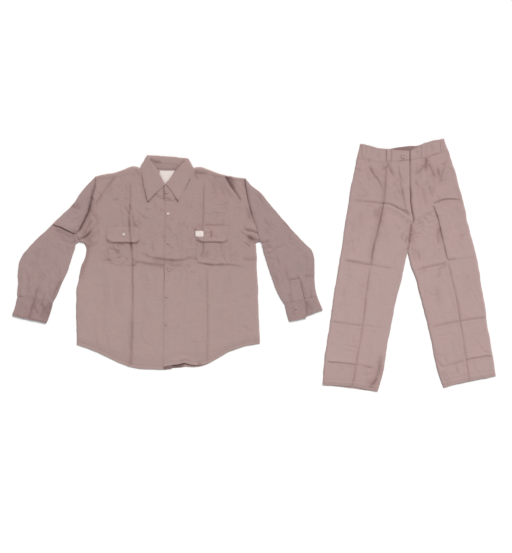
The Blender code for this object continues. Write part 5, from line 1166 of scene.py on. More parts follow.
# -------------------------------------------------------------------- collar
COLLAR_LEAF = table("sx sy rx ry ex ey zs zi zo ze",
    (164.2, 185.6, 165.8, 184.0, 147.6, 201.3, 7.0, 7.1, 8.8, 7.6),
    (161.4, 182.2, 163.0, 180.4, 146.2, 195.6, 7.0, 7.1, 8.9, 6.9),
    (159.2, 178.8, 160.7, 176.4, 145.0, 190.2, 7.1, 7.2, 9.0, 6.7),
    (154.4, 171.0, 156.0, 168.6, 142.7, 178.8, 7.2, 7.3, 9.2, 6.6),
    (151.6, 166.0, 152.6, 163.2, 141.0, 172.0, 7.3, 7.4, 9.2, 6.4),
    (150.6, 162.6, 149.5, 158.2, 140.2, 168.2, 7.2, 7.3, 8.6, 6.0),
    (151.2, 161.8, 147.4, 155.0, 140.4, 166.2, 6.7, 6.9, 6.8, 3.6),
    (153.6, 162.4, 149.4, 155.1, 144.0, 166.6, 5.7, 6.5, 2.8, 0.9),
    (160.0, 162.9, 158.0, 155.8, 155.0, 167.0, 5.55, 6.4, 2.5, 0.9),
    (167.6, 163.4, 167.6, 156.7, 167.6, 167.3, 5.55, 6.4, 2.5, 0.9),
    (175.0, 164.2, 177.0, 157.5, 180.0, 167.8, 5.55, 6.4, 2.5, 0.9),
    (181.4, 165.2, 185.6, 158.1, 189.4, 168.0, 5.7, 6.5, 2.8, 0.9),
    (183.4, 165.4, 188.2, 158.8, 193.2, 167.0, 6.9, 7.1, 6.8, 3.6),
    (183.2, 166.2, 185.8, 161.6, 194.0, 169.2, 7.8, 7.9, 9.2, 6.3),
    (180.8, 168.6, 181.0, 164.6, 193.0, 173.2, 7.9, 8.0, 9.7, 5.8),
    (177.2, 172.6, 176.0, 169.8, 190.2, 177.8, 7.9, 8.0, 9.7, 5.65),
    (172.6, 179.2, 171.0, 176.8, 186.2, 187.0, 7.9, 8.0, 9.7, 5.65),
    (170.2, 182.4, 168.6, 180.2, 182.0, 194.0, 7.9, 8.0, 9.6, 6.1),
    (167.4, 185.4, 165.7, 183.3, 178.1, 201.2, 7.9, 8.0, 9.5, 7.7))
COLLAR_STAND = table("bx by tx ty zb zt",
    (170.6, 200.9, 168.6, 188.4, 3.9, 5.0), (164.6, 200.2, 163.0, 186.0, 4.7, 5.7),
    (157.4, 195.6, 159.3, 180.8, 4.85, 6.3), (150.4, 188.0, 154.8, 172.6, 4.9, 6.4),
    (146.4, 179.2, 152.6, 167.6, 5.0, 6.5), (144.9, 172.6, 151.4, 164.4, 5.2, 6.4),
    (145.3, 169.6, 152.2, 162.4, 4.4, 5.8), (149.0, 169.3, 155.0, 161.9, 1.8, 5.3),
    (156.0, 169.2, 160.4, 162.2, 1.6, 5.2), (167.3, 169.4, 167.6, 162.7, 1.6, 5.2),
    (177.0, 169.8, 174.4, 163.4, 1.6, 5.2), (184.4, 170.4, 179.8, 164.4, 1.8, 5.3),
    (188.4, 171.2, 181.8, 165.6, 4.6, 5.8), (188.7, 174.2, 182.0, 167.4, 5.8, 6.8),
    (187.6, 180.8, 179.4, 171.4, 5.2, 6.9), (184.0, 189.4, 174.8, 177.6, 5.1, 7.0),
    (178.4, 196.4, 170.6, 182.6, 5.2, 7.1), (171.6, 201.0, 167.2, 184.3, 5.6, 7.2),
    (164.9, 200.2, 164.6, 184.9, 5.75, 7.2))


COLLAR_CREASES = [
    groove([(149.8, 159.4), (153.0, 160.6), (157.6, 161.8), (164.0, 162.6)], 0.9, 0.8, fade=(0.05, 0.4), dark=1.2),
    groove([(180.6, 164.4), (177.6, 168.4), (174.6, 172.6)], 0.9, 0.6, fade=(0.2, 0.3), dark=0.55),
    groove([(185.2, 159.6), (182.0, 162.6), (179.6, 165.6)], 0.8, 0.7, fade=(0.2, 0.3), dark=0.6),
    groove([(146.6, 199.4), (147.8, 201.2), (150.0, 199.6)], 0.8, 0.4, fade=(0.3, 0.3), dark=0.7),
    groove([(176.6, 199.0), (178.0, 200.8), (179.0, 198.6)], 0.8, 0.4, fade=(0.3, 0.3), dark=0.7),
]


def build_collar_leaf():
    ctrl = []
    for s in COLLAR_LEAF:
        seam, roll, edge = (np.array((s[a], s[b])) for a, b in (("sx", "sy"), ("rx", "ry"), ("ex", "ey")))
        zs, zi, zo, ze = (s[k] for k in ("zs", "zi", "zo", "ze"))
        at = lambda p, q, t, z: (*(p + (q - p) * t), z / 4)
        ctrl.append([at(seam, roll, 0, zs), at(seam, roll, 0.72, zi), at(roll, roll, 0, (zi + zo) / 2),
                     at(roll, edge, 0.05, zo), at(roll, edge, 0.28, zo * 0.8 + ze * 0.2), at(roll, edge, 0.62, zo * 0.42 + ze * 0.58),
                     at(roll, edge, 1, ze)])
    C = np.array(ctrl)
    su = stations([C[:, 2], C[:, 6]], 0.55)
    sv = np.concatenate([np.linspace(0, 1, 5)[:-1], np.linspace(1, 3, 9)[:-1], np.linspace(3, 4, 9)[:-1],
                         np.linspace(4, 5, 12)[:-1], np.linspace(5, 6, 13)])
    cols = np.stack([curve(c, sv, spatial=True) for c in C])
    P = np.stack([curve(cols[:, j], su, corners={6, 12}) for j in range(len(sv))], 1)
    P[..., 2] *= 4
    nz = 0.18 * Noise(91, 8.0)(P[..., 0], P[..., 1]) + 0.1 * Noise(92, 3.5)(P[..., 0], P[..., 1])
    free = smooth((sv[None, :] - 3.2) / 1.2)
    P[..., 2] += nz * free
    # points of the collar lift a little; stitched 1.5 steps in from the edge
    e = np.linalg.norm(P[:, :, :2] - P[:, -1:, :2], axis=2)
    ends = np.minimum(np.linalg.norm(P[..., :2] - P[:1, :, :2], axis=2), np.linalg.norm(P[..., :2] - P[-1:, :, :2], axis=2))
    outline = np.minimum(e, ends)
    mark = np.exp(-((outline - 1.5) / 0.35) ** 2) * (sv[None, :] > 3.05)
    P[..., 2] -= 0.20 * mark + 0.35 * np.exp(-(outline / 0.35) ** 2) * free
    c = relief(COLLAR_CREASES, [], P[..., 0], P[..., 1])
    inner = np.ones((len(su), len(sv))) * (P[..., 2] > 4.6)
    P[..., 2] += 0.6 * c[0] * inner * smooth((sv[None, :] - 0.3) / 0.4)
    right_edge = 1 - 0.75 * smooth((su - 12.5) / 1.0)[:, None] * (e <= ends)
    # painted shade: over the leaf, in the stitch line and along the outline, less on the right leaf's outer edge where
    # the light falls
    shade = 0.08 + 0.16 * mark * right_edge + 0.10 * np.exp(-(outline / 0.5) ** 2) * free * right_edge + c[3] * inner
    uv = np.stack(np.meshgrid(sv * 9 * STEP, su * 8 * STEP), -1)
    return panel("shirt_collar_leaf_cloth", P, SHIRT, uv=uv, shade=np.clip(shade, 0, 1.7), under=1, by_normal=True, thick=0.7)


def build_collar_stand():
    b, t = xy(COLLAR_STAND, "bx", "by"), xy(COLLAR_STAND, "tx", "ty")
    zb, zt = np.array([s["zb"] for s in COLLAR_STAND]), np.array([s["zt"] for s in COLLAR_STAND])
    su = stations([b, t], 0.6)
    Bc = curve(np.column_stack([b, zb]), su)
    Tc = curve(np.column_stack([t, zt]), su)
    v = np.linspace(0, 1, 17)[None, :, None]
    P = Bc[:, None] + (Tc - Bc)[:, None] * v
    vv = v[..., 0]
    P[..., 2] += 0.35 * np.sin(math.pi * vv) - 0.15 * np.exp(-((vv - 0.12) / 0.04) ** 2)
    P[..., 2] += 0.5 * smooth(vv / 0.16) - 0.5
    # rounded upper corner at the over end
    last = smooth((su - (len(COLLAR_STAND) - 1.45)) / 0.45)[:, None]
    P[..., 1] += last * smooth((vv - 0.55) / 0.45) * 0.5
    # painted shade over the stand and in its stitch line, and painted shadow beside the over end
    shade = 0.10 + 0.10 * np.exp(-((vv - 0.12) / 0.05) ** 2) * np.ones((len(su), 1))
    c = relief(COLLAR_CREASES[:3] + [
        groove([(163.7, 187.0), (163.9, 192.0), (164.4, 199.4)], 0.6, 0.2, fade=(0.1, 0.0), dark=0.9),
        groove([(164.6, 199.2), (167.6, 198.4), (169.6, 199.8), (172.4, 201.6)], 0.6, 0.2, fade=(0.1, 0.2), dark=0.55)], [], P[..., 0], P[..., 1])
    shade = shade + c[3]
    uv = np.stack(np.meshgrid(np.linspace(0, 1, 17) * 0.035, su * 8 * STEP), -1)
    return panel("shirt_collar_stand_cloth", P, SHIRT, uv=uv, shade=shade, under=1, by_normal=True, thick=0.9)


# ------------------------------------------------------- pockets, flaps, tabs
def patch(rows, lift, corners, over, spacing=0.6):
    """Plan, height, shade and edge distances of a piece sewn on a front: rows of
    (left x, left y, right x, right y)."""
    a = np.array([(r[0], r[1]) for r in rows], float)
    b = np.array([(r[2], r[3]) for r in rows], float)
    su = stations([a, b], spacing)
    A, B = curve(a, su, corners), curve(b, su, corners)
    nv = 2 * round(np.linalg.norm(b - a, axis=1).max() / spacing / 2) + 1
    t = np.linspace(0, 1, nv)[None, :, None]
    T = A[:, None] + (B - A)[:, None] * t
    X, Y = T[..., 0], T[..., 1]
    rel = body_relief(X, Y)
    z = front_height(X, Y, over, rel[0]) + lift
    da = np.linalg.norm(T - T[:, :1], axis=2)
    db = np.linalg.norm(T - T[:, -1:], axis=2)
    dt = np.linalg.norm(T - T[:1], axis=2)
    du = np.linalg.norm(T - T[-1:], axis=2)
    return T, z, rel[3], (da, db, dt, du)


POCKET_ROWS_RIGHT = [(107.0, 230.5, 137.6, 230.5), (107.0, 240.0, 137.6, 240.0), (107.2, 250.0, 137.6, 250.0),
                     (107.4, 258.0, 137.5, 258.0), (107.6, 261.2, 137.4, 261.6), (111.6, 263.6, 133.6, 264.4), (116.4, 265.8, 129.6, 265.8)]
POCKET_ROWS_LEFT = [(195.6, 230.5, 231.2, 230.5), (195.6, 240.0, 231.2, 240.0), (195.6, 250.0, 231.2, 250.0),
                    (195.6, 257.0, 231.2, 258.0), (195.8, 260.2, 231.2, 262.4), (198.8, 261.8, 228.4, 264.6), (203.4, 263.2, 224.4, 265.9)]
FLAP_ROWS_RIGHT = [(106.2, 226.0, 139.4, 225.6), (106.0, 231.0, 139.4, 230.6), (105.7, 236.6, 139.4, 236.4),
                   (106.6, 238.6, 139.2, 239.8), (109.0, 240.6, 137.6, 241.2), (111.6, 242.2, 135.4, 242.6)]
FLAP_ROWS_LEFT = [(195.4, 225.4, 228.4, 225.4), (195.2, 231.0, 228.6, 231.0), (195.4, 236.6, 228.6, 236.8),
                  (196.6, 238.8, 227.8, 238.8), (199.0, 240.4, 226.2, 240.6), (202.6, 241.6, 223.8, 242.0)]


def build_pocket(name, rows, over):
    T, z, shade, (da, db, dt, du) = patch(rows, 0.58, {3}, over)
    e = np.minimum(np.minimum(da, db), du)
    z = z + 0.2 * smooth(e / 4) - 0.12 * np.exp(-((e - 1.1) / 0.4) ** 2) - 0.2 * np.exp(-(e / 0.6) ** 2)
    z = z + 0.2 * Noise(101 if over else 102, 5.0)(T[..., 0], T[..., 1]) * smooth(e / 3)
    # painted shade in the stitch line
    shade = shade + 0.12 * np.exp(-((e - 1.1) / 0.45) ** 2)
    if not over:
        c = relief([groove([(108.6, 247.6), (112.6, 249.8), (117.0, 251.6), (122.4, 253.8)], 0.9, 1.0, fade=(0.15, 0.4), dark=0.5),
                    groove([(114.0, 245.6), (121.0, 245.0), (129.0, 245.8)], 0.9, 0.5, fade=(0.3, 0.4), dark=0.25)],
                   [], T[..., 0], T[..., 1])
        z, shade = z + c[0], shade + c[3]
    return panel(name, np.concatenate([T, z[..., None]], -1), SHIRT, shade=np.clip(shade, 0, 1.7), thick=0.4)


def build_flap(name, rows, over):
    T, z, shade, (da, db, dt, du) = patch(rows, 1.75, {2}, over)
    e = np.minimum(np.minimum(da, db), du)
    z = z - 0.75 * np.exp(-(dt / 1.2) ** 2)
    z = z + 0.3 * smooth(dt / 10) + 1.3 * smooth((3.5 - du) / 3.5) * smooth(np.minimum(da, db) / 5) + 0.2 * Noise(111 if over else 112, 5.0)(T[..., 0], T[..., 1])
    z = z - 0.45 * np.exp(-(np.minimum(da, db) / 1.5) ** 2)
    z = z - 0.18 * np.exp(-((e - 1.1) / 0.4) ** 2) - 0.35 * np.exp(-(e / 0.45) ** 2)
    z = z - 0.16 * np.exp(-((dt - 1.4) / 0.4) ** 2)
    # painted shade along the sewn top edge and in the stitch lines
    shade = (0.7 * shade + 0.18 * np.exp(-((e - 1.1) / 0.45) ** 2) + 0.3 * np.exp(-(dt / 0.8) ** 2)
             + 0.12 * np.exp(-((dt - 1.4) / 0.4) ** 2))
    if over:
        # painted shade in the buttonhole's slit
        c = relief([groove([(211.2, 230.6), (211.2, 234.0), (211.2, 237.6)], 0.45, 0.7, fade=(0.1, 0.1), dark=1.0)], [], T[..., 0], T[..., 1])
        z, shade = z + c[0], shade + c[3]
    return panel(name, np.concatenate([T, z[..., None]], -1), SHIRT, shade=np.clip(shade, 0, 1.7), thick=0.7)


def flat_piece(name, corners, z_of, mat, thick=0.5, spacing=0.5, crown=0.0):
    (x0, y0), (x1, y1) = corners
    nx, ny = 2 * round((x1 - x0) / spacing / 2) + 1, 2 * round((y1 - y0) / spacing / 2) + 1
    X, Y = np.meshgrid(np.linspace(x0, x1, nx), np.linspace(y0, y1, ny))
    z = z_of(X, Y)
    ex = np.minimum(X - x0, x1 - X)
    ey = np.minimum(Y - y0, y1 - Y)
    e = np.minimum(ex, ey)
    z = z + crown * smooth(e / 3) - 0.25 * np.exp(-(e / 0.3) ** 2)
    # painted shade in a thin line just inside the edges
    return panel(name, np.stack([X, Y, z], -1), mat, thick=thick, shade=0.1 * np.exp(-((e - 0.6) / 0.25) ** 2))


# ------------------------------------------------------------------ trousers
LEG_RIGHT = table("ax ay kx ky bx by",
    (356.7, 158.6, 384.6, 163.2, 408.9, 160.6), (355.2, 168.0, 385.6, 170.0, 409.0, 168.8), (352.8, 178.0, 385.2, 180.0, 409.1, 178.6),
    (350.9, 188.0, 384.8, 189.6, 409.3, 188.8), (349.2, 199.4, 383.4, 201.2, 409.9, 201.0), (347.4, 210.4, 381.4, 212.0, 411.2, 211.0),
    (345.4, 221.2, 379.0, 221.8, 412.8, 221.3), (343.9, 232.0, 376.4, 232.0, 411.4, 231.5), (342.8, 241.4, 374.4, 241.6, 409.6, 241.0),
    (341.3, 251.8, 372.4, 252.4, 407.4, 252.3), (339.4, 262.6, 370.6, 264.6, 404.6, 264.6), (336.9, 276.6, 368.4, 278.8, 401.9, 279.0),
    (334.1, 293.6, 366.0, 295.0, 397.4, 295.4), (331.6, 310.6, 364.2, 312.0, 393.7, 312.2), (329.6, 325.0, 362.6, 326.4, 391.0, 327.0),
    (327.2, 341.0, 360.0, 342.6, 387.4, 343.0), (324.9, 356.0, 357.2, 359.0, 385.2, 360.4), (323.6, 370.0, 354.6, 372.4, 382.7, 374.4),
    (322.7, 384.9, 352.2, 386.7, 377.5, 391.8))
LEG_LEFT = table("ax ay kx ky bx by",
    (449.2, 151.4, 427.6, 157.2, 402.0, 161.0), (451.9, 161.4, 428.4, 165.8, 402.2, 168.8), (455.4, 171.6, 430.4, 176.0, 402.5, 178.6),
    (458.2, 183.0, 432.4, 187.4, 402.9, 188.8), (462.1, 196.0, 434.0, 202.4, 403.4, 200.6), (465.0, 207.6, 436.0, 211.2, 404.4, 211.0),
    (466.6, 216.0, 437.8, 218.4, 405.2, 218.6), (466.9, 218.6, 438.4, 220.0, 413.0, 220.2), (470.3, 231.8, 441.4, 232.6, 411.6, 231.5),
    (472.7, 241.4, 443.8, 242.0, 409.8, 241.0), (475.2, 251.2, 446.0, 253.0, 407.6, 252.3), (477.6, 261.4, 448.0, 263.4, 411.4, 267.2),
    (480.0, 276.6, 451.4, 278.0, 415.8, 279.0), (482.4, 291.4, 454.8, 292.8, 419.6, 294.0), (484.9, 305.4, 457.4, 307.0, 423.4, 307.6),
    (486.6, 320.0, 459.4, 322.6, 428.2, 327.4), (489.7, 336.0, 462.2, 338.6, 431.4, 340.0), (492.2, 352.0, 464.6, 355.0, 434.6, 358.0),
    (494.5, 366.0, 467.0, 370.0, 438.6, 375.0), (496.1, 376.2, 469.3, 381.4, 443.3, 387.5))
FLY_EDGE = table("y x", (150.0, 408.9), (160.6, 408.9), (178.6, 409.1), (188.8, 409.3), (201.0, 409.9), (211.0, 411.2), (221.3, 412.8))

TROUSER_CREASES = [
    # pressed front creases: a ridge with a narrow dip on its inner side
    ridge([(386.4, 165.0), (385.8, 171.0), (384.8, 186.0), (383.6, 200.0)], 1.4, 0.5, fade=(0.2, 0.1)),
    groove([(386.6, 164.0), (386.0, 171.0), (385.2, 186.0), (384.1, 202.6)], 0.8, 1.0, fade=(0.1, 0.0), dark=0.45),
    groove([(386.2, 170.0), (384.6, 186.0), (382.4, 204.0)], 2.0, 0.5, fade=(0.4, 0.1), dark=0.2, sharp=0.1),
    step([(384.0, 202.6), (382.2, 213.0), (379.4, 226.0), (375.8, 240.0), (372.8, 254.0), (370.0, 272.0)], "right", 1.2, 1.3,
         fade=(0.03, 0.3), reach=7.0, trough=0.9, dark=0.6, lip=0.4),
    groove([(370.8, 262.0), (367.4, 286.0), (364.6, 308.0), (362.6, 325.0), (360.0, 342.0), (357.3, 356.0), (352.3, 386.5)], 0.85, 1.25,
           fade=(0.15, 0.0), dark=0.55),
    ridge([(368.6, 262.0), (365.2, 286.0), (362.4, 308.0), (357.8, 342.0), (350.2, 386.0)], 1.6, 0.5, fade=(0.2, 0.0)),
    groove([(382.4, 205.0), (381.0, 218.0), (378.2, 232.0), (374.6, 248.0)], 2.4, 1.1, fade=(0.1, 0.3), dark=0.42, sharp=0.1),
    groove([(376.0, 207.6), (374.8, 214.0), (375.2, 222.0)], 1.8, 0.7, fade=(0.3, 0.4), dark=0.3, sharp=0.1),
    groove([(375.2, 240.0), (373.0, 253.0), (370.6, 268.0)], 1.1, 0.7, fade=(0.3, 0.15), dark=0.5),
    groove([(362.0, 208.0), (360.6, 222.0), (358.6, 236.0)], 2.8, 0.55, fade=(0.4, 0.5), dark=0.16, sharp=0.1),
    groove([(355.0, 214.0), (352.6, 230.0), (350.0, 246.0)], 2.4, 0.5, fade=(0.4, 0.5), dark=0.12, sharp=0.1),
    groove([(379.6, 206.6), (377.6, 213.6), (376.0, 220.0)], 1.2, 0.6, fade=(0.3, 0.4), dark=0.25, sharp=0.3),
    step([(433.2, 204.0), (435.4, 210.0), (437.2, 216.0), (440.0, 226.0), (442.6, 238.0), (445.2, 249.0), (447.8, 262.6)], "right", 1.2,
         1.4, fade=(0.06, 0.08), reach=7.0, trough=1.1, dark=0.3, lip=0.4),
    groove([(433.6, 204.6), (435.8, 211.0), (437.8, 218.0), (440.0, 226.6)], 0.9, 0.5, fade=(0.1, 0.2), dark=0.42),
    groove([(447.8, 261.0), (452.0, 280.0), (456.4, 299.0), (460.4, 324.0), (463.4, 342.0), (466.0, 360.0), (469.3, 381.2)], 0.85, 1.2,
           fade=(0.06, 0.0), dark=0.52),
    ridge([(445.8, 262.0), (450.0, 281.0), (454.4, 300.0), (458.2, 324.0), (467.0, 381.0)], 1.6, 0.5, fade=(0.1, 0.0)),
    groove([(440.0, 227.0), (438.2, 231.6), (437.2, 236.0), (438.2, 241.6), (438.6, 247.4)], 1.2, 1.0, fade=(0.1, 0.3), dark=0.42),
    groove([(436.6, 222.0), (439.6, 234.0), (443.0, 247.0)], 2.6, 1.1, fade=(0.3, 0.4), dark=0.25, sharp=0.1),
    groove([(443.0, 243.0), (445.6, 253.0), (446.8, 259.0)], 1.6, 0.7, fade=(0.4, 0.2), dark=0.25, sharp=0.2),
    # folds across from the packing
    groove([(347.4, 200.4), (356.0, 200.8), (366.0, 201.6), (376.0, 202.8), (385.2, 203.6)], 0.8, 1.1, fade=(0.55, 0.0), dark=0.62),
    groove([(382.6, 203.4), (390.0, 204.2), (396.0, 206.9), (402.0, 210.4), (407.0, 213.8), (410.4, 216.4)], 0.8, 1.4, fade=(0.04, 0.15), dark=0.8),
    groove([(403.0, 211.0), (405.8, 210.8), (408.4, 213.4), (408.6, 216.0)], 0.7, 0.6, fade=(0.1, 0.2), dark=0.35),
    ridge([(386.0, 206.0), (394.0, 209.4), (401.0, 213.6), (408.0, 218.0)], 1.8, 1.2, fade=(0.2, 0.2)),
    groove([(343.0, 260.4), (352.0, 261.6), (361.0, 263.2), (370.3, 265.0)], 0.9, 0.9, fade=(0.2, 0.05), dark=0.55),
    groove([(348.0, 262.6), (357.0, 264.2), (366.0, 266.6)], 1.6, 0.6, fade=(0.3, 0.3), dark=0.16, sharp=0.1),
    groove([(370.3, 265.0), (378.0, 266.4), (386.0, 267.6), (396.0, 269.4)], 0.9, 0.75, fade=(0.05, 0.35), dark=0.36),
    groove([(330.0, 321.6), (341.0, 323.2), (352.0, 324.6), (362.6, 325.6)], 0.9, 0.8, fade=(0.15, 0.05), dark=0.4),
    groove([(362.6, 325.8), (374.0, 326.8), (388.0, 327.8)], 0.9, 0.4, fade=(0.05, 0.4), dark=0.15),
    step([(326.4, 361.4), (336.0, 361.8), (347.0, 363.0), (356.0, 364.0)], "up", 0.9, 0.8, fade=(0.1, 0.05), reach=2.6, trough=0.5, dark=0.55),
    groove([(356.0, 364.2), (363.0, 365.8), (370.0, 367.4), (377.0, 368.4)], 0.9, 0.7, fade=(0.05, 0.35), dark=0.4),
    step([(432.8, 203.2), (438.0, 200.8), (445.0, 198.9), (453.0, 198.8), (463.0, 199.6)], "up", 0.9, 0.9, fade=(0.05, 0.3), reach=2.6,
         trough=0.7, dark=0.55),
    groove([(418.6, 270.0), (426.0, 268.0), (435.0, 265.6), (444.0, 263.2), (447.6, 261.6)], 0.9, 0.85, fade=(0.2, 0.1), dark=0.42),
    groove([(417.6, 270.8), (421.0, 268.8), (425.6, 266.2)], 1.1, 0.8, fade=(0.15, 0.2), dark=0.36),
    groove([(422.4, 271.8), (424.4, 270.8), (426.6, 269.0)], 0.8, 0.6, fade=(0.2, 0.3), dark=0.3),
    groove([(447.0, 264.2), (442.0, 267.2), (439.6, 270.0), (439.0, 274.4), (434.6, 279.8)], 1.1, 0.9, fade=(0.05, 0.3), dark=0.36),
    groove([(447.4, 260.0), (451.0, 259.5), (457.0, 259.0)], 1.0, 0.9, fade=(0.05, 0.3), dark=0.45),
    groove([(456.0, 259.0), (466.0, 258.2), (476.6, 258.0)], 0.9, 0.35, fade=(0.2, 0.2), dark=0.14),
    groove([(431.0, 327.6), (440.0, 325.4), (450.0, 323.2), (459.8, 321.4)], 0.9, 0.75, fade=(0.15, 0.05), dark=0.38),
    groove([(459.8, 321.6), (468.0, 319.8), (477.0, 318.6), (486.0, 317.6)], 0.9, 0.85, fade=(0.05, 0.1), dark=0.42),
    groove([(441.0, 367.2), (449.0, 365.0), (457.0, 363.0), (464.6, 360.2)], 0.9, 0.7, fade=(0.3, 0.1), dark=0.35),
    step([(465.4, 359.6), (474.0, 357.4), (484.0, 356.0), (493.4, 355.4)], "up", 0.9, 0.7, fade=(0.05, 0.15), reach=2.4, trough=0.5, dark=0.48),
    groove([(423.6, 214.6), (428.0, 214.4), (433.0, 214.8)], 0.9, 0.6, fade=(0.25, 0.25), dark=0.3),
    groove([(417.0, 223.2), (420.6, 222.8), (424.0, 223.4)], 0.9, 0.5, fade=(0.25, 0.25), dark=0.24),
    groove([(418.3, 247.6), (418.8, 254.0), (418.7, 262.0)], 1.3, 0.7, fade=(0.3, 0.35), dark=0.26),
    groove([(414.0, 244.0), (415.0, 252.0), (417.0, 262.0)], 1.8, 0.5, fade=(0.3, 0.4), dark=0.14, sharp=0.1),
    # pleats and drags below the waistband
    groove([(362.4, 154.0), (366.0, 156.2), (368.2, 160.0), (368.6, 165.4)], 0.9, 0.9, fade=(0.1, 0.3), dark=0.4),
    groove([(368.5, 165.0), (371.0, 170.4), (375.0, 176.6), (379.4, 182.6), (382.6, 188.6), (384.0, 194.0)], 1.0, 1.2, fade=(0.1, 0.3), dark=0.5),
    groove([(369.0, 167.0), (373.0, 174.4), (377.6, 181.2)], 1.6, 0.7, fade=(0.2, 0.4), dark=0.2, sharp=0.2),
    groove([(374.0, 168.0), (379.0, 175.0), (383.6, 181.0)], 1.3, 0.5, fade=(0.3, 0.4), dark=0.14, sharp=0.3),
    groove([(386.6, 161.6), (388.4, 166.4), (391.4, 172.6), (394.4, 178.0)], 1.0, 1.2, fade=(0.05, 0.4), dark=0.48),
    groove([(387.4, 163.0), (392.0, 173.0), (397.0, 183.0)], 2.0, 0.7, fade=(0.1, 0.5), dark=0.12, sharp=0.2),
    groove([(398.0, 164.0), (399.6, 174.0), (401.4, 188.0), (404.6, 203.0), (407.0, 213.6)], 0.6, 0.55, fade=(0.1, 0.05), dark=0.42),
    groove([(401.6, 188.4), (403.0, 192.6), (404.6, 196.6)], 0.9, 0.6, fade=(0.3, 0.3), dark=0.3),
    groove([(392.6, 178.0), (396.6, 190.0), (399.6, 202.0)], 2.0, 0.45, fade=(0.4, 0.4), dark=0.1, sharp=0.1),
    groove([(425.9, 157.6), (425.8, 162.0), (425.7, 168.0), (425.6, 175.0)], 1.2, 1.5, fade=(0.0, 0.35), dark=0.5),
    groove([(425.9, 159.0), (425.8, 165.0), (425.6, 172.0)], 2.0, 0.8, fade=(0.1, 0.4), dark=0.36, sharp=0.1),
    groove([(424.6, 165.0), (421.0, 169.4), (417.4, 173.0), (414.0, 176.0)], 1.2, 1.1, fade=(0.1, 0.35), dark=0.5),
    groove([(428.0, 163.6), (430.6, 168.4), (433.4, 174.8), (435.4, 181.0)], 1.2, 1.3, fade=(0.1, 0.35), dark=0.55),
    groove([(427.0, 158.4), (431.0, 155.8), (436.0, 153.9)], 0.8, 0.9, fade=(0.1, 0.4), dark=0.4),
    groove([(437.0, 166.0), (438.8, 176.0), (438.4, 188.0)], 1.8, 0.7, fade=(0.3, 0.4), dark=0.18, sharp=0.2),
    groove([(444.2, 160.6), (444.1, 167.0), (442.2, 173.6), (440.6, 180.0), (438.4, 188.0)], 0.9, 0.9, fade=(0.2, 0.35), dark=0.38),
    groove([(448.6, 152.0), (449.6, 156.0), (450.0, 161.0)], 0.9, 0.7, fade=(0.1, 0.4), dark=0.35),
    groove([(419.6, 182.0), (422.6, 192.0), (425.6, 203.0), (427.6, 210.0)], 1.3, 0.8, fade=(0.35, 0.35), dark=0.25, sharp=0.3),
    groove([(413.4, 176.0), (416.0, 186.0), (418.6, 200.0)], 1.6, 0.6, fade=(0.35, 0.5), dark=0.12, sharp=0.2),
    groove([(427.6, 184.0), (430.0, 190.6), (432.4, 198.4)], 1.1, 0.9, fade=(0.35, 0.2), dark=0.3, sharp=0.3),
    groove([(412.2, 222.0), (411.6, 226.0), (411.0, 230.0), (410.6, 234.0)], 1.8, 0.9, fade=(0.0, 0.25), dark=0.42, sharp=0.1),
    groove([(411.4, 224.0), (410.2, 231.5), (409.4, 239.0), (408.2, 245.0), (406.9, 250.6)], 0.9, 1.3, fade=(0.05, 0.0), dark=0.55),
    groove([(410.4, 232.0), (409.6, 238.0), (408.9, 243.6)], 1.5, 0.6, fade=(0.2, 0.3), dark=0.4, sharp=0.1),
    groove([(413.6, 226.0), (412.8, 236.0), (410.6, 248.0)], 1.8, 0.9, fade=(0.3, 0.3), dark=0.25, sharp=0.2),
    # soft hollows in the legs
    groove([(348.0, 232.0), (346.0, 250.0), (344.0, 268.0)], 2.6, 0.5, fade=(0.4, 0.5), dark=0.07, sharp=0.1),
    groove([(388.0, 225.0), (386.0, 240.0), (386.6, 256.0)], 3.0, 0.5, fade=(0.4, 0.5), dark=0.06, sharp=0.1),
    groove([(346.0, 280.0), (344.6, 296.0), (343.6, 312.0)], 2.6, 0.4, fade=(0.4, 0.5), dark=0.06, sharp=0.1),
    groove([(382.0, 288.0), (380.6, 300.0), (378.6, 314.0)], 2.8, 0.4, fade=(0.4, 0.5), dark=0.06, sharp=0.1),
    groove([(381.2, 352.0), (379.8, 366.0), (376.0, 378.0), (371.6, 388.6)], 1.7, 0.9, fade=(0.2, 0.0), dark=0.42, sharp=0.2),
    groove([(377.6, 377.6), (374.8, 381.6), (370.6, 385.0), (369.4, 389.0)], 1.1, 0.7, fade=(0.2, 0.1), dark=0.5, sharp=0.3),
    groove([(432.0, 342.0), (436.6, 358.0), (441.0, 372.0)], 2.0, 0.6, fade=(0.4, 0.4), dark=0.15, sharp=0.2),
    groove([(441.0, 370.0), (444.0, 378.0), (448.0, 385.0)], 1.2, 0.6, fade=(0.4, 0.1), dark=0.25, sharp=0.3),
    groove([(472.0, 262.0), (474.0, 280.0), (476.0, 300.0)], 2.6, 0.45, fade=(0.4, 0.5), dark=0.06, sharp=0.1),
    groove([(432.0, 282.0), (436.0, 298.0), (440.0, 314.0)], 2.8, 0.45, fade=(0.4, 0.5), dark=0.06, sharp=0.1),
    groove([(456.0, 212.0), (459.0, 228.0), (464.0, 244.0)], 2.8, 0.45, fade=(0.4, 0.5), dark=0.06, sharp=0.1),
]
TROUSER_NOISE = [(0.30, Noise(21, 16.0)), (0.17, Noise(22, 7.0)), (0.08, Noise(23, 3.0)), (0.12, Noise(24, 5.0, (0.7, 3.0)))]
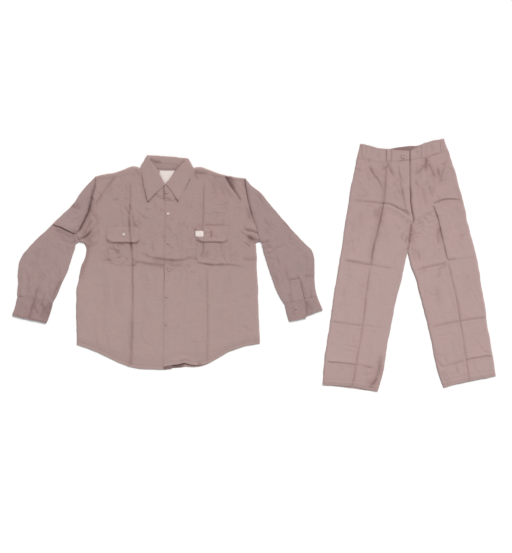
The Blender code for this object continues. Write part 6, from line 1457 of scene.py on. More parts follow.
TROUSER_CREASES += small_creases(table("x0 y0 x1 y1 count angle spread length width depth dark",
    (356, 164, 408, 208, 44, 70, 28, 9.0, 0.9, 0.6, 0.22), (412, 162, 462, 206, 48, 100, 28, 9.0, 0.9, 0.65, 0.24),
    (348, 208, 408, 258, 34, 95, 30, 10.0, 1.0, 0.5, 0.16), (408, 208, 470, 262, 40, 80, 35, 9.0, 1.0, 0.55, 0.18),
    (412, 212, 440, 236, 14, 5, 20, 8.0, 0.9, 0.5, 0.20), (396, 222, 424, 262, 16, 100, 22, 9.0, 0.9, 0.8, 0.24),
    (334, 266, 398, 385, 34, 96, 8, 20.0, 1.5, 0.42, 0.11), (418, 268, 488, 380, 36, 76, 8, 20.0, 1.5, 0.42, 0.11),
    (330, 270, 392, 380, 26, 5, 18, 11.0, 1.0, 0.4, 0.11), (420, 270, 490, 380, 28, 170, 18, 11.0, 1.0, 0.4, 0.11),
    (366, 360, 384, 390, 10, 125, 20, 9.0, 1.0, 0.7, 0.2), (436, 360, 456, 386, 9, 55, 20, 9.0, 1.0, 0.7, 0.2)))


def trouser_relief(X, Y):
    r = relief(TROUSER_CREASES, TROUSER_NOISE, np.asarray(X, float), np.asarray(Y, float))
    # painted shade: darker below the waist, and at the hem of the right leg
    r[3] = r[3] + np.interp(Y, [150, 195, 225, 262], [0.14, 0.11, 0.04, 0.0]) + 0.07 * smooth((Y - 364.0) / 4.0) * (X < 395)
    return r


def trouser_height(X, Y, right, r=None):
    r = trouser_relief(X, Y)[0] if r is None else r
    z = TROUSER_Z + soft_floor(r, -3.3)
    fly = np.interp(Y, [f["y"] for f in FLY_EDGE], [f["x"] for f in FLY_EDGE])
    on = smooth((223.0 - Y) / 4.0)
    if right:
        z = z + (0.9 + 0.9 * smooth((Y - 182) / 8)) * smooth((X - fly + 11.0) / 7.0) * on
    else:
        z = z - (1.5 + 0.6 * smooth((Y - 182) / 8)) * smooth((fly + 3.4 - X) / 2.8) * on
    return z


def build_leg(name, rows, right):
    a, k, b = xy(rows, "ax", "ay"), xy(rows, "kx", "ky"), xy(rows, "bx", "by")
    corner = {6, 9} if right else {6, 7, 10}
    su = stations([a, k, b], FINE)
    A, K, B = curve(a, su), curve(k, su), curve(b, su, corners=corner)
    n1, n2 = 2 * round(33 / FINE / 2), 2 * round(33 / FINE / 2)
    t1, t2 = np.linspace(0, 1, n1 + 1)[:-1], np.linspace(0, 1, n2 + 1)
    T = np.concatenate([A[:, None] + (K - A)[:, None] * t1[None, :, None], K[:, None] + (B - K)[:, None] * t2[None, :, None]], 1)
    X, Y = T[..., 0], T[..., 1]
    dz, dx, dy, shade = trouser_relief(X, Y)
    z = trouser_height(X, Y, right, dz)
    da, db = np.hypot(X - X[:, :1], Y - Y[:, :1]), np.hypot(X - X[:, -1:], Y - Y[:, -1:])
    turn = lambda d, w: np.sqrt(np.clip(1 - (1 - np.minimum(d / w, 1)) ** 2, 0, 1))
    ta = turn(da, 2.4)
    z = 1.1 + (z - 1.1) * ta
    crotch = 9 if right else 10
    leg = smooth((su - (crotch - 0.25)) / 0.5)[:, None]
    z = z * (1 - leg) + (1.1 + (z - 1.1) * turn(db, 2.4)) * leg
    seam = (1 - leg)
    z = z - seam * (0.35 if right else 0.2) * np.exp(-(db / 0.5) ** 2)
    he = np.abs(np.arange(len(su))[::-1])[:, None] * FINE
    z = z - smooth((5.0 - he) / 5.0) * (z - 2.4) * 0.75
    z = z + 0.3 * smooth((7.2 - he) / 0.8) - 0.22 * np.exp(-((he - 7.4) / 0.5) ** 2) - 0.35 * np.exp(-(he / 0.5) ** 2)
    # painted shade in the hem's stitch line
    shade = shade + 0.16 * np.exp(-((he - 7.4) / 0.6) ** 2)
    top = np.arange(len(su))[:, None] * FINE
    if not right:
        # painted shadow in the fly opening beside the right front's edge, over a shallow dip
        fly = np.interp(Y, [f["y"] for f in FLY_EDGE], [f["x"] for f in FLY_EDGE])
        gap = np.exp(-(((X - fly - 0.8) / 1.0) ** 2)) * smooth((224.0 - Y) / 3) * np.interp(Y, [150, 158, 166, 184, 190, 197, 214, 222], [1.0, 1.0, 0.55, 0.55, 1.1, 1.25, 1.15, 0.9])
        z, shade = z - 0.45 * gap, shade + gap
    z = np.maximum(z, 1.3)
    keep = smooth(da / 3) * smooth(db / 3) * smooth(he / 3) * smooth(top / 3)
    X, Y = X + dx * keep, Y + dy * keep
    return panel(name, np.stack([X, Y, z], -1), TROUSER, shade=np.clip(shade, 0, 1.7))


LEG_BACK_CREASES = [
    groove([(381.0, 196.0), (379.4, 240.0), (380.6, 290.0), (378.2, 340.0), (376.8, 382.0)], 1.3, 0.5, fade=(0.3, 0.15), dark=0.4),
    groove([(427.0, 192.0), (430.4, 236.0), (432.0, 286.0), (436.4, 336.0), (439.0, 376.0)], 1.3, 0.5, fade=(0.25, 0.2), dark=0.38),
    groove([(354.0, 259.0), (366.0, 262.4), (376.0, 265.4), (391.0, 263.0)], 2.0, 0.55, fade=(0.2, 0.3), dark=0.34, sharp=0.2),
    groove([(418.0, 271.0), (431.0, 266.2), (446.0, 268.6), (456.0, 266.0)], 2.0, 0.5, fade=(0.3, 0.25), dark=0.3, sharp=0.2),
    groove([(352.0, 322.0), (362.0, 317.0), (373.0, 318.8)], 2.2, 0.4, fade=(0.3, 0.5), dark=0.22, sharp=0.2),
    groove([(441.0, 305.0), (450.0, 309.4), (461.0, 306.2)], 2.2, 0.4, fade=(0.5, 0.3), dark=0.22, sharp=0.2),
    groove([(370.0, 190.0), (380.0, 200.0), (391.0, 206.0)], 1.8, 0.5, fade=(0.3, 0.3), dark=0.3),
    groove([(436.0, 186.0), (427.0, 197.4), (414.0, 205.6)], 1.8, 0.5, fade=(0.25, 0.35), dark=0.3),
    groove([(372.0, 222.0), (383.0, 226.4), (394.0, 225.0)], 1.9, 0.4, fade=(0.4, 0.3), dark=0.24, sharp=0.2),
    groove([(413.0, 221.0), (424.0, 224.8), (437.0, 221.6)], 1.9, 0.4, fade=(0.3, 0.4), dark=0.24, sharp=0.2)]


def build_leg_back(name, rows, split):
    a, b = xy(rows, "ax", "ay"), xy(rows, "bx", "by")
    b = b.copy()
    high = b[:, 1] < 250
    b[high, 0] = split
    a = a + [(0.4, 0)] if a[0, 0] < b[0, 0] else a - [(0.4, 0)]
    su = stations([a, b], 1.4)
    A, B = curve(a, su), curve(b, su, corners={int(np.sum(high))})
    t = np.linspace(0, 1, 41)[None, :, None]
    T = A[:, None] + (B - A)[:, None] * t
    X, Y = T[..., 0], T[..., 1]
    z = BACK_Z + 0.10 * Noise(51, 9.0)(X, Y)
    r = trouser_relief(X, Y)[0]
    above = np.minimum(trouser_height(X, Y, True, r), trouser_height(X, Y, False, r))
    edge = np.minimum(np.hypot(*np.moveaxis(T - T[:, :1], -1, 0)), np.hypot(*np.moveaxis(T - T[:, -1:], -1, 0)))
    ends = np.minimum(Y - Y[0].max(), Y[-1].min() - Y)
    rise, dark = resting(LEG_BACK_CREASES, X, Y, above, smooth(edge / 7.0) * smooth((ends - 8.0) / 8.0))
    return panel(name, np.stack([X, Y, z + rise], -1), TROUSER, shade=dark, under=1)


BAND_RIGHT = table("tx ty bx by over",
    (360.3, 144.0, 357.0, 158.2, 0), (368.5, 145.2, 366.6, 160.0, 0), (374.0, 147.0, 372.4, 161.2, 0), (379.4, 148.5, 378.0, 162.0, 0),
    (389.0, 149.6, 388.8, 162.6, 0), (396.0, 150.0, 396.0, 161.9, 0), (401.4, 150.4, 401.4, 161.3, 1), (408.9, 150.9, 408.8, 160.5, 1))
BAND_LEFT = table("tx ty bx by over",
    (402.2, 151.4, 402.2, 160.7, 0), (409.2, 150.9, 409.2, 160.0, 0), (415.4, 148.4, 415.8, 158.8, 0),
    (421.0, 145.6, 422.0, 157.8, 0), (427.0, 142.4, 428.2, 156.9, 0), (436.0, 140.1, 438.4, 154.0, 0), (444.0, 139.2, 449.1, 151.0, 0))
BAND_BACK = table("tx ty bx by",
    (360.8, 144.5, 357.3, 158.0), (379.4, 148.3, 378.0, 158.8), (391.0, 148.6, 391.0, 158.6), (396.0, 147.6, 396.0, 158.5),
    (402.0, 146.9, 402.0, 158.4), (410.6, 145.9, 410.6, 158.0), (415.4, 145.8, 416.0, 157.0), (427.0, 142.8, 429.0, 153.6),
    (443.6, 139.7, 448.6, 150.6))


def build_band(name, rows, right):
    a, b = xy(rows, "tx", "ty"), xy(rows, "bx", "by")
    over = np.array([r["over"] for r in rows], float)
    su = stations([a, b], 0.6)
    A, B = curve(a, su), curve(b, su)
    o = np.interp(su, np.arange(len(rows)), over)[:, None]
    v = np.linspace(0, 1, 21)[None, :, None]
    T = A[:, None] + (B - A)[:, None] * v
    X, Y, vv = T[..., 0], T[..., 1], v[..., 0]
    T[:, :, 1] += 0.4 * vv
    Y = T[..., 1]
    z = TROUSER_Z + 0.75 + 1.6 * (o if right else -1.3 * smooth((409.6 - X) / 2.0)) + 0.2 * Noise(31, 6.0)(X, Y) + 0.1 * Noise(32, 2.5)(X, Y)
    low_edge = smooth((vv - 0.8) / 0.2)
    z = z * (1 - low_edge) + low_edge * np.maximum(trouser_height(X, Y, right) + 0.75 - 0.62 * smooth((vv - 0.93) / 0.07), 2.0)
    z = z - 0.15 * (np.exp(-((vv - 0.1) / 0.03) ** 2) + np.exp(-((vv - 0.9) / 0.03) ** 2))
    z = z - 0.3 * np.exp(-(vv / 0.04) ** 2)
    end = np.linalg.norm(T - T[:1], axis=2) if right else np.linalg.norm(T - T[-1:], axis=2)
    turn = np.sqrt(np.clip(1 - (1 - np.minimum(end / 1.8, 1)) ** 2, 0, 1))
    z = 1.2 + (z - 1.2) * turn
    # painted shade over the band and in its two stitch lines
    shade = 0.12 + 0.14 * (np.exp(-((vv - 0.1) / 0.035) ** 2) + np.exp(-((vv - 0.9) / 0.035) ** 2)) * np.ones_like(z)
    if not right:
        # painted shadow in the fly beside the right band's over end
        shade = shade + 1.0 * np.exp(-((X - 409.8) / 0.9) ** 2)
    if right:
        # the grooves below add painted shadow beside the belt loops and along the band's lower edge, and painted shade
        # in a few creases
        c = relief([groove([(399.6, 161.2), (403.0, 160.8), (407.4, 160.6)], 0.8, 0.6, fade=(0.2, 0.1), dark=0.5),
                    groove([(386.2, 149.2), (386.2, 155.0), (386.2, 162.0)], 0.5, 0.5, fade=(0.0, 0.0), dark=0.6),
                    groove([(391.2, 149.2), (391.2, 155.0), (391.2, 162.0)], 0.5, 0.5, fade=(0.0, 0.0), dark=0.6),
                    groove([(361.4, 145.0), (361.4, 151.0), (361.4, 157.0)], 0.5, 0.3, fade=(0.0, 0.3), dark=0.2),
                    groove([(366.3, 145.6), (366.3, 150.0), (366.3, 156.0)], 0.5, 0.3, fade=(0.0, 0.3), dark=0.2),
                    groove([(378.0, 150.0), (379.0, 156.0), (378.4, 161.0)], 1.8, 0.5, fade=(0.3, 0.3), dark=0.15, sharp=0.2),
                    groove([(370.6, 147.0), (371.0, 153.0), (369.6, 159.0)], 1.8, 0.4, fade=(0.3, 0.3), dark=0.1, sharp=0.2)], [], X, Y)
    else:
        c = relief([groove([(430.6, 143.0), (432.0, 149.0), (431.6, 154.0)], 1.6, 0.5, fade=(0.3, 0.3), dark=0.15, sharp=0.2),
                    groove([(428.0, 159.2), (431.4, 156.8), (436.6, 155.0), (443.0, 153.0)], 0.8, 0.5, fade=(0.05, 0.4), dark=0.5),
                    groove([(421.4, 145.6), (421.4, 151.0), (421.4, 158.0)], 0.5, 0.4, fade=(0.0, 0.0), dark=0.15),
                    groove([(426.4, 143.0), (426.4, 149.0), (426.4, 157.0)], 0.5, 0.4, fade=(0.0, 0.0), dark=0.15),
                    groove([(440.0, 140.0), (440.0, 146.0), (440.0, 152.0)], 0.5, 0.3, fade=(0.0, 0.2), dark=0.05),
                    groove([(416.0, 149.6), (417.0, 154.0), (416.6, 158.0)], 1.4, 0.5, fade=(0.3, 0.3), dark=0.15, sharp=0.2)], [], X, Y)
    z, shade = z + c[0], shade + c[3]
    uv = np.stack(np.meshgrid(np.linspace(0, 0.05, 21), su * 8 * STEP), -1)
    return panel(name, np.concatenate([T, z[..., None]], -1), TROUSER, uv=uv, shade=np.clip(shade, 0, 1.7), thick=0.6)


def build_band_back():
    a, b = xy(BAND_BACK, "tx", "ty"), xy(BAND_BACK, "bx", "by")
    su = stations([a, b], 0.9)
    A, B = curve(a, su), curve(b, su)
    v = np.linspace(0, 1, 13)[None, :, None]
    T = A[:, None] + (B - A)[:, None] * v
    z = 1.1 + 0.0 * T[..., 0]
    # painted shade inside the waist opening, on the upper side only
    inside = np.exp(-(((T[..., 0] - 404.0) / 14.0) ** 4))
    return panel("trousers_waistband_back_cloth", np.concatenate([T, z[..., None]], -1), TROUSER, thick=0.7,
                 shade=0.9 * inside, shade_under=0.0 * inside)


LOOPS = table("name x0 x1 y_top0 y_top1 y_low0 y_low1",
    ("trousers_loop_right_front", 386.6, 390.8, 148.9, 149.1, 161.2, 161.0),
    ("trousers_loop_right_side", 361.8, 365.8, 143.7, 144.3, 156.6, 157.2),
    ("trousers_loop_left_front", 421.8, 425.8, 144.5, 142.5, 158.4, 157.6),
    ("trousers_loop_left_side", 440.4, 444.2, 139.2, 139.1, 151.8, 150.4))


def build_loop(spec):
    v, t = np.linspace(0, 1, 27)[:, None], np.linspace(0, 1, 9)[None, :]
    x = spec["x0"] + (spec["x1"] - spec["x0"]) * t + 0 * v
    y0 = spec["y_top0"] + (spec["y_low0"] - spec["y_top0"]) * v
    y1 = spec["y_top1"] + (spec["y_low1"] - spec["y_top1"]) * v
    y = y0 + (y1 - y0) * t
    first = spec["name"].endswith("right_front")
    z = TROUSER_Z + 0.75 + (0.95 if first else 0.75) + (0.7 if first else 0.2) * np.sin(math.pi * np.clip(v, 0, 1)) ** 0.6 + 0 * t
    z = z - 0.55 * (smooth((0.10 - v) / 0.10) + smooth((v - 0.90) / 0.10)) - 0.3 * (np.exp(-(t / 0.08) ** 2) + np.exp(-((1 - t) / 0.08) ** 2))
    z = z - 0.12 * (np.exp(-((t - 0.2) / 0.06) ** 2) + np.exp(-((t - 0.8) / 0.06) ** 2))
    # painted shade over the loop and in its two stitch lines
    shade = 0.15 * (np.exp(-((t - 0.2) / 0.07) ** 2) + np.exp(-((t - 0.8) / 0.07) ** 2)) + 0.12 + 0 * v
    uv = np.stack([t * 0.016 + 0 * v, v * 0.05 + 0 * t], -1)
    return panel(spec["name"] + "_cloth", np.stack([x, y, z], -1), TROUSER, uv=uv, shade=np.clip(shade, 0, 1.7), under=1, thick=0.6)


# ------------------------------------------------------------------- buttons
def button_mesh(radius, height, holes=4):
    """Four-hole sew-through button: rounded rim, dished middle, real holes."""
    profile = [(0.0, 0.42), (0.30, 0.42), (0.50, 0.44), (0.60, 0.56), (0.68, 0.86), (0.76, 1.0), (0.86, 0.98), (0.95, 0.80),
               (1.0, 0.52), (0.97, 0.24), (0.86, 0.06), (0.6, 0.0), (0.0, 0.0)]
    n = 48
    verts, faces = [(0, 0, profile[0][1] * height)], []
    for r, h in profile[1:-1]:
        verts += [(math.cos(2 * math.pi * i / n) * r * radius, math.sin(2 * math.pi * i / n) * r * radius, h * height) for i in range(n)]
    verts.append((0, 0, 0))
    faces += [(0, 1 + i, 1 + (i + 1) % n) for i in range(n)]
    for k in range(len(profile) - 3):
        for i in range(n):
            a, b = 1 + k * n + i, 1 + k * n + (i + 1) % n
            faces.append((a, a + n, b + n, b))
    last = 1 + (len(profile) - 3) * n
    faces += [(last + (i + 1) % n, last + i, len(verts) - 1) for i in range(n)]
    me = bpy.data.meshes.new("button_form")
    me.from_pydata(verts, [], faces)
    me.update()
    body = bpy.data.objects.new("button_form", me)
    bpy.context.scene.collection.objects.link(body)
    cutters = []
    for k in range(holes):
        a = math.pi / 4 + k * math.pi / 2
        c = bpy.data.meshes.new("hole")
        m = 14
        rr, cx, cy = radius * 0.105, math.cos(a) * radius * 0.26, math.sin(a) * radius * 0.26
        v = [(cx + rr * math.cos(2 * math.pi * i / m), cy + rr * math.sin(2 * math.pi * i / m), z) for z in (-height, 2 * height) for i in range(m)]
        f = [tuple(reversed(range(m))), tuple(range(m, 2 * m))] + [(i, (i + 1) % m, m + (i + 1) % m, m + i) for i in range(m)]
        c.from_pydata(v, [], f)
        c.update()
        o = bpy.data.objects.new("hole", c)
        bpy.context.scene.collection.objects.link(o)
        mod = body.modifiers.new("hole", "BOOLEAN")
        mod.object, mod.operation, mod.solver = o, "DIFFERENCE", "EXACT"
        cutters.append(o)
    dg = bpy.context.evaluated_depsgraph_get()
    dg.update()
    out = bpy.data.meshes.new_from_object(body.evaluated_get(dg))
    for o in cutters + [body]:
        bpy.data.objects.remove(o)
    out.shade_smooth()
    out.set_sharp_from_angle(angle=math.radians(42))
    return out


def capsule(a, b, r, sides=6):
    """Vertices and faces of a thin rod with pinched ends."""
    a, b = np.asarray(a, float), np.asarray(b, float)
    d = b - a
    d /= max(np.linalg.norm(d), 1e-9)
    ref = np.array((0, 0, 1.0)) if abs(d[2]) < 0.9 else np.array((1.0, 0, 0))
    s = np.cross(d, ref)
    s /= np.linalg.norm(s)
    t = np.cross(s, d)
    rings = [(0.0, 0.45), (0.18, 1.0), (0.82, 1.0), (1.0, 0.45)]
    v, f = [], []
    for k, (u, w) in enumerate(rings):
        for i in range(sides):
            g = 2 * math.pi * i / sides
            v.append(a + (b - a) * u + (s * math.cos(g) + t * math.sin(g)) * r * w)
        if k:
            for i in range(sides):
                p, q = (k - 1) * sides + i, (k - 1) * sides + (i + 1) % sides
                f.append((p, q, q + sides, p + sides))
    f.append(tuple(reversed(range(sides))))
    f.append(tuple(range(3 * sides, 4 * sides)))
    return v, f


def place_button(name, mesh, x, y, z_mm, mat, radius, height, spin=0.0, thread=THREAD, tilt=(0.0, 0.0)):
    me = mesh.copy()
    me.materials.clear()
    me.materials.append(mat)
    obj = bpy.data.objects.new(name, me)
    bpy.context.scene.collection.objects.link(obj)
    c = metres(np.array([x, y, z_mm]))
    obj.location = c
    obj.rotation_euler = (tilt[0], tilt[1], spin)
    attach(obj, "root")
    # sewing thread: two bars through the four holes
    verts, faces = [], []
    q = radius * 0.26 * math.cos(math.pi / 4)
    for sy in (-1, 1):
        v, f = capsule((-q, sy * q, height * 0.47), (q, sy * q, height * 0.47), 0.00028)
        faces += [tuple(i + len(verts) for i in g) for g in f]
        verts += v
    m2 = bpy.data.meshes.new(name + "_thread")
    m2.from_pydata([tuple(v) for v in verts], [], faces)
    m2.materials.append(thread)
    m2.shade_smooth()
    o2 = bpy.data.objects.new(name + "_thread", m2)
    bpy.context.scene.collection.objects.link(o2)
    o2.location, o2.rotation_euler = c, (tilt[0], tilt[1], spin)
    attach(o2, "root")
    return obj


# -------------------------------------------------------------------- stitch
class Top:
    """Upper surface of a piece, by casting straight down on it."""

    def __init__(self, obj):
        me = obj.data
        co = np.empty(len(me.vertices) * 3, np.float32)
        me.vertices.foreach_get("co", co)
        me.calc_loop_triangles()
        tri = np.empty(len(me.loop_triangles) * 3, np.int32)
        me.loop_triangles.foreach_get("vertices", tri)
        self.tree = BVHTree.FromPolygons(co.reshape(-1, 3).tolist(), tri.reshape(-1, 3).tolist())

    def __call__(self, p):
        """Points dropped on the surface; not a number where they miss it."""
        out = np.array(p)
        for i, q in enumerate(p):
            hit = self.tree.ray_cast(Vector((q[0], q[1], 0.1)), Vector((0, 0, -1)))[0]
            out[i, 2] = hit.z if hit else np.nan
        return out


def stitch_line(top, points, corners=(), pitch=0.75, length=0.55, begin=0.3):
    """Both ends of each stitch of a row along a plan line on a piece."""
    p = np.array(points, float)
    q = curve(p, np.linspace(0, len(p) - 1, 60 * len(p)), corners)
    run = np.concatenate([[0], np.cumsum(np.hypot(*np.diff(q, axis=0).T))])
    at = np.arange(begin, run[-1] - length - 0.1, pitch)
    a, b = (np.stack([np.interp(at + d, run, q[:, k]) for k in (0, 1)] + [0 * at], 1) for d in (0, length))
    a, b = top(metres(a)), top(metres(b))
    ok = np.isfinite(a[:, 2]) & np.isfinite(b[:, 2]) & (np.abs(a[:, 2] - b[:, 2]) < 0.0009)
    return a[ok], b[ok]


def buttonhole(top, x, y, half=1.9, angle=90.0):
    """Close cross stitches on both sides of a slit."""
    rows = []
    c, d = math.cos(math.radians(angle)), math.sin(math.radians(angle))
    for side in (-1, 1):
        t = np.arange(-half, half + 0.01, 0.17)
        near, far = 0.06 * side, 0.40 * side
        a = np.stack([x + t * c - near * d, y + t * d + near * c, 0 * t], 1)
        b = np.stack([x + t * c - far * d, y + t * d + far * c, 0 * t], 1)
        rows.append((a, b))
    for end in (-1, 1):
        t = np.linspace(-0.34, 0.34, 4)
        a = np.stack([x + end * half * c - t * d, y + end * half * d + t * c, 0 * t], 1)
        rows.append((a, a + [0.42 * end * c, 0.42 * end * d, 0]))
    a, b = (top(metres(np.concatenate([r[k] for r in rows]))) for k in (0, 1))
    ok = np.isfinite(a[:, 2]) & np.isfinite(b[:, 2]) & (np.abs(a[:, 2] - b[:, 2]) < 0.0009)
    return a[ok], b[ok]


def inset(rows, by=0.6, lift=0.45):
    """Line inside the sides and lower edge of a patch's rows."""
    left = [(r[0] + by, r[1] - (lift if k > 2 else 0)) for k, r in enumerate(rows[:-1])]
    right = [(r[2] - by, r[3] - (lift if k > 2 else 0)) for k, r in enumerate(rows[:-1])]
    end = rows[-1]
    return left + [(end[0] + 0.3, end[1] - by), (end[2] - 0.3, end[3] - by)] + right[::-1]


def stitches(name, lines, mat, r=0.0002):
    """One mesh of low three-sided stitches, sunk a little at both ends."""
    A = np.concatenate([l[0] for l in lines])
    B = np.concatenate([l[1] for l in lines])
    d = B - A
    d /= np.maximum(np.linalg.norm(d, axis=1), 1e-9)[:, None]
    s = np.stack([-d[:, 1], d[:, 0], 0 * d[:, 0]], 1)
    s /= np.maximum(np.linalg.norm(s, axis=1), 1e-9)[:, None]
    up = np.array([0, 0, 1.0])
    rings = []
    for u, w, h in ((0.0, 0.3, -1.2), (0.22, 1.0, 0.35), (0.78, 1.0, 0.35), (1.0, 0.3, -1.2)):
        c = A + (B - A) * u + up * (h * r)
        rings.append(np.stack([c + s * r * w, c + up * r * 0.9 * w, c - s * r * w, c - up * r * 0.9 * w], 1))
    V = np.stack(rings, 1)                                # n, 4 rings, 4 sides, 3
    n = len(V)
    base = (np.arange(n) * 16)[:, None]
    faces = []
    for k in range(3):
        for i in range(4):
            a, b = k * 4 + i, k * 4 + (i + 1) % 4
            faces.append(base + np.array([a, a + 4, b + 4, b])[None])
    faces.append(base + np.array([0, 1, 2, 3])[None])
    faces.append(base + np.array([15, 14, 13, 12])[None])
    F = np.concatenate(faces)
    co = V.reshape(-1, 3)
    uv = np.zeros((len(F), 4, 2))
    obj = make_mesh(name, co, [F], [uv], np.zeros(len(co)), mat)
    return obj


# ============================================================ build the shirt
front_right = build_front("shirt_front_right_cloth", ARMHOLE_RIGHT, SIDE_RIGHT, NECK_RIGHT, HEM_RIGHT, False)
front_left = build_front("shirt_front_left_cloth", ARMHOLE_LEFT, SIDE_LEFT, NECK_LEFT, HEM_LEFT, True)
back = build_back()
yoke = build_yoke()
sleeve_right = build_sleeve("shirt_sleeve_right_cloth", ARMHOLE_RIGHT, SLEEVE_RIGHT, SLEEVE_RIGHT_CREASES, 1, 65, finer={3: 1.5, 4: 1.6, 5: 1.6, 6: 1.3})
sleeve_left = build_sleeve("shirt_sleeve_left_cloth", ARMHOLE_LEFT, SLEEVE_LEFT, SLEEVE_LEFT_CREASES, -1, 61)
cuff_right, cuff_left = build_cuff_right(), build_cuff_left()
sleeve_placket = build_sleeve_placket()
leaf, stand = build_collar_leaf(), build_collar_stand()
pocket_right = build_pocket("shirt_pocket_right_cloth", POCKET_ROWS_RIGHT, False)
pocket_left = build_pocket("shirt_pocket_left_cloth", POCKET_ROWS_LEFT, True)
flap_right = build_flap("shirt_flap_right_cloth", FLAP_ROWS_RIGHT, False)
flap_left = build_flap("shirt_flap_left_cloth", FLAP_ROWS_LEFT, True)
label = flat_piece("shirt_label_neck_tape", ((159.4, 170.7), (176.0, 184.4)), lambda X, Y: 1.55 + 0.12 * Noise(121, 4.0)(X, Y), LABEL, crown=0.3)
tab = flat_piece("shirt_tab_pocket_tape", ((195.3, 231.0), (203.7, 236.6)),
                 lambda X, Y: front_height(X, Y, True) + 1.75 + 1.0, LABEL, thick=0.6, spacing=0.3, crown=0.25)

# ========================================================= build the trousers
leg_right = build_leg("trousers_front_right_cloth", LEG_RIGHT, True)
leg_left = build_leg("trousers_front_left_cloth", LEG_LEFT, False)
leg_back_right = build_leg_back("trousers_back_right_cloth", LEG_RIGHT, 407.4)
leg_back_left = build_leg_back("trousers_back_left_cloth", LEG_LEFT, 407.7)
band_right = build_band("trousers_waistband_right_cloth", BAND_RIGHT, True)
band_left = build_band("trousers_waistband_left_cloth", BAND_LEFT, False)
band_back = build_band_back()
loops = [build_loop(s) for s in LOOPS]

# =================================================================== buttons
SHIRT_BUTTON = button_mesh(0.0056, 0.0024)
WAIST_BUTTON = button_mesh(0.0086, 0.0028)
over_z = lambda x, y: float(front_height(np.array([x]), np.array([y]), True)[0])
flap_z = lambda x, y: float(front_height(np.array([x]), np.array([y]), False)[0]) + 1.75 + 0.45
cuff_z = 6.25
BUTTONS = [
    ("shirt_button_1", 168.2, 213.6, over_z(168.2, 213.6) + 0.75, PALE, SHIRT_BUTTON, 0.3, (0.06, -0.05)),
    ("shirt_button_2", 168.3, 243.0, over_z(168.3, 243.0) + 0.75, TONAL, SHIRT_BUTTON, 0.7, (0.02, 0.03)),
    ("shirt_button_3", 169.2, 270.0, over_z(169.2, 270.0) + 0.75, TONAL, SHIRT_BUTTON, 0.1, (0.05, 0.0)),
    ("shirt_button_4", 166.8, 296.4, over_z(166.8, 296.4) + 0.75, TONAL, SHIRT_BUTTON, 0.5, (0.0, 0.03)),
    ("shirt_button_5", 166.0, 323.7, over_z(166.0, 323.7) + 0.85, TONAL, SHIRT_BUTTON, 0.2, (0.03, 0.02)),
    ("shirt_button_collar", 167.0, 192.4, 7.25 + 0.45 + 0.6, TONAL, SHIRT_BUTTON, 0.4, (0.03, -0.02)),
    ("shirt_button_flap_right", 123.8, 234.8, flap_z(123.8, 234.8) + 0.55, PALE, SHIRT_BUTTON, 0.6, (0.08, 0.0)),
    ("shirt_button_cuff_left", 296.2, 308.2, cuff_z + 0.65, TONAL, SHIRT_BUTTON, 0.2, (0.0, 0.0)),
    ("trousers_waist_button", 403.0, 156.0, TROUSER_Z + 0.75 + 1.6 + 0.35, TONAL, WAIST_BUTTON, 0.3, (0.02, 0.0)),
]
for name, x, y, z, mat, mesh, spin, tilt in BUTTONS:
    big = mesh is WAIST_BUTTON
    b = place_button(name + "_fine", mesh, x, y, z, mat, 0.0086 if big else 0.0056, 0.0028 if big else 0.0024, spin,
                     THREAD_T if big else THREAD, tilt)
    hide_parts(name)

# =================================================================== sewing
tops = {o.name: Top(o) for o in (front_right, front_left, yoke, leaf, stand, cuff_right, cuff_left, sleeve_placket,
                                 pocket_right, pocket_left, flap_right, flap_left, label, tab, leg_right, leg_left,
                                 band_right, band_left, *loops)}
on = lambda obj: tops[obj.name]
edge = [(r["x"], r["y"]) for r in NECK_LEFT[6:]] + [(163.6, 340.0), (163.4, 362.0)]
lines = [stitch_line(on(front_left), [(x + d, y) for x, y in edge]) for d in (1.2, 6.9)]
lines += [stitch_line(on(front_right), [(x + (0.4 if k == 0 else 0), y - 3.1) for k, (x, y) in enumerate(HEM_RIGHT)]),
          stitch_line(on(front_left), [(x - (0.4 if k == 0 else 0), y - 3.1) for k, (x, y) in enumerate(HEM_LEFT)])]
lines += [stitch_line(on(front_right), ARMHOLE_RIGHT[1:10] + [(1.5, 0)]), stitch_line(on(front_left), ARMHOLE_LEFT[1:10] - [(1.5, 0)])]
for part in (YOKE[:8], YOKE[15:]):
    lines.append(stitch_line(on(yoke), [(r["x"], r["seam_y"] - 0.45) for r in part]))
stitches("shirt_stitches_body", lines, THREAD)
LEAF_LINES = ([(162.8, 184.6), (156.2, 190.6), (148.7, 197.4), (147.2, 192.0), (144.4, 178.8), (142.0, 169.4)],
              [(168.6, 185.4), (173.2, 191.8), (177.9, 198.2), (180.6, 193.2), (184.7, 186.4), (188.7, 177.2), (191.4, 171.8)])
lines = [stitch_line(on(leaf), l, corners={2}) for l in LEAF_LINES]
lines.append(stitch_line(on(leaf), [(150.8, 156.4), (158.4, 157.2), (167.6, 158.0), (176.6, 158.8), (185.0, 159.6)]))
lines.append(stitch_line(on(stand), [(r["bx"] * 0.88 + r["tx"] * 0.12, r["by"] * 0.88 + r["ty"] * 0.12) for r in COLLAR_STAND[:7]]))
lines.append(stitch_line(on(stand), [(r["bx"] * 0.88 + r["tx"] * 0.12, r["by"] * 0.88 + r["ty"] * 0.12) for r in COLLAR_STAND[12:]]))
stitches("shirt_stitches_collar", lines, THREAD)
lines = []
for pocket, flap, p_rows, f_rows in ((pocket_right, flap_right, POCKET_ROWS_RIGHT, FLAP_ROWS_RIGHT),
                                     (pocket_left, flap_left, POCKET_ROWS_LEFT, FLAP_ROWS_LEFT)):
    lines += [stitch_line(on(pocket), inset(p_rows[1:], d), corners={3, 4, 5, 6}) for d in (0.55, 1.5)]
    lines += [stitch_line(on(flap), inset(f_rows, 1.0, 0.7), corners={5, 6})]
    lines += [stitch_line(on(flap), [(f_rows[0][0] + 0.6, f_rows[0][1] + d), (f_rows[0][2] - 0.6, f_rows[0][3] + d)]) for d in (0.5, 1.9)]
stitches("shirt_stitches_pockets", lines, THREAD)
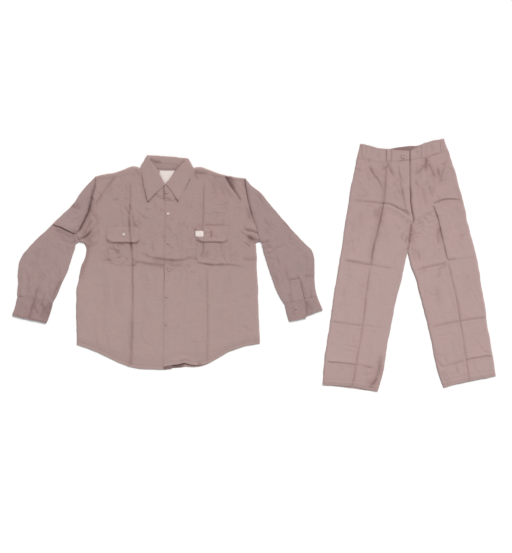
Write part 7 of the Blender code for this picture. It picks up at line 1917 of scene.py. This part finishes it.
lines = [stitch_line(on(cuff_right), [(18.0, 298.2), (35.0, 301.0), (51.9, 303.8)]), stitch_line(on(cuff_right), [(13.6, 313.4), (30.0, 317.2), (46.4, 320.8)]),
         stitch_line(on(cuff_left), [(285.8, 306.2), (295.0, 303.8), (303.6, 301.9)]), stitch_line(on(cuff_left), [(289.2, 318.8), (297.0, 317.2), (305.0, 315.6)]),
         stitch_line(on(cuff_left), [(306.0, 300.9), (312.0, 299.4), (317.2, 298.0)]), stitch_line(on(cuff_left), [(307.6, 313.2), (314.0, 311.0), (321.0, 308.4)]),
         stitch_line(on(sleeve_placket), [(291.0, 300.0), (290.4, 288.6), (290.2, 282.4), (298.8, 281.0), (300.0, 288.0), (302.4, 299.0)], corners={2, 3})]
stitches("shirt_stitches_cuffs", lines, THREAD)
lines = [buttonhole(on(front_left), x, y) for x, y in ((168.2, 213.9), (168.3, 243.4), (169.2, 270.4), (166.8, 296.8), (166.0, 324.1))]
lines += [buttonhole(on(stand), 167.4, 192.4, 1.9, 20.0), buttonhole(on(flap_right), 123.8, 235.4), buttonhole(on(flap_left), 211.2, 234.0, 2.4),
          buttonhole(on(cuff_left), 296.4, 308.2, 1.9, 167.0)]
stitches("shirt_buttonholes", lines, THREAD, 0.00016)
lines = [stitch_line(on(label), [(160.3, 171.4), (175.2, 171.4)], pitch=0.5, length=0.36)]
lines += [stitch_line(on(tab), [(195.8, 231.4), (203.2, 231.4), (203.2, 236.2), (195.8, 236.2), (195.8, 231.4)], corners={1, 2, 3}, pitch=0.5, length=0.36)]
stitches("shirt_stitches_tapes", lines, THREAD, 0.00014)

lines = [stitch_line(on(leg_right), [(398.0 + d, 163.4), (398.8 + d, 177.0), (401.2 + d, 190.0), (404.2 + d, 203.0), (406.6 + d, 212.6)]) for d in (0.0, 1.3)]
lines += [stitch_line(on(leg_right), [(324.4, 377.9), (353.3, 379.7), (379.6, 384.6)]), stitch_line(on(leg_left), [(494.2, 369.2), (467.8, 374.4), (441.6, 380.1)])]
for band, rows in ((band_right, BAND_RIGHT), (band_left, BAND_LEFT)):
    for f in (0.08, 0.88):
        lines.append(stitch_line(on(band), [(r["tx"] + (r["bx"] - r["tx"]) * f, r["ty"] + (r["by"] - r["ty"]) * f) for r in rows]))
for l, r in zip(loops, LOOPS):
    for f in (0.2, 0.8):
        lines.append(stitch_line(on(l), [(r["x0"] + (r["x1"] - r["x0"]) * f, r["y_top0"] + (r["y_top1"] - r["y_top0"]) * f + 0.6),
                                         (r["x0"] + (r["x1"] - r["x0"]) * f, r["y_low0"] + (r["y_low1"] - r["y_low0"]) * f - 0.6)]))
lines.append(buttonhole(on(band_right), 403.4, 156.0, 2.6, 6.0))
stitches("trousers_stitches", lines, THREAD_T)

# ================================================================ cloth pieces, with their CAD parts hidden
SHEETS = [
    (front_right, "shirt_front_right", (0.385, 0.79), 0.262, ["shirt_back_cloth"]),
    (front_left, "shirt_front_left", (0.380, 0.78), 0.258, ["shirt_back_cloth"]),
    (back, "shirt_back", (0.735, 0.70), 0.485, ["floor"]),
    (yoke, "shirt_yoke", (0.62, 0.15), 0.0645, ["floor"]),
    (sleeve_right, "shirt_sleeve_right", (0.50, 0.46), 0.134, ["floor"]),
    (sleeve_left, "shirt_sleeve_left", (0.50, 0.46), 0.132, ["floor"]),
    (cuff_right, "shirt_cuff_right", (0.29, 0.078), 0.0215, ["floor"]),
    (cuff_left, "shirt_cuff_left", (0.29, 0.066), 0.0185, ["floor"]),
    (sleeve_placket, "shirt_sleeve_placket_left", (0.048, 0.088), 0.0041, ["shirt_sleeve_left_cloth"]),
    (leaf, "shirt_collar_leaf", (0.47, 0.085), 0.0295, ["shirt_front_right_cloth", "shirt_front_left_cloth"]),
    (stand, "shirt_collar_stand", (0.46, 0.045), 0.0190, ["shirt_front_right_cloth", "shirt_yoke_cloth"]),
    (pocket_right, "shirt_pocket_right", (0.122, 0.141), 0.0165, ["shirt_front_right_cloth"]),
    (pocket_left, "shirt_pocket_left", (0.142, 0.138), 0.0185, ["shirt_front_left_cloth"]),
    (flap_right, "shirt_flap_right", (0.133, 0.066), 0.0084, ["shirt_pocket_right_cloth"]),
    (flap_left, "shirt_flap_left", (0.132, 0.065), 0.0082, ["shirt_pocket_left_cloth"]),
    (label, "shirt_label_neck", (0.066, 0.055), None, ["shirt_yoke_cloth"]),
    (tab, "shirt_tab_pocket", (0.034, 0.023), None, ["shirt_flap_left_cloth"]),
    (leg_right, "trousers_front_right", (0.265, 0.93), 0.222, ["trousers_back_right_cloth"]),
    (leg_left, "trousers_front_left", (0.270, 0.94), 0.222, ["trousers_back_left_cloth"]),
    (leg_back_right, "trousers_back_right", (0.265, 0.93), 0.220, ["floor"]),
    (leg_back_left, "trousers_back_left", (0.270, 0.94), 0.215, ["floor"]),
    (band_right, "trousers_waistband_right", (0.205, 0.055), 0.0100, ["trousers_waistband_back_cloth"]),
    (band_left, "trousers_waistband_left", (0.190, 0.056), 0.0088, ["trousers_waistband_back_cloth"]),
    (band_back, "trousers_waistband_back", (0.350, 0.055), 0.0165, ["floor"]),
] + [(l, s["name"], (0.016, 0.052), None, ["trousers_waistband_" + s["name"].split("_")[2] + "_cloth"]) for l, s in zip(loops, LOOPS)]
for obj, cad, flat, area, rests in SHEETS:
    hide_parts(cad)

# ====================================================== floor, light, camera
bpy.ops.mesh.primitive_plane_add(size=14.0, location=(0, 0, -0.0002))
floor = bpy.context.object
floor.name = "floor"
floor_mat = bpy.data.materials.new("floor_paper")
floor_mat.use_nodes = True
shader = floor_mat.node_tree.nodes["Principled BSDF"]
shader.inputs["Base Color"].default_value = (0.95, 0.95, 0.95, 1)
shader.inputs["Roughness"].default_value = 0.95
shader.inputs["Specular IOR Level"].default_value = 0.1
floor.data.materials.append(floor_mat)

world = bpy.data.worlds.new("studio")
bpy.context.scene.world = world
world.use_nodes = True
world.node_tree.nodes["Background"].inputs[0].default_value = (1.0, 1.0, 1.0, 1)
world.node_tree.nodes["Background"].inputs[1].default_value = AMBIENT


def sun(name, direction, strength, spread, colour=(1, 1, 1)):
    """Even light from a direction, soft as from a large panel."""
    data = bpy.data.lights.new(name, "SUN")
    data.energy, data.angle, data.color = strength, math.radians(spread), colour
    obj = bpy.data.objects.new(name, data)
    bpy.context.scene.collection.objects.link(obj)
    obj.rotation_euler = Vector(direction).to_track_quat("Z", "Y").to_euler()
    return obj


sun("key", (0.42, 0.95, 0.85), KEY, 26, (1.0, 0.99, 0.98))

cam_data = bpy.data.cameras.new("camera")
camera = bpy.data.objects.new("camera", cam_data)
bpy.context.scene.collection.objects.link(camera)
DISTANCE = 5.0
cam_data.sensor_fit, cam_data.sensor_width = "AUTO", 36.0
cam_data.lens = 18.0 * DISTANCE / (553 / 2 * STEP)
camera.location = ((256 - CENTRE[0]) * STEP, (CENTRE[1] - 276.5) * STEP, DISTANCE + 0.004)
camera.rotation_euler = (0, 0, 0)
cam_data.clip_start, cam_data.clip_end = 0.05, 50
bpy.context.scene.camera = camera
bpy.context.scene.view_settings.view_transform = "Standard"
bpy.context.scene.view_settings.look = "None"
